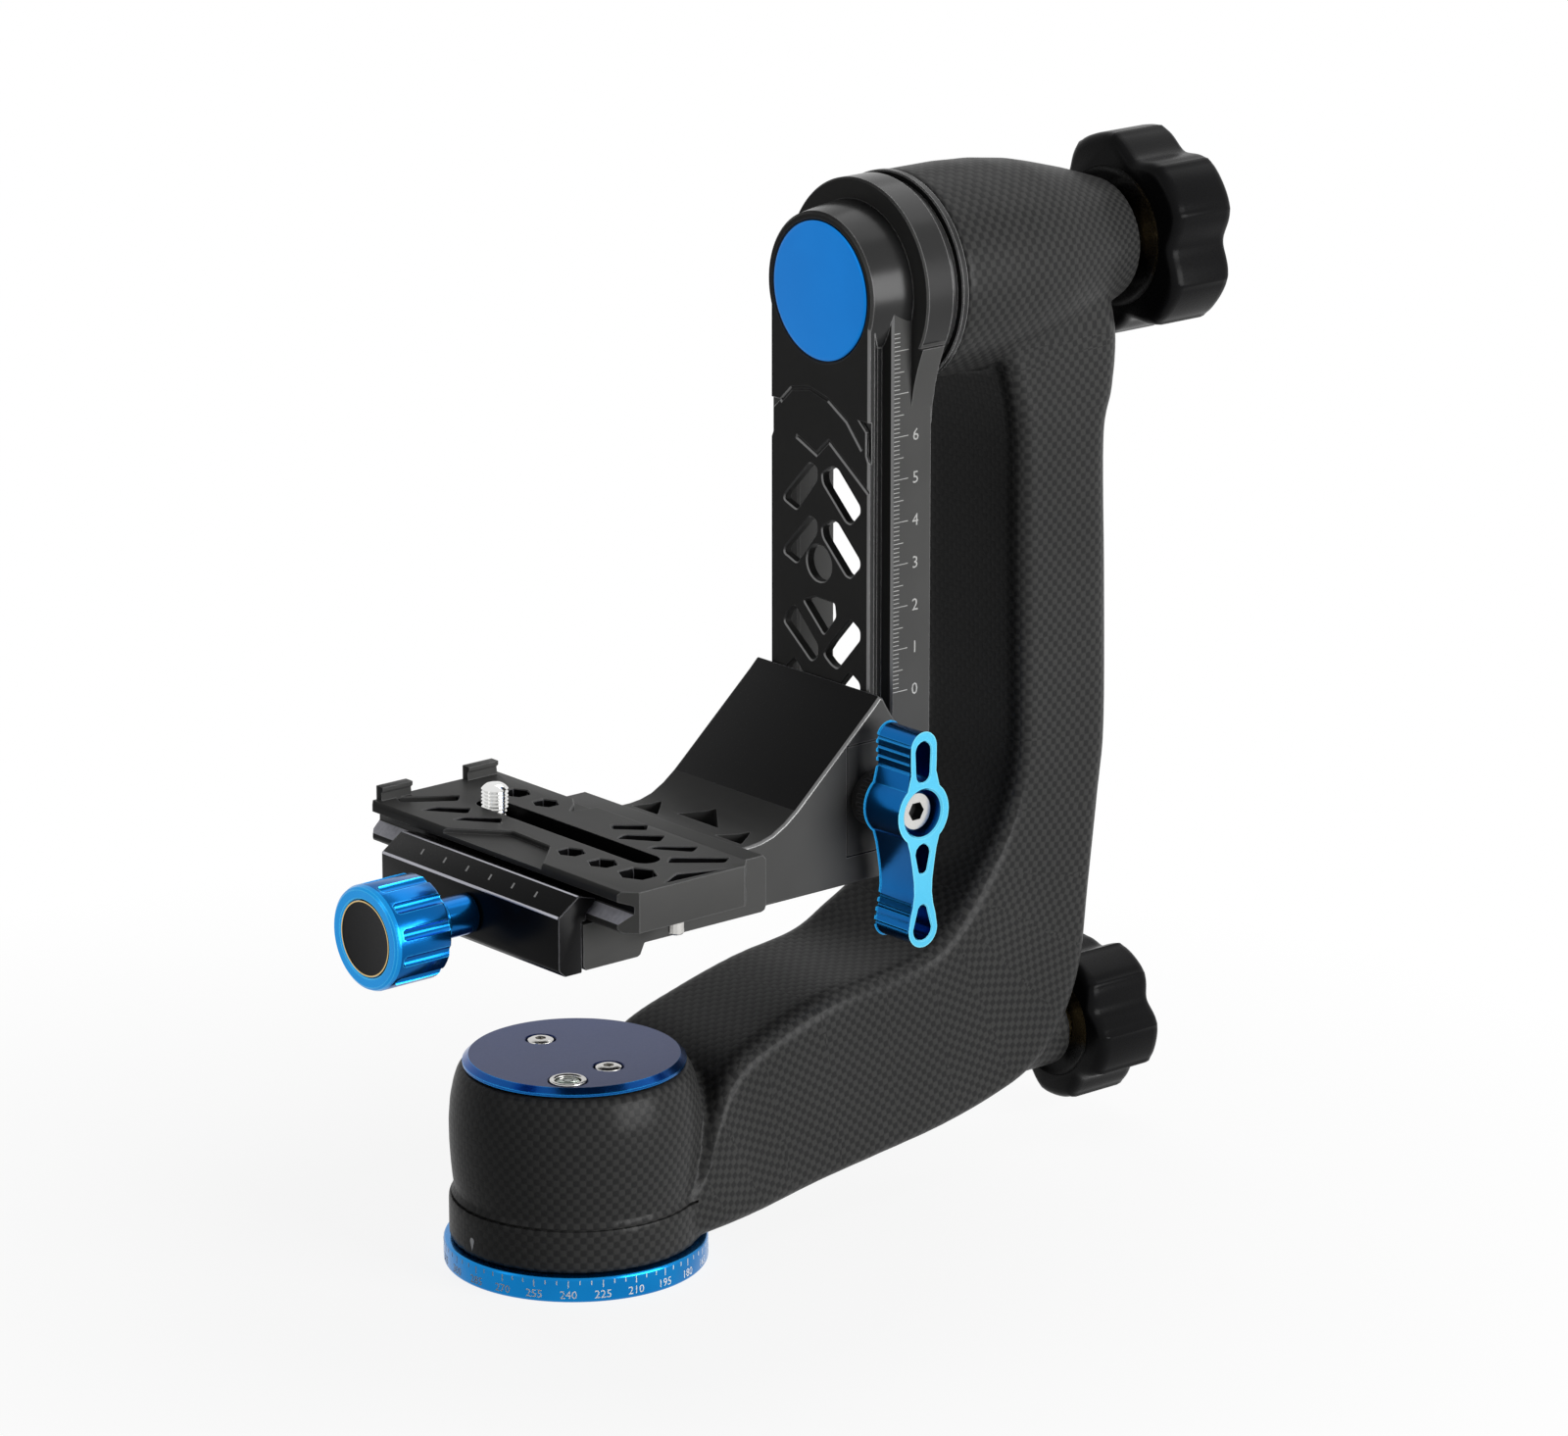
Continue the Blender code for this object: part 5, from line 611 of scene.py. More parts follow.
pointer = bmesh.new()
for x, y in [(0, -1.7)] + arc((0, 0.7), 0.75, -20, 200, 14):
    pointer.verts.new((x, y + INDEX_Z, -INDEX_SUNK))
lid = pointer.faces.new(pointer.verts[:])
raised = bmesh.ops.extrude_face_region(pointer, geom=[lid], use_keep_orig=True)
bmesh.ops.translate(pointer, vec=(0, 0, INDEX_SUNK + INDEX_PROUD),
                    verts=[item for item in raised["geom"] if isinstance(item, bmesh.types.BMVert)])
made("index_mark", wrapped(pointer, COLLAR_RADIUS, INDEX_DEG), white_print, "carbon", "arm")

# The cap closes the barrel. It is turned from aluminium and anodised dark blue,
# with a bright cut rim, and holds two button-head screws and a bubble level.
CAP_LOW, CAP_TOP, CAP_RADIUS = 46.9, 49.0, 25.45
CAP_SCREWS = ((0, -12.3, 0), (0, 12.3, 0))
LEVEL_OUT, LEVEL_TURN = 19.1, math.radians(227)
LEVEL_SPOT = (LEVEL_OUT * math.cos(LEVEL_TURN), LEVEL_OUT * math.sin(LEVEL_TURN), 0)
navy_anodised = grained("navy_anodised", (0.010, 0.026, 0.110), (0.015, 0.036, 0.150), 0.34,
                        metallic=0.5, specular=0.14, bump=0.000008)
cut_rim = grained("cut_blue_rim", (0.004, 0.050, 0.220), (0.006, 0.080, 0.300), 0.20,
                  metallic=0.95, edge_highlight=(0.020, 0.320, 0.760))
# Black for the level's printed circle, and painted shade in the lever screw's socket.
print_and_shade_black = grained("print_and_shade_black", (0.002, 0.002, 0.002), (0.004, 0.004, 0.004), 0.5)

cap = spun([(CAP_LOW, 0), (CAP_LOW, 25.1), (47.2, CAP_RADIUS), (47.75, CAP_RADIUS), (CAP_TOP, 24.1),
            (CAP_TOP, 0)], "Z", steps=192)
holes = [spun([(45, 0), (45, 1.9), (48.05, 1.9), (48.05, 3.5), (48.8, 3.5), (49.2, 3.9), (50, 3.9),
               (50, 0)], "Z", spot, 48) for spot in CAP_SCREWS]
well = spun([(47.5, 0), (47.5, 4.5), (48.8, 4.5), (49.2, 4.9), (50, 4.9), (50, 0)], "Z",
            LEVEL_SPOT, 48)
cap = made("barrel_cap", cut(cap, *holes, well), navy_anodised, "navy_aluminium", "arm", "pan_cap")


def painted(piece, finish, picked):
    """Give another finish to the faces whose middle and normal pass a test."""
    piece.data.materials.append(finish)
    place = len(piece.data.materials) - 1
    for face in piece.data.polygons:
        if picked(*(face.center / MM), face.normal):
            face.material_index = place


def cap_rim(x, y, z, normal):
    """The cap's bevel and its side."""
    out = math.hypot(x, y)
    on_bevel = 0.2 < normal.z < 0.95 and out > CAP_RADIUS - 1.95
    on_side = abs(normal.z) < 0.2 and out > CAP_RADIUS - 0.25
    return on_bevel or on_side


painted(cap, cut_rim, cap_rim)
BUTTON_SCREW = [(43.8, 0), (43.8, 1.6), (48.2, 1.6), (48.2, 3.15), (48.45, 3.2), (48.9, 2.95),
                (49.2, 2.35), (49.3, 1.7), (49.3, 0)]
for n, spot in enumerate(CAP_SCREWS, 1):
    screw = cut(spun(BUTTON_SCREW, "Z", spot, 48), rod(1.35, "Z", spot, 48.0, 51, 6))
    made(f"cap_button_screw_{n}", screw, steel, "stainless", "arm", f"cap_screw_{n}")

bezel = spun([(47.8, 3.0), (49.1, 3.0), (49.35, 3.4), (49.35, 4.0), (49.2, 4.2), (47.8, 4.2)],
             "Z", LEVEL_SPOT, 64)
made("level_bezel", softened(bezel, 0.1), steel, "stainless", "arm", "level_ring")


def glass_material():
    """Clear glass over the level's pale liquid."""
    material, tree, shader, place = bare_material("level_glass")
    grain = grain_in(tree, place, 0.3)
    liquid = mixed(tree, grain.outputs["Tone"], (0.60, 0.72, 0.62), (0.72, 0.80, 0.70))
    fed(tree, shader, {"Base Color": liquid, "Roughness": 0.06, "Transmission Weight": 0.6})
    return material


level_glass = glass_material()
pane = spun([(47.8, 0), (47.8, 2.75), (48.7, 2.75), (48.95, 2.3), (49.05, 1.2), (49.07, 0)],
            "Z", LEVEL_SPOT, 48)
made("level_window", pane, level_glass, "glass", "arm", "level_vial")
ring = spun([(49.05, 0.95), (49.10, 1.0), (49.10, 1.15), (49.05, 1.2)], "Z", LEVEL_SPOT, 40)
made("level_circle", ring, print_and_shade_black, "glass", "arm")

# Inside the barrel a black aluminium liner holds two steel ball bearings, pressed in,
# which run on the spindle. Two more in the housing carry the tilt shaft.
bearing_steel = grained("bearing_steel", (0.42, 0.42, 0.41), (0.55, 0.54, 0.53), 0.22, metallic=1.0)
liner_black = grained("liner_black", (0.010, 0.010, 0.011), (0.018, 0.018, 0.019), 0.42,
                      specular=0.12)
dressed(liner_black, "pan_sleeve", "pan_lock_bush")
dressed(bearing_steel, "pan_bearing_lower", "pan_bearing_upper", "tilt_bearing_front",
        "tilt_bearing_rear")

# The pan lock: a knob of black rubber on a brass insert turns a steel rod that
# runs through the arm to a brass shoe on the spindle. A plastic cap closes it.
KNOB_LOBES, KNOB_POINTS = 5, 240
VALLEY_SHARE, VALLEY_SHARPNESS = 0.16, 2.5
RIB_PLACE, RIB_WIDTH, RIB_HEIGHT = 0.2, 0.13, 0.45
DISH_SHARE = 0.68
PAN_KNOB_RADIUS, PAN_KNOB_START, PAN_KNOB_END, PAN_CAP_RADIUS = 18.7, 146.2, 165.7, 8.6
brass = grained("brass", (0.62, 0.44, 0.18), (0.74, 0.55, 0.27), 0.32, metallic=1.0)
moulded_rubber = grained("moulded_rubber", (0.0035, 0.0035, 0.0038), (0.006, 0.006, 0.0064), 0.28,
                         specular=0.06, bump=0.00002)
cap_plastic = grained("cap_plastic", (0.010, 0.010, 0.011), (0.016, 0.016, 0.017), 0.45,
                      specular=0.12)
dressed(brass, "pan_brake_shoe", "pan_knob_insert", "tilt_knob_insert")
dressed(steel, "pan_lock_rod")


def lobed_ring(x, radius, rib, phase_deg, height):
    """One section of a knob: five lobes, with a rib where each lobe meets a valley."""
    points = []
    for n in range(KNOB_POINTS):
        turn = math.tau * n / KNOB_POINTS
        swing = math.cos(KNOB_LOBES * (turn - math.radians(phase_deg)))
        dip = VALLEY_SHARE * (0.5 - 0.5 * swing) ** VALLEY_SHARPNESS
        edge = math.exp(-((swing - RIB_PLACE) / RIB_WIDTH) ** 2)
        r = radius * (1 - dip) + RIB_HEIGHT * rib * edge
        points.append((x, -r * math.cos(turn), height + r * math.sin(turn)))
    return points


def lobed_knob(radius, start, end, height, cap_radius, bore, phase_deg):
    """A knob's rubber: lobed, rounded at both rims, dished in front and bored through."""
    rim = [(0.0, -2.5, 0), (0.25, -1.5, 0), (0.9, -0.6, 0.2), (1.8, -0.1, 0.7), (3.0, 0.0, 1)]
    rings = [lobed_ring(start + x, radius + r, rib, phase_deg, height) for x, r, rib in rim]
    rings += [lobed_ring(end - x, radius + r, rib, phase_deg, height) for x, r, rib in rim[::-1]]
    dish = radius * DISH_SHARE
    centre = (0, 0, height)
    return cut(bridged(rings),
               spun([(start - 1, 0), (start - 1, dish + 0.7), (start + 0.4, dish),
                     (start + 1.6, dish * 0.86), (start + 1.6, 0)], "X", centre),
               rod(bore, "X", centre, start - 1, end + 1),
               rod(cap_radius + 0.25, "X", centre, end - 1.85, end + 1, 96))


def knob_cap(radius, end, height):
    """A knob's end cap with a shallow dish."""
    return spun([(end - 1.6, 0), (end - 1.6, radius), (end - 0.4, radius), (end, radius - 0.5),
                 (end, radius - 1.6), (end - 0.35, radius - 2.2), (end - 0.35, 0)], "X",
                (0, 0, height))


pan_knob = lobed_knob(PAN_KNOB_RADIUS, PAN_KNOB_START, PAN_KNOB_END, LOCK_Z, PAN_CAP_RADIUS,
                      bore=6.4, phase_deg=58)
made("pan_knob_rubber", pan_knob, moulded_rubber, "rubber", "pan_knob", "pan_knob", sharp=50)
made("pan_knob_end", knob_cap(PAN_CAP_RADIUS, PAN_KNOB_END, LOCK_Z), cap_plastic, "black_plastic",
     "pan_knob", "pan_knob_cap")

# The tilt axis: a turned aluminium liner with a flange and two bearings in it carry
# a steel shaft. A washer sits before the hub, and a rubber knob clamps from behind.
TILT_KNOB_RADIUS, TILT_KNOB_START, TILT_KNOB_END, TILT_CAP_RADIUS = 24.2, 162.5, 181.1, 11.13
liner = [(94.3, 16.3), (105.5, 16.3), (105.5, 9.0), (137.4, 9.0), (137.4, 11.5), (145.7, 11.5),
         (145.7, 13.9), (111.7, 13.9), (111.7, 20.0), (96.2, 20.0), (96.2, 24.6), (96.0, 24.8),
         (94.6, 24.8), (94.3, 24.5)]
# Turned black aluminium; on the rail it also paints shade on the dovetail's flanks.
turned_and_shade_black = grained("turned_and_shade_black", (0.018, 0.018, 0.018), (0.026, 0.026, 0.026), 0.24,
                       specular=0.20, bump=0.000004, edge_highlight=(0.42, 0.42, 0.42))
made("liner_flange", spun(liner, "X", TILT_LINE, 144), turned_and_shade_black, "black_aluminium", "arm",
     "tilt_sleeve")
washer = spun([(92.3, 8.3), (94.0, 8.3), (94.0, 23.5), (92.3, 23.5)], "X", TILT_LINE, 144)
made("hub_washer", softened(washer, 0.2), turned_and_shade_black, "black_plastic", "swing_arm",
     "thrust_washer")
dressed(steel, "tilt_shaft")
washer = spun([(159.8, 5.3), (162.2, 5.3), (162.2, 11.0), (159.8, 11.0)], "X", TILT_LINE)
made("clamping_washer", softened(washer, 0.3), steel, "stainless", "tilt_clamp",
     "tilt_brake_washer")
tilt_knob = lobed_knob(TILT_KNOB_RADIUS, TILT_KNOB_START, TILT_KNOB_END, TILT_Z, TILT_CAP_RADIUS,
                       bore=8.4, phase_deg=35)
made("tilt_knob_rubber", tilt_knob, moulded_rubber, "rubber", "tilt_knob", "tilt_knob", sharp=50)
made("tilt_knob_end", knob_cap(TILT_CAP_RADIUS, TILT_KNOB_END, TILT_Z), cap_plastic,
     "black_plastic", "tilt_knob", "tilt_knob_cap")

# The swinging rail is machined from one aluminium bar: a dovetail in front, an
# open channel behind it, windows through its web and a round hub at its top.
RAIL_LOW, CHANNEL_TOP, LATTICE_TOP, HUB_LOW = 84.0, 186.3, 190, 204
RAIL_FACE, WEB_BACK = 72.8, 75.0
BADGE_POCKET, HUB_SCREW_CIRCLE = 74.0, 10.5
LATTICE_STEP = 12.65
satin_black = grained("satin_black", (0.066, 0.066, 0.065), (0.088, 0.088, 0.086), 0.42,
                      specular=0.035, bump=0.000008, edge_highlight=(0.22, 0.22, 0.22))
# A pale metal for etched marks and engraving, and a painted highlight on edges and chamfers.
etch_and_edge_highlight = grained("etch_and_edge_highlight", (0.13, 0.13, 0.13), (0.20, 0.20, 0.20), 0.35, metallic=0.85)
RAIL_HALF = [(RAIL_FACE, 16.7), (73.25, 17.15), (74.6, 17.15), (77.0, 15.3), (78.4, 15.3), (78.4, 18.4),
             (78.85, 18.85), (90.0, 18.85), (90.5, 18.35)]
CHANNEL_HALF = [(WEB_BACK, 13.3), (77.6, 13.3), (80.4, 15.5), (91.5, 15.5)]
FLARE_HALF = [(18.45, 184.8), (18.9, 189.5), (19.8, 194.2), (21.1, 198.8), (22.9, 203.5)]


def placed(axis, point, height):
    """A flat point set at a height along an axis: (y, z), (x, z) or (x, y)."""
    u, v = point
    return Vector({"X": (height, u, v), "Y": (u, height, v), "Z": (u, v, height)}[axis])


def mirrored(half):
    """A half outline of (u, v) points with its mirror image in v."""
    return half + [(u, -v) for u, v in reversed(half)]


def prism(outline, axis, low, high):
    """A straight block with a flat outline."""
    return bridged([[placed(axis, point, height) for point in outline] for height in (low, high)])


def grown(outline, by):
    """An outline moved outwards by a distance, corner by corner."""
    following = outline[1:] + outline[:1]
    area = sum(a[0] * b[1] - b[0] * a[1] for a, b in zip(outline, following))
    way = math.copysign(by, area)
    moved = []
    for before, here, after in zip(outline[-1:] + outline[:-1], outline, following):
        first = (Vector(here) - Vector(before)).normalized()
        second = (Vector(after) - Vector(here)).normalized()
        out = Vector((first.y + second.y, -first.x - second.x)).normalized()
        lean = max(0.4, out.x * first.y - out.y * first.x)
        moved.append((here[0] + out.x * way / lean, here[1] + out.y * way / lean))
    return moved


def sunk(outline, axis, face, floor, mouth):
    """A cutter from a face down to a floor, with a chamfered mouth."""
    inward = math.copysign(1, floor - face)
    levels = [(outline, floor), (outline, face + inward * mouth), (grown(outline, mouth), face),
              (grown(outline, mouth), face - inward * 0.5)]
    return bridged([[placed(axis, point, height) for point in shape] for shape, height in levels])


def rounded(outline, radius, steps=4):
    """An outline with each corner turned into a short arc."""
    points = []
    for before, here, after in zip(outline[-1:] + outline[:-1], outline, outline[1:] + outline[:1]):
        here, back, ahead = Vector(here), Vector(before) - Vector(here), Vector(after) - Vector(here)
        reach = min(radius, back.length * 0.45, ahead.length * 0.45)
        start, end = here + back.normalized() * reach, here + ahead.normalized() * reach
        for n in range(steps + 1):
            share = n / steps
            points.append(tuple((1 - share) ** 2 * start + 2 * share * (1 - share) * here
                                + share ** 2 * end))
    return points


def band(points, width):
    """The outline of a line of even width through points."""
    spots = [Vector(point) for point in points]
    left, right = [], []
    for n, spot in enumerate(spots):
        back = spot - spots[n - 1] if n else spots[1] - spot
        ahead = spots[n + 1] - spot if n + 1 < len(spots) else back
        heading = (back.normalized() + ahead.normalized()).normalized()
        out = Vector((-heading.y, heading.x)) * width / 2
        left.append(tuple(spot + out))
        right.append(tuple(spot - out))
    return left + right[::-1]


def flipped(outline):
    """An outline mirrored in its first coordinate."""
    return [(-u, v) for u, v in reversed(outline)]


def moved_up(outline, by):
    """An outline moved along its second coordinate."""
    return [(u, v + by) for u, v in outline]


SLANT_UP_RIGHT = [(-4.6, 174.6), (-6.3, 174.5), (-14.1, 167.1), (-14.1, 165.5), (-11.1, 162.4),
                  (-9.4, 162.6), (-1.3, 170.1), (-0.9, 172.3)]
SLANT_UP_LEFT = [(3.1, 174.2), (0.8, 173.3), (0.8, 170.6), (7.9, 162.1), (12.4, 163.7),
                 (12.0, 165.1)]
SLANT_DOWN_LEFT = [(8.6, 139.3), (0.4, 131.2), (0.6, 128.6), (2.7, 127.2), (12.4, 134.6),
                   (11.3, 136.9)]
SLANT_DOWN_RIGHT = [(-10.8, 140.0), (-14.2, 138.0), (-14.2, 135.7), (-6.5, 127.3), (-4.4, 127.8),
                    (-1.7, 129.7), (-4.4, 133.1)]
ARROW_HEAD = [(5.5, 141.1), (1.4, 142.7), (-5.4, 142.5), (-5.8, 139.4), (-1.7, 134.4)]
windows = [around((0, 151), 4.3, 48), rounded(ARROW_HEAD, 0.8)]
for pair, rows in (((SLANT_UP_LEFT, SLANT_UP_RIGHT), 2), ((SLANT_DOWN_LEFT, SLANT_DOWN_RIGHT), 4)):
    for row in range(rows):
        windows += [rounded(moved_up(slant, -row * LATTICE_STEP), 0.9) for slant in pair]
ZIGZAG = [(7.8, 179.4), (1.0, 176.5), (-3.3, 180.4), (-17.4, 170.6)]
ARCH = [(13.4, 186.9), (9.8, 190.3), (3.5, 191.6), (-3.0, 190.0), (-9.5, 186.2), (-14.6, 180.6)]
NOTCH = [(-19.6, 187.1), (-13.7, 187.1), (-16.2, 184.8), (-16.2, 179.3), (-17.0, 177.6),
         (-19.6, 177.6)]
engraved = [band(ZIGZAG, 0.5), band(ARCH, 0.4)]

hub = spun([(RAIL_FACE, 0), (RAIL_FACE, 17.7), (73.3, 18.3), (77, 18.9), (82.6, 19.5), (84.0, 19.6),
            (84.0, 24.1), (84.4, 24.5), (91.6, 24.5), (92.0, 24.1), (92.0, 0)], "X", TILT_LINE, 144)
rail = softened(prism(mirrored(RAIL_HALF), "Z", RAIL_LOW, TILT_Z), 0.2, 2, 50)
rail = joined(rail, hub, prism(FLARE_HALF + flipped(FLARE_HALF), "X", 84.0, 90.5))
badge_pocket = spun([(71, 0), (71, 16.9), (RAIL_FACE, 16.7), (73.1, 16.35), (BADGE_POCKET, 16.35),
                     (BADGE_POCKET, 0)], "X", TILT_LINE, 144)
shaft_pocket = rod(15.3, "X", TILT_LINE, 88.0, 93)
stop_hole = rod(1.9, "X", (0, 0, 88), 71, 76)
rail = cut(rail, prism(mirrored(CHANNEL_HALF), "Z", RAIL_LOW - 1, CHANNEL_TOP), badge_pocket,
           shaft_pocket, stop_hole)
rail = cut(rail, *[sunk(outline, "X", RAIL_FACE, WEB_BACK + 0.5, 0.3) for outline in windows],
           *[sunk(outline, "X", RAIL_FACE, RAIL_FACE + 0.4, 0.35) for outline in engraved],
           *[sunk(outline, "X", RAIL_FACE, RAIL_FACE + 0.9, 0.2)
             for outline in (NOTCH, flipped(NOTCH))])
hub_spots = [(0, *spot) for spot in around((0, TILT_Z), HUB_SCREW_CIRCLE, 3, 90)]
rail = cut(rail, gathered([rod(3.7, "X", spot, 71, 77.3, 32) for spot in hub_spots]),
           gathered([rod(2.3, "X", spot, 71, 93, 32) for spot in hub_spots]))
rail = made("rail_and_hub", rail, satin_black, "black_aluminium", "swing_arm", "swing_rail")


def rail_edges(x, y, z, normal):
    """Painted highlights on the windows' chamfered mouths and the corners down the rail's front and
    sides; engraving shows bright.
    """
    on_mouth = (RAIL_FACE + 0.02 < x < RAIL_FACE + 0.37 and abs(y) < 16.5 and z < LATTICE_TOP
                and abs(normal.x) < 0.95)
    on_corner = z < HUB_LOW and min(math.hypot(x - 73.0, abs(y) - 16.95),
                                    math.hypot(x - 78.6, abs(y) - 18.6)) < 0.4
    return on_mouth or on_corner


def rail_bright_cuts(x, y, z, normal):
    """The hub's turned side, and the dovetail's flanks, which get a darker black as painted shade."""
    on_hub = math.hypot(y, z - TILT_Z) > 17 and z > HUB_LOW and abs(normal.x) < 0.6
    on_flank = 73.3 < x < 78.3 and abs(y) > 15.0 and z < LATTICE_TOP
    return on_hub or on_flank


# The pale metal is a painted highlight on window mouths and corners, and bare metal in the engraving.
painted(rail, etch_and_edge_highlight, rail_edges)
# The darker glossy black is the hub's turned finish and painted shade on the dovetail's flanks.
painted(rail, turned_and_shade_black, rail_bright_cuts)
dressed(steel, "hub_screw_1", "hub_screw_2", "hub_screw_3", "rail_stop_screw")

# The badge is a plain aluminium disc, enamelled blue and glued into the hub's face.
# It covers the three screws that hold the rail to the shaft.
badge_enamel = grained("badge_enamel", (0.001, 0.180, 0.600), (0.002, 0.225, 0.710), 0.36,
                       metallic=0.85)
badge = spun([(73.7, 0), (73.7, 16.1), (72.95, 16.1), (72.75, 15.8), (72.7, 15.2), (72.7, 0)],
             "X", TILT_LINE, 144)
made("blue_badge", badge, badge_enamel, "badge_blue", "swing_arm", "badge_disc")

# A grey scale is printed on the rail's side: millimetre ticks, longer ones each
# half and whole centimetre, and plain numbers. It shows the cradle's height.
SCALE_ZERO, SCALE_LENGTH, SCALE_START, RAIL_SIDE = 123.1, 84, 78.95, 18.85
MM_TICK, HALF_TICK, CM_TICK, TICK_HALF_WIDTH, TICK_SUNK = 1.7, 2.9, 4.3, 0.09, 0.05
FIGURES, FIGURE_SIZE, FIGURE_THICK, FIGURE_X, FIGURE_DROP = 7, 4.0, 0.08, 85.5, 1.45
scale_print = grained("scale_print", (0.34, 0.34, 0.33), (0.44, 0.44, 0.43), 0.5)
scale_ticks, scale_figures = [], []
for n in range(SCALE_LENGTH + 1):
    length = CM_TICK if n % 10 == 0 else HALF_TICK if n % 5 == 0 else MM_TICK
    z = SCALE_ZERO + n
    scale_ticks.append(box((SCALE_START, -RAIL_SIDE - PRINT_PROUD, z - TICK_HALF_WIDTH),
                           (SCALE_START + length, -RAIL_SIDE + TICK_SUNK, z + TICK_HALF_WIDTH)))
for n in range(FIGURES):
    figure = lettering(str(n), FIGURE_SIZE, FIGURE_THICK)
    z = SCALE_ZERO + 10 * n - FIGURE_DROP
    bmesh.ops.transform(figure, verts=figure.verts, matrix=Matrix((
        (1, 0, 0, FIGURE_X), (0, 0, -1, -RAIL_SIDE), (0, 1, 0, z), (0, 0, 0, 1))))
    scale_figures.append(figure)
made("scale_ticks", gathered(scale_ticks), scale_print, "black_aluminium", "swing_arm")
made("scale_numbers", gathered(scale_figures), scale_print, "black_aluminium", "swing_arm")

# The bracket is an L machined from solid aluminium: it grips the rail's dovetail,
# sweeps down into a floor with triangular windows, and carries the clamp on a ledge.
BRACKET_SIDE, BRACKET_ROUND, FLOOR_LOW, LEDGE_TOP = 22.0, 1.1, 81.0, 83.9
LEVER_X, LEVER_Z = 69.8, 101.0
LEVER_LINE = (LEVER_X, 0, LEVER_Z)
SCREW_LINE_X, SCREW_LINE_Y = 24.8, 13
bend = [(77.4, 83.2), (77.4, 117.5), (75.0, 121.1), (73.6, 123.5), (72.4, 124.2), (70.1, 122.0)]
bend += [(50.4, 104.6), (47.3, 101.9), (44.0, 99.5), (40.4, 97.6), (37.0, 96.7), (34.0, 96.4)]
bend += [(30.3, 96.4), (30.3, FLOOR_LOW + 0.9), (31.2, FLOOR_LOW), (75.5, FLOOR_LOW)]
# The jaw's darker black, also used as painted shade on the bracket's ramp and in the plate's windows.
jaw_and_shade_black = grained("jaw_and_shade_black", (0.006, 0.006, 0.0064), (0.010, 0.010, 0.0106), 0.26,
                    specular=0.06, bump=0.000004, edge_highlight=(0.30, 0.30, 0.32))
bracket = prism(bend, "Y", -BRACKET_SIDE, BRACKET_SIDE)
rims = [edge for edge in bracket.edges if edge.verts[0].co.y == edge.verts[1].co.y]
bevelled(bracket, rims, BRACKET_ROUND, 4)
ledge = softened(box((19.3, -BRACKET_SIDE, 81.4), (41.3, BRACKET_SIDE, LEDGE_TOP)), 0.3)
groove = mirrored([(72.5, 17.45), (74.9, 17.45), (77.3, 15.6), (78.5, 15.6)])
jaw_pocket = box((62.3, -23, 87.7), (78.5, -15.0, 114.3))
stop_notch = box((70.2, -3.3, 80.0), (73.8, 3.3, 91.3))
lever_hole = rod(2.5, "Y", LEVER_LINE, -23, 7.5, 32)
floor_windows = [[(32.9, 19.6), (39.0, 15.8), (32.9, 10.1)], [(36.4, 7.5), (42.1, 0.0), (36.4, -7.5)],
                 [(32.9, -10.1), (39.0, -15.8), (32.9, -19.6)]]
openings = [prism(rounded(outline, 0.8), "Z", 80, 110) for outline in floor_windows]
COUNTERBORE = [(80.5, 0), (80.5, 3.5), (83.5, 3.5), (83.5, 2.1), (87, 2.1), (87, 0)]
openings += [spun(COUNTERBORE, "Z", (SCREW_LINE_X, y, 0), 32) for y in (-SCREW_LINE_Y, SCREW_LINE_Y)]
bracket = cut(joined(bracket, ledge), prism(groove, "Z", 80, 126), jaw_pocket, stop_notch,
              lever_hole, gathered(openings))
bracket = made("l_bracket", bracket, satin_black, "black_aluminium", "cradle", "cradle_bracket")
# The bracket's sloped ramp gets the darker black as painted shade.
painted(bracket, jaw_and_shade_black,
        lambda x, y, z, normal: normal.z > 0.3 and abs(normal.y) < 0.3 and x > 47)
# A painted highlight along the rounded rims of the bracket's near side.
painted(bracket, etch_and_edge_highlight,
        lambda x, y, z, normal: normal.z > 0.2 and 0.5 < -normal.y < 0.92 and x > 31)
dressed(steel, "bracket_screw_1", "bracket_screw_2")

# The rail lock: an aluminium jaw in the bracket's near side is drawn against the
# rail by a blue anodised lever, which turns on a splined boss round a steel screw.
jaw = prism([(62.6, -15.3), (62.6, -21.7), (62.9, -22.0), (77.1, -22.0), (77.4, -21.7),
             (77.4, -15.6), (77.3, -15.6), (74.9, -17.45), (72.5, -17.45), (72.5, -15.3)], "Z",
            88.0, 114.0)
made("sliding_jaw", cut(softened(jaw, 0.15, 1), rod(2.5, "Y", LEVER_LINE, -23, 0, 32)),
     satin_black, "black_aluminium", "rail_jaw", "rail_jaw")

SPLINES, SPLINE_CIRCLE, SPLINE_RADIUS = 20, 6.6, 0.45
boss = spun([(-22.3, 2.5), (-27.7, 2.5), (-27.7, 6.2), (-27.4, 6.5), (-22.6, 6.5), (-22.3, 6.2)],
            "Y", LEVER_LINE, 72)
splines = [rod(SPLINE_RADIUS, "Y", (x, 0, z), -28.5, -24.2, 12)
           for x, z in around((LEVER_X, LEVER_Z), SPLINE_CIRCLE, SPLINES)]
made("splined_boss", cut(boss, gathered(splines)), satin_black, "black_aluminium", "rail_lever",
     "lever_boss")

LEVER_FACE, LEVER_BACK, LEVER_ROUND = -40.0, -28.0, 0.35
blue_anodised = grained("blue_anodised", (0.002, 0.085, 0.290), (0.004, 0.140, 0.420), 0.20,
                        metallic=0.95, specular=0.3, edge_highlight=(0.030, 0.420, 0.860))
# A light cyan painted as a highlight on the lever's front face.
lever_highlight = grained("lever_face_highlight", (0.075, 0.500, 0.780), (0.150, 0.640, 0.900), 0.24,
                     metallic=0.95, edge_highlight=(0.250, 0.800, 0.980))


def at_lever(outline, side=1):
    """An outline drawn round the lever's screw, set in its place."""
    return [(LEVER_X + side * x, LEVER_Z + z) for x, z in outline]


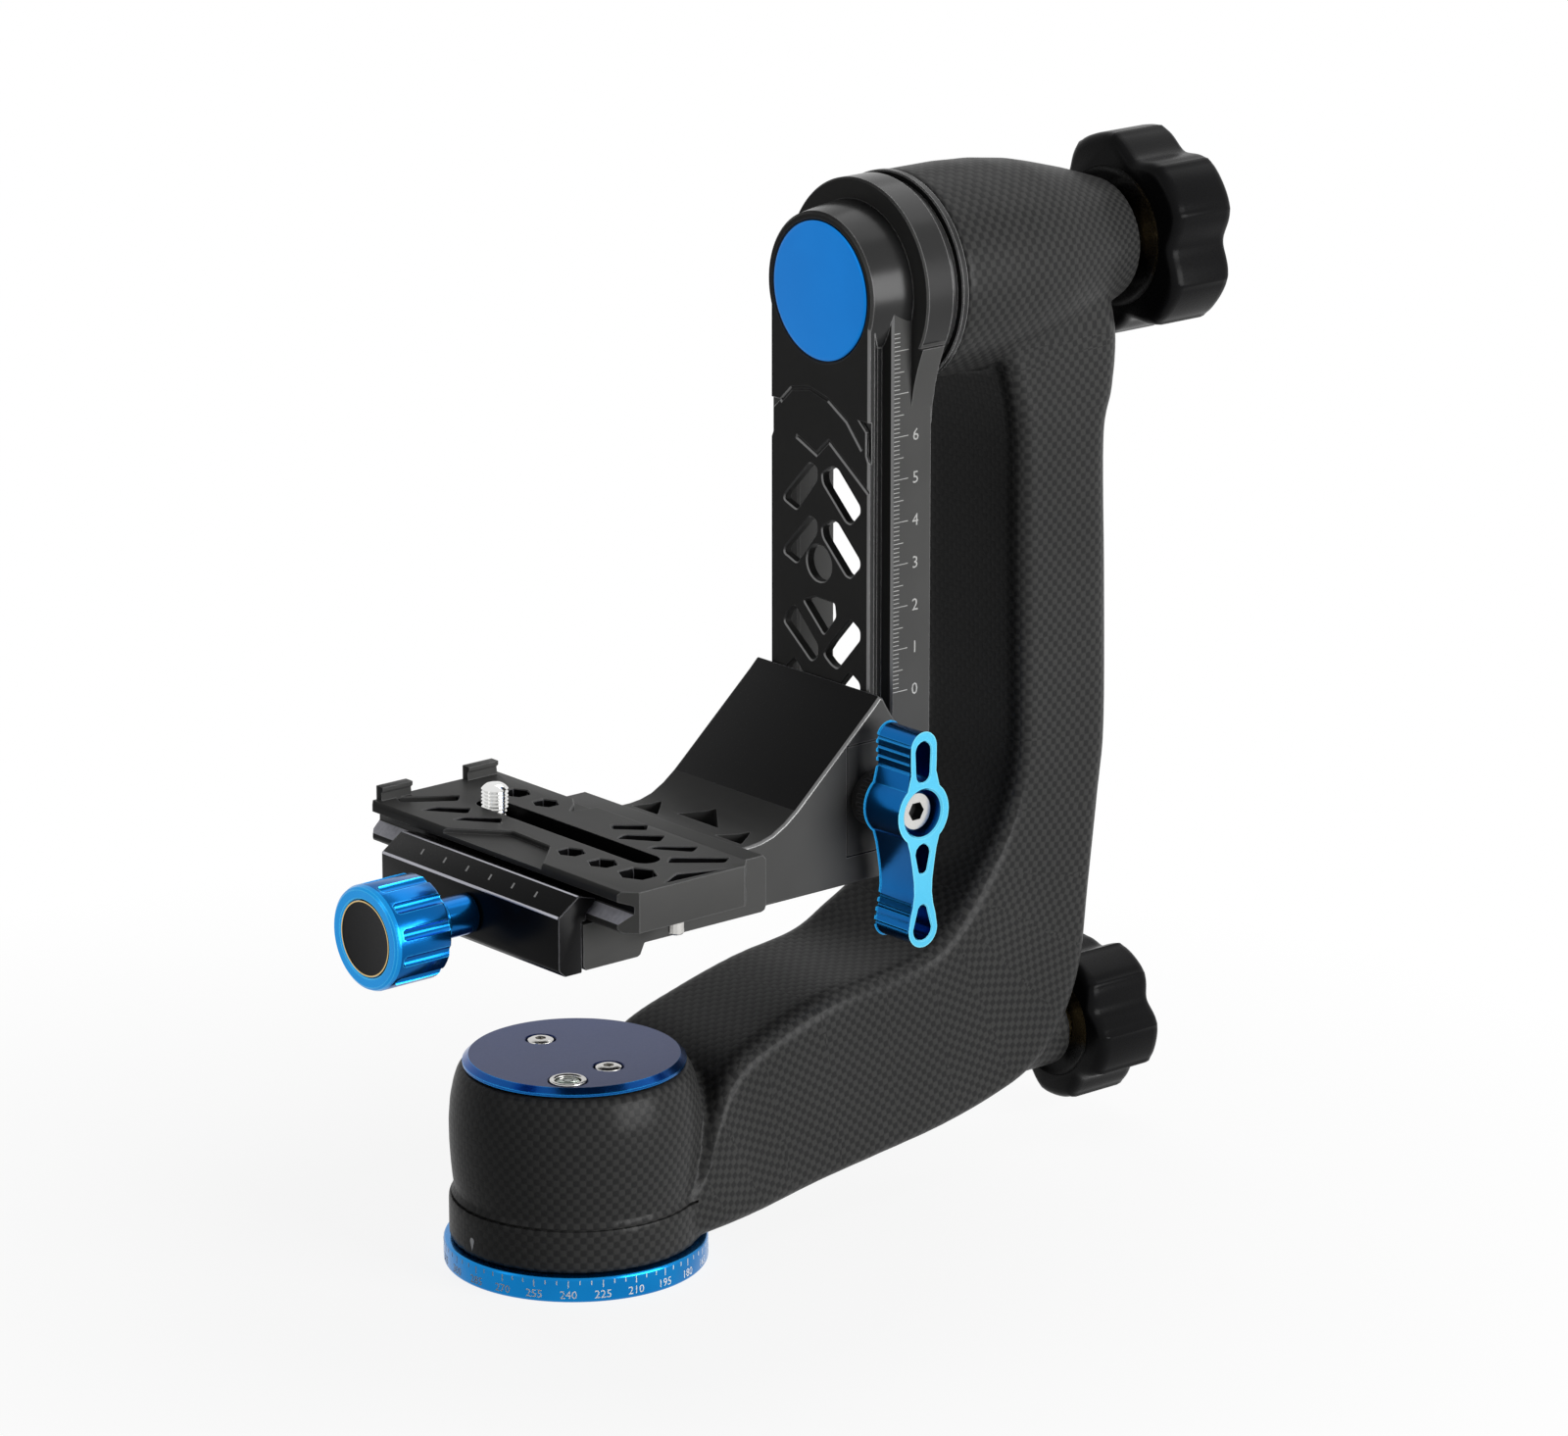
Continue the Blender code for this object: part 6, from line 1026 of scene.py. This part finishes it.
right_side = arc((0, 15.5), 3.5, 90, 0) + [(3.5, 12.2), (3.4, 9.6)] + arc((0, 0), 7.25, 52, -52, 12)
right_side += [(3.6, -8.6), (2.9, -12.5), (2.4, -16.0), (2.3, -19.0), (2.7, -21.8), (3.4, -24.2)]
right_side += arc((0, -27.45), 3.95, 0, -90)
lever_line = at_lever(right_side) + at_lever(right_side[-2:0:-1], -1)
slots = [arc((0, 14.7), 2.25, 0, 180) + arc((0, 9.4), 2.0, 180, 360),
         arc((0, -9.4), 2.1, 0, 180, 6) + arc((0, -12.9), 1.3, 180, 360, 6),
         arc((0, -23.2), 1.45, 0, 180, 6) + arc((0, -27.4), 2.7, 180, 360)]
levels = [(-LEVER_ROUND, LEVER_BACK), (0, LEVER_BACK - LEVER_ROUND), (0, LEVER_FACE + 0.5),
          (-LEVER_ROUND, LEVER_FACE)]
lever = bridged([[placed("Y", point, y) for point in grown(lever_line, by)] for by, y in levels])
GRIPS = ((3.95, 16.3), (3.95, 14.2), (3.95, 12.1), (3.85, 10.0), (3.2, -21.4), (3.7, -23.5),
         (4.3, -25.6), (4.4, -27.7))
grips = [rod(0.7, "Y", (x, 0, z), LEVER_FACE + 0.9, LEVER_BACK + 1, 12)
         for side in (-1, 1) for x, z in at_lever(GRIPS, side)]
slots = [sunk(at_lever(outline), "Y", LEVER_FACE, LEVER_BACK + 1, 0.3) for outline in slots]
head_pocket = spun([(-41, 0), (-41, 6.1), (-40, 5.95), (-39.6, 5.5), (-32.0, 5.5), (-32.0, 2.5),
                    (-27, 2.5), (-27, 0)], "Y", LEVER_LINE, 64)
lever = cut(lever, gathered(grips), gathered(slots), head_pocket)
lever = made("locking_lever", lever, blue_anodised, "blue_aluminium", "rail_lever", "rail_lever",
             sharp=28)
# The front face and its chamfer get the painted highlight.
painted(lever, lever_highlight, lambda x, y, z, normal: normal.y < -0.6 and y < LEVER_FACE + 0.6)

SCREW_FACE, SOCKET_FLOOR, SOCKET_RADIUS = -37.5, -34.9, 2.3
screw = spun([(-0.3, 0), (-0.3, 2.2), (-32.3, 2.2), (-32.3, 4.6), (SCREW_FACE + 0.4, 4.6),
              (SCREW_FACE, 4.2), (SCREW_FACE, 0)], "Y", LEVER_LINE, 64)
hexagon = around((LEVER_X, LEVER_Z), SOCKET_RADIUS, 6)
screw = cut(screw, prism(hexagon, "Y", SCREW_FACE - 1, SOCKET_FLOOR))
screw = made("lever_cap_screw", screw, steel, "stainless", "rail_lever", "lever_screw")
# The hex socket's walls and floor are darkened as painted shade.
painted(screw, print_and_shade_black,
        lambda x, y, z, normal: (math.hypot(x - LEVER_X, z - LEVER_Z) < SOCKET_RADIUS + 0.1
                                 and SCREW_FACE + 0.1 < y < SOCKET_FLOOR + 0.9))

# The quick-release clamp, in black aluminium. Its fixed half is screwed to the
# bracket's ledge, and its moving jaw slides on two steel pins. Both are undercut
# to grip the lens plate.
CLAMP_HALF, CLAMP_Z, GUIDE_Y = 32.0, 88.5, 20.0
CLAMP_LINE = (0, 0, CLAMP_Z)
fixed = [(-22.7, 82.3), (-21.7, 81.3), (-7.2, 81.3), (-6.4, 81.7), (-5.2, 84.2), (28.6, 84.2),
         (29.6, 84.6), (30.0, 85.6), (30.0, 96.6), (29.0, 97.6), (13.4, 97.6), (13.4, 96.9),
         (16.1, 94.2), (16.1, 92.1), (-22.7, 92.1)]
fixed = softened(prism(fixed, "Y", -CLAMP_HALF, CLAMP_HALF), 0.35, 2, 50)
drills = [rod(2.8, "X", CLAMP_LINE, -24, -8.7, 32)]
drills += [rod(2.3, "X", (0, y, CLAMP_Z), -24, -10.7, 32) for y in (-GUIDE_Y, GUIDE_Y)]
drills += [rod(2.1, "Z", (SCREW_LINE_X, y, 0), 83.2, 87.2, 32) for y in (-SCREW_LINE_Y, SCREW_LINE_Y)]
made("clamp_body", cut(fixed, gathered(drills)), satin_black, "black_aluminium", "cradle",
     "clamp_base")

BEVEL_LOW, BEVEL_TOP = (-29.6, 95.0), (-23.8, 98.9)
# A pale metal painted as a highlight along the two long edges of the jaw's bevel.
jaw_edge_highlight = grained("jaw_edge_highlight", (0.34, 0.34, 0.38), (0.50, 0.50, 0.55), 0.35, metallic=0.85)
moving = [(-29.6, 83.2), (-29.4, 82.5), (-27.9, 81.1), (-27.4, 81.0), (-23.0, 81.0), (-23.0, 92.8),
          (-21.8, 92.8), (-21.8, 94.2), (-19.1, 96.9), (-19.1, 97.6), BEVEL_TOP, BEVEL_LOW]
moving = softened(prism(moving, "Y", -CLAMP_HALF, CLAMP_HALF), 0.4, 2, 25)
moving = made("moving_jaw", cut(moving, rod(2.8, "X", CLAMP_LINE, -31, -22, 32)), jaw_and_shade_black,
              "black_aluminium", "clamp_jaw", "clamp_jaw")
# The faces along both edges of the bevel get the painted highlight.
painted(moving, jaw_edge_highlight,
        lambda x, y, z, normal: (abs(normal.y) < 0.2 and min(
            math.hypot(x - u, z - v) for u, v in (BEVEL_LOW, BEVEL_TOP)) < 0.6))
dressed(steel, "clamp_guide_pin_1", "clamp_guide_pin_2", "clamp_screw")

# A row of small pale marks is etched through the black of the jaw's bevel. They
# help to centre the plate by eye.
MARKS, MARK_STEP, MARK_SUNK, MARK_PROUD = 6, 8.2, 0.2, 0.03
bevel_foot = Vector((BEVEL_LOW[0], 0, BEVEL_LOW[1]))
bevel_along = Vector((BEVEL_TOP[0], 0, BEVEL_TOP[1])) - bevel_foot
bevel_out = Vector((-bevel_along.z, 0, bevel_along.x)).normalized()
marks = []
for n in range(MARKS):
    y = (n - (MARKS - 1) / 2) * MARK_STEP
    outline = [(y - 0.3, 0.42), (y + 0.3, 0.42), (y + 0.7, 0.64), (y + 0.2, 0.64)]
    marks.append(bridged([[bevel_foot + bevel_along * up + AXES["Y"] * along + bevel_out * out
                           for along, up in outline] for out in (-MARK_SUNK, MARK_PROUD)]))
made("bevel_marks", gathered(marks), etch_and_edge_highlight, "black_aluminium", "clamp_jaw")

# The plate lock's knob is turned from aluminium, fluted, and anodised bright
# blue. Its threaded rod pulls the jaw in, and a black disc closes its face.
KNOB_FRONT, KNOB_REAR, FLUTES, FLUTE_CIRCLE = -58.7, -43.3, 12, 12.5
FLUTE = [(-57.0, 0), (-56.6, 1.0), (-55.8, 1.5), (-43.0, 1.5), (-43.0, 0)]
knob_rim = grained("knob_rim_blue", (0.008, 0.230, 0.620), (0.014, 0.320, 0.760), 0.24,
                   metallic=0.95, edge_highlight=(0.100, 0.600, 0.900))
knob = spun([(KNOB_FRONT, 5.0), (KNOB_FRONT, 11.0), (-58.3, 11.6), (-57.4, 12.0), (-44.2, 12.0),
             (-43.6, 11.7), (KNOB_REAR, 11.2), (KNOB_REAR, 6.6), (-42.6, 6.2), (-39.2, 6.2),
             (-38.6, 5.6), (-38.6, 4.6), (-30.2, 4.6), (-29.9, 4.3), (-29.9, 2.8), (-56.9, 2.8),
             (-56.9, 5.0)], "X", CLAMP_LINE, 120)
flutes = [spun(FLUTE, "X", (0, *spot), 20)
          for spot in around((0, CLAMP_Z), FLUTE_CIRCLE, FLUTES, 180 / FLUTES)]
disc_pocket = spun([(-59, 0), (-59, 9.4), (KNOB_FRONT, 9.1), (-58.4, 8.8), (-57.4, 8.8),
                    (-57.4, 0)], "X", CLAMP_LINE, 72)
knob = made("fluted_knob", cut(knob, gathered(flutes), disc_pocket), blue_anodised,
            "blue_aluminium", "clamp_knob", "clamp_knob", sharp=28)
painted(knob, knob_rim, lambda x, y, z, normal: normal.x < -0.35 and x < KNOB_FRONT + 1.4)
disc = spun([(-57.7, 0), (-57.7, 8.6), (-58.3, 8.6), (-58.5, 8.3), (-58.35, 7.6), (-58.3, 0)],
            "X", CLAMP_LINE, 72)
made("knob_face_disc", disc, cap_plastic, "black_plastic", "clamp_knob", "clamp_knob_disc")
ring = spun([(-58.30, 8.62), (-58.56, 8.62), (-58.56, 8.32), (-58.30, 8.32)], "X", CLAMP_LINE, 72)
made("knob_face_ring", ring, brass, "black_plastic", "clamp_knob")

# The lens plate is milled from one aluminium bar: dovetailed edges, a long slot for
# the camera screw, lightening windows in rows, and two hooks at its far end.
PLATE_X, PLATE_NEAR, PLATE_FAR, PLATE_TOP, PLATE_HALF = -2.85, -45.7, 47.1, 101.9, 18.5
FLANK_LOW, FLANK_TOP, BAY_TOP = 94.2, 96.9, 97.2
BELOW_PLATE, ABOVE_PLATE = 91, 103
SLOT_X, SLOT_HALF, SLOT_REACH = -1.55, 3.4, 27.6
WINDOW_DEPTH, RECESS_DEPTH, HEX_STRETCH = 3.0, 1.2, 1.12
blasted_grey = grained("blasted_grey", (0.42, 0.42, 0.49), (0.92, 0.92, 1.0), 0.42, metallic=0.1,
                       bump=0.00006, scale=14.0)
side_line = [(17.6, 92.4), (PLATE_HALF, 93.3), (PLATE_HALF, FLANK_LOW), (15.8, FLANK_TOP),
             (15.8, 98.7), (PLATE_HALF, 99.5), (PLATE_HALF, 101.2), (17.8, PLATE_TOP)]
section = [(PLATE_X + u, v) for u, v in side_line + flipped(side_line)]
plate = softened(prism(section, "Y", PLATE_NEAR, PLATE_FAR), 0.2, 2, 40)
corners = []
for end, inward, length, width in ((PLATE_NEAR, 1, 4.5, 5.5), (PLATE_FAR, -1, 2.0, 3.0)):
    for side in (-1, 1):
        edge = PLATE_X + side * (PLATE_HALF + 1)
        corners.append(prism([(edge, end - inward), (edge, end + inward * length),
                              (edge - side * width, end - inward)], "Z", BELOW_PLATE, ABOVE_PLATE))
slot = arc((SLOT_X, SLOT_REACH), SLOT_HALF, 0, 180, 12)
slot += arc((SLOT_X, -SLOT_REACH), SLOT_HALF, 180, 360, 12)
screw_bay = box((PLATE_X - 6.2, -36, BELOW_PLATE), (PLATE_X + 6.2, 37, BAY_TOP))
deep = [[(-14.9, 44.8), (-3.9, 36.9), (-6.1, 34.6), (-16.1, 41.6)],
        [(-16.2, 33.3), (-13.0, 33.4), (-7.9, 27.7), (-10.3, 25.6)],
        [(-15.2, 22.9), (-13.0, 23.2), (-7.0, 17.3), (-9.2, 15.0)],
        [(9.1, -3.2), (14.6, -8.2), (12.4, -10.5), (7.5, -5.5)],
        [(3.9, -11.9), (6.6, -10.7), (12.3, -16.9), (9.3, -19.1)],
        [(4.4, -22.2), (6.2, -21.9), (12.7, -28.0), (10.0, -29.7)],
        [(1.2, -33.0), (3.8, -30.6), (12.8, -38.8), (10.2, -40.5)],
        [(-8.3, -43.6), (-2.7, -40.6), (6.9, -44.4)]]
deep = [rounded(grown(outline, 0.4), 0.8, 3) for outline in deep]
for (x, y), width in (((-10.6, -12.9), 6.2), ((-10.4, -23.8), 6.6), ((-9.4, -34.8), 8.6),
                      ((7.9, 30.4), 6.6), ((8.1, 19.7), 6.0)):
    deep.append([(x + u, y + v * HEX_STRETCH) for u, v in around((0, 0), width / 2, 6)])
shallow = [[(-22.5, 20.4), (-21.2, 19.7), (-11.0, 7.7), (-11.6, -6.4), (-20.8, -15.5),
            (-22.5, -16.0)],
           [(16.5, 19.9), (15.5, 19.1), (12.4, 14.7), (8.3, 11.2), (13.8, 9.8), (16.5, 10.2)]]
windows = [sunk(outline, "Z", PLATE_TOP, PLATE_TOP - WINDOW_DEPTH, 0.2) for outline in deep]
pin_holes = [rod(2.1, "Z", (PLATE_X, y, 0), 90, 95.7, 32) for y in (-40, 40)]
recesses = [sunk(rounded(outline, 0.6, 3), "Z", PLATE_TOP, PLATE_TOP - RECESS_DEPTH, 0.25)
            for outline in shallow]
plate = cut(plate, prism(slot, "Z", BELOW_PLATE, ABOVE_PLATE), screw_bay, *corners)
plate = cut(plate, gathered(windows + pin_holes), gathered(recesses))
HOOK_OUT, HOOK_HALF, HOOK_TOP = 12.4, 4.3, 105.2
hook_line = [(PLATE_FAR - 2.3, 101.5), (PLATE_FAR - 0.1, 101.5), (PLATE_FAR - 0.1, HOOK_TOP),
             (PLATE_FAR - 2.7, HOOK_TOP), (PLATE_FAR - 2.7, 104.2), (PLATE_FAR - 2.0, 103.6)]
hooks = [softened(prism(hook_line, "X", x - HOOK_HALF, x + HOOK_HALF), 0.2)
         for x in (PLATE_X - HOOK_OUT, PLATE_X + HOOK_OUT)]
plate = made("lens_plate_body", joined(plate, *hooks), satin_black, "black_aluminium",
             "lens_plate", "lens_plate")


def plate_flanks(x, y, z, normal):
    """The slanted flanks of the dovetail, which are blasted and left grey."""
    return (FLANK_LOW + 0.1 < z < FLANK_TOP - 0.1 and 0.4 < normal.z < 0.95
            and abs(normal.y) < 0.2)


def plate_window_walls(x, y, z, normal):
    """The walls and floors of the windows, which lie deep and get a darker black as painted shade."""
    return (BAY_TOP + 0.3 < z < PLATE_TOP - RECESS_DEPTH - 0.05
            and abs(x - PLATE_X) < PLATE_HALF - 1 and PLATE_NEAR + 0.7 < y < PLATE_FAR - 0.6)


painted(plate, blasted_grey, plate_flanks)
# The window interiors are darkened as painted shade.
painted(plate, jaw_and_shade_black, plate_window_walls)
dressed(steel, "plate_stop_pin_1", "plate_stop_pin_2")

# The camera screw is chromed steel. A sliding carrier under the slot keeps it in
# the plate, so it can stand anywhere along the slot.
SCREW_SPOT = Vector((SLOT_X, 26.2, 0))
THREAD_LOW, THREAD_PITCH, THREAD_RADIUS, THREAD_DEPTH = 99.1, 0.84, 3.1, 0.5
chrome = grained("chrome", (0.72, 0.72, 0.71), (0.86, 0.86, 0.85), 0.12, metallic=1.0)
screw = [(92.7, 0), (92.7, 4.4), (93.1, 4.8), (94.8, 4.8), (95.1, 4.5), (95.1, 2.1), (98.5, 2.1),
         (98.9, 2.5)]
screw += [(THREAD_LOW + n * THREAD_PITCH / 2, THREAD_RADIUS - THREAD_DEPTH * (n % 2))
          for n in range(17)]
screw += [(106.4, 2.6), (106.9, 1.9), (107.1, 1.0), (107.1, 0)]
coin_slot = box(SCREW_SPOT + Vector((-5.25, -0.5, 92)), SCREW_SPOT + Vector((5.25, 0.5, 93.6)))
made("camera_thread", cut(spun(screw, "Z", SCREW_SPOT, 64), coin_slot), chrome, "stainless",
     "camera_screw", "camera_screw")
dressed(liner_black, "screw_carrier")

# The studio is a wide white floor under soft light: a large lamp on the side of
# the rail, a weaker one behind, one overhead and a faint one on the left.
FLOOR_RADIUS, SHADOW_REACH, CLEAR_REACH, SHADOW_SHARE = 6.0, 0.08, 0.30, 0.88
stage = bmesh.new()
bmesh.ops.create_circle(stage, cap_ends=True, segments=96, radius=FLOOR_RADIUS)
floor = linked(mesh_of(stage, "studio_floor"), "studio_floor")


def seen_directly(tree):
    """A mask that is 1 for what the camera, a mirror or a pane of glass sees."""
    path = tree.nodes.new("ShaderNodeLightPath")
    rays = [path.outputs[label] for label in ("Is Camera Ray", "Is Glossy Ray",
                                              "Is Transmission Ray")]
    return math_node(tree, "MAXIMUM", math_node(tree, "MAXIMUM", rays[0], rays[1]), rays[2])


floor_finish, tree, matt, place = bare_material("white_floor")
fed(tree, matt, {
    "Base Color": mixed(tree, seen_directly(tree), (0.30, 0.30, 0.30), (0.90, 0.90, 0.90)),
    "Roughness": 0.9, "Specular IOR Level": 0.0})
glow = fed(tree, tree.nodes.new("ShaderNodeEmission"), {"Strength": 1.0})
reach = tree.nodes.new("ShaderNodeVectorMath")
reach.operation = "LENGTH"
fed(tree, reach, {0: place})
clearing = fed(tree, tree.nodes.new("ShaderNodeMapRange"), {
    "Value": reach.outputs["Value"], "From Min": SHADOW_REACH, "From Max": CLEAR_REACH,
    "To Min": SHADOW_SHARE})
glow_share = math_node(tree, "MULTIPLY", seen_directly(tree), clearing.outputs["Result"])
blend = fed(tree, tree.nodes.new("ShaderNodeMixShader"), {
    0: glow_share, 1: matt.outputs[0], 2: glow.outputs[0]})
fed(tree, tree.nodes["Material Output"], {"Surface": blend.outputs[0]})
floor.data.materials.append(floor_finish)

AMBIENT = 0.05
world = bpy.data.worlds.new("studio")
world.use_nodes = True
tree = world.node_tree
fed(tree, tree.nodes["Background"], {
    "Color": (1, 1, 1), "Strength": math_node(tree, "MAXIMUM", seen_directly(tree), AMBIENT)})
bpy.context.scene.world = world


def lamp(name, place, target, size, power):
    """A soft oblong lamp that points at a spot."""
    data = bpy.data.lights.new(name, "AREA")
    data.shape = "RECTANGLE"
    data.size, data.size_y = size
    data.energy = power
    light = linked(data, name)
    aim = (Vector(target) - Vector(place)).to_track_quat("-Z", "Y")
    light.matrix_world = Matrix.Translation(place) @ aim.to_matrix().to_4x4()
    return light


lamp("side_lamp", (0.40, -1.10, 0.24), (0.08, 0.0, 0.12), (0.8, 0.8), 18)
lamp("top_lamp", (0.60, 0.10, 0.95), (0.05, 0.0, 0.10), (0.8, 0.6), 2.0)
lamp("left_lamp", (-1.10, 0.25, 0.55), (0.0, 0.0, 0.10), (0.25, 0.9), 0.7)
back = lamp("back_lamp", (0.55, 1.15, 0.35), (0.08, 0.0, 0.12), (0.8, 0.8), 9)
back.visible_glossy = False

# The camera stands where the photograph was taken from, with a long lens. Its place
# and turn were solved from the dial's ellipse, the rail and the plate's edges.
CAMERA_PLACE = (-0.93479, -1.17409, 0.56875)
camera_data = bpy.data.cameras.new("camera")
camera_data.lens = 160.71
camera_data.sensor_width = 36.0
camera = linked(camera_data, "camera")
camera_right, camera_up = Vector((0.7622, -0.6473, 0.0)), Vector((0.1825, 0.2149, 0.9594))
camera_back = camera_right.cross(camera_up)
turned = Matrix((camera_right, camera_up, camera_back)).transposed()
camera.matrix_world = Matrix.Translation(CAMERA_PLACE) @ turned.to_4x4()
bpy.context.scene.camera = camera
bpy.context.scene.view_settings.view_transform = "Standard"
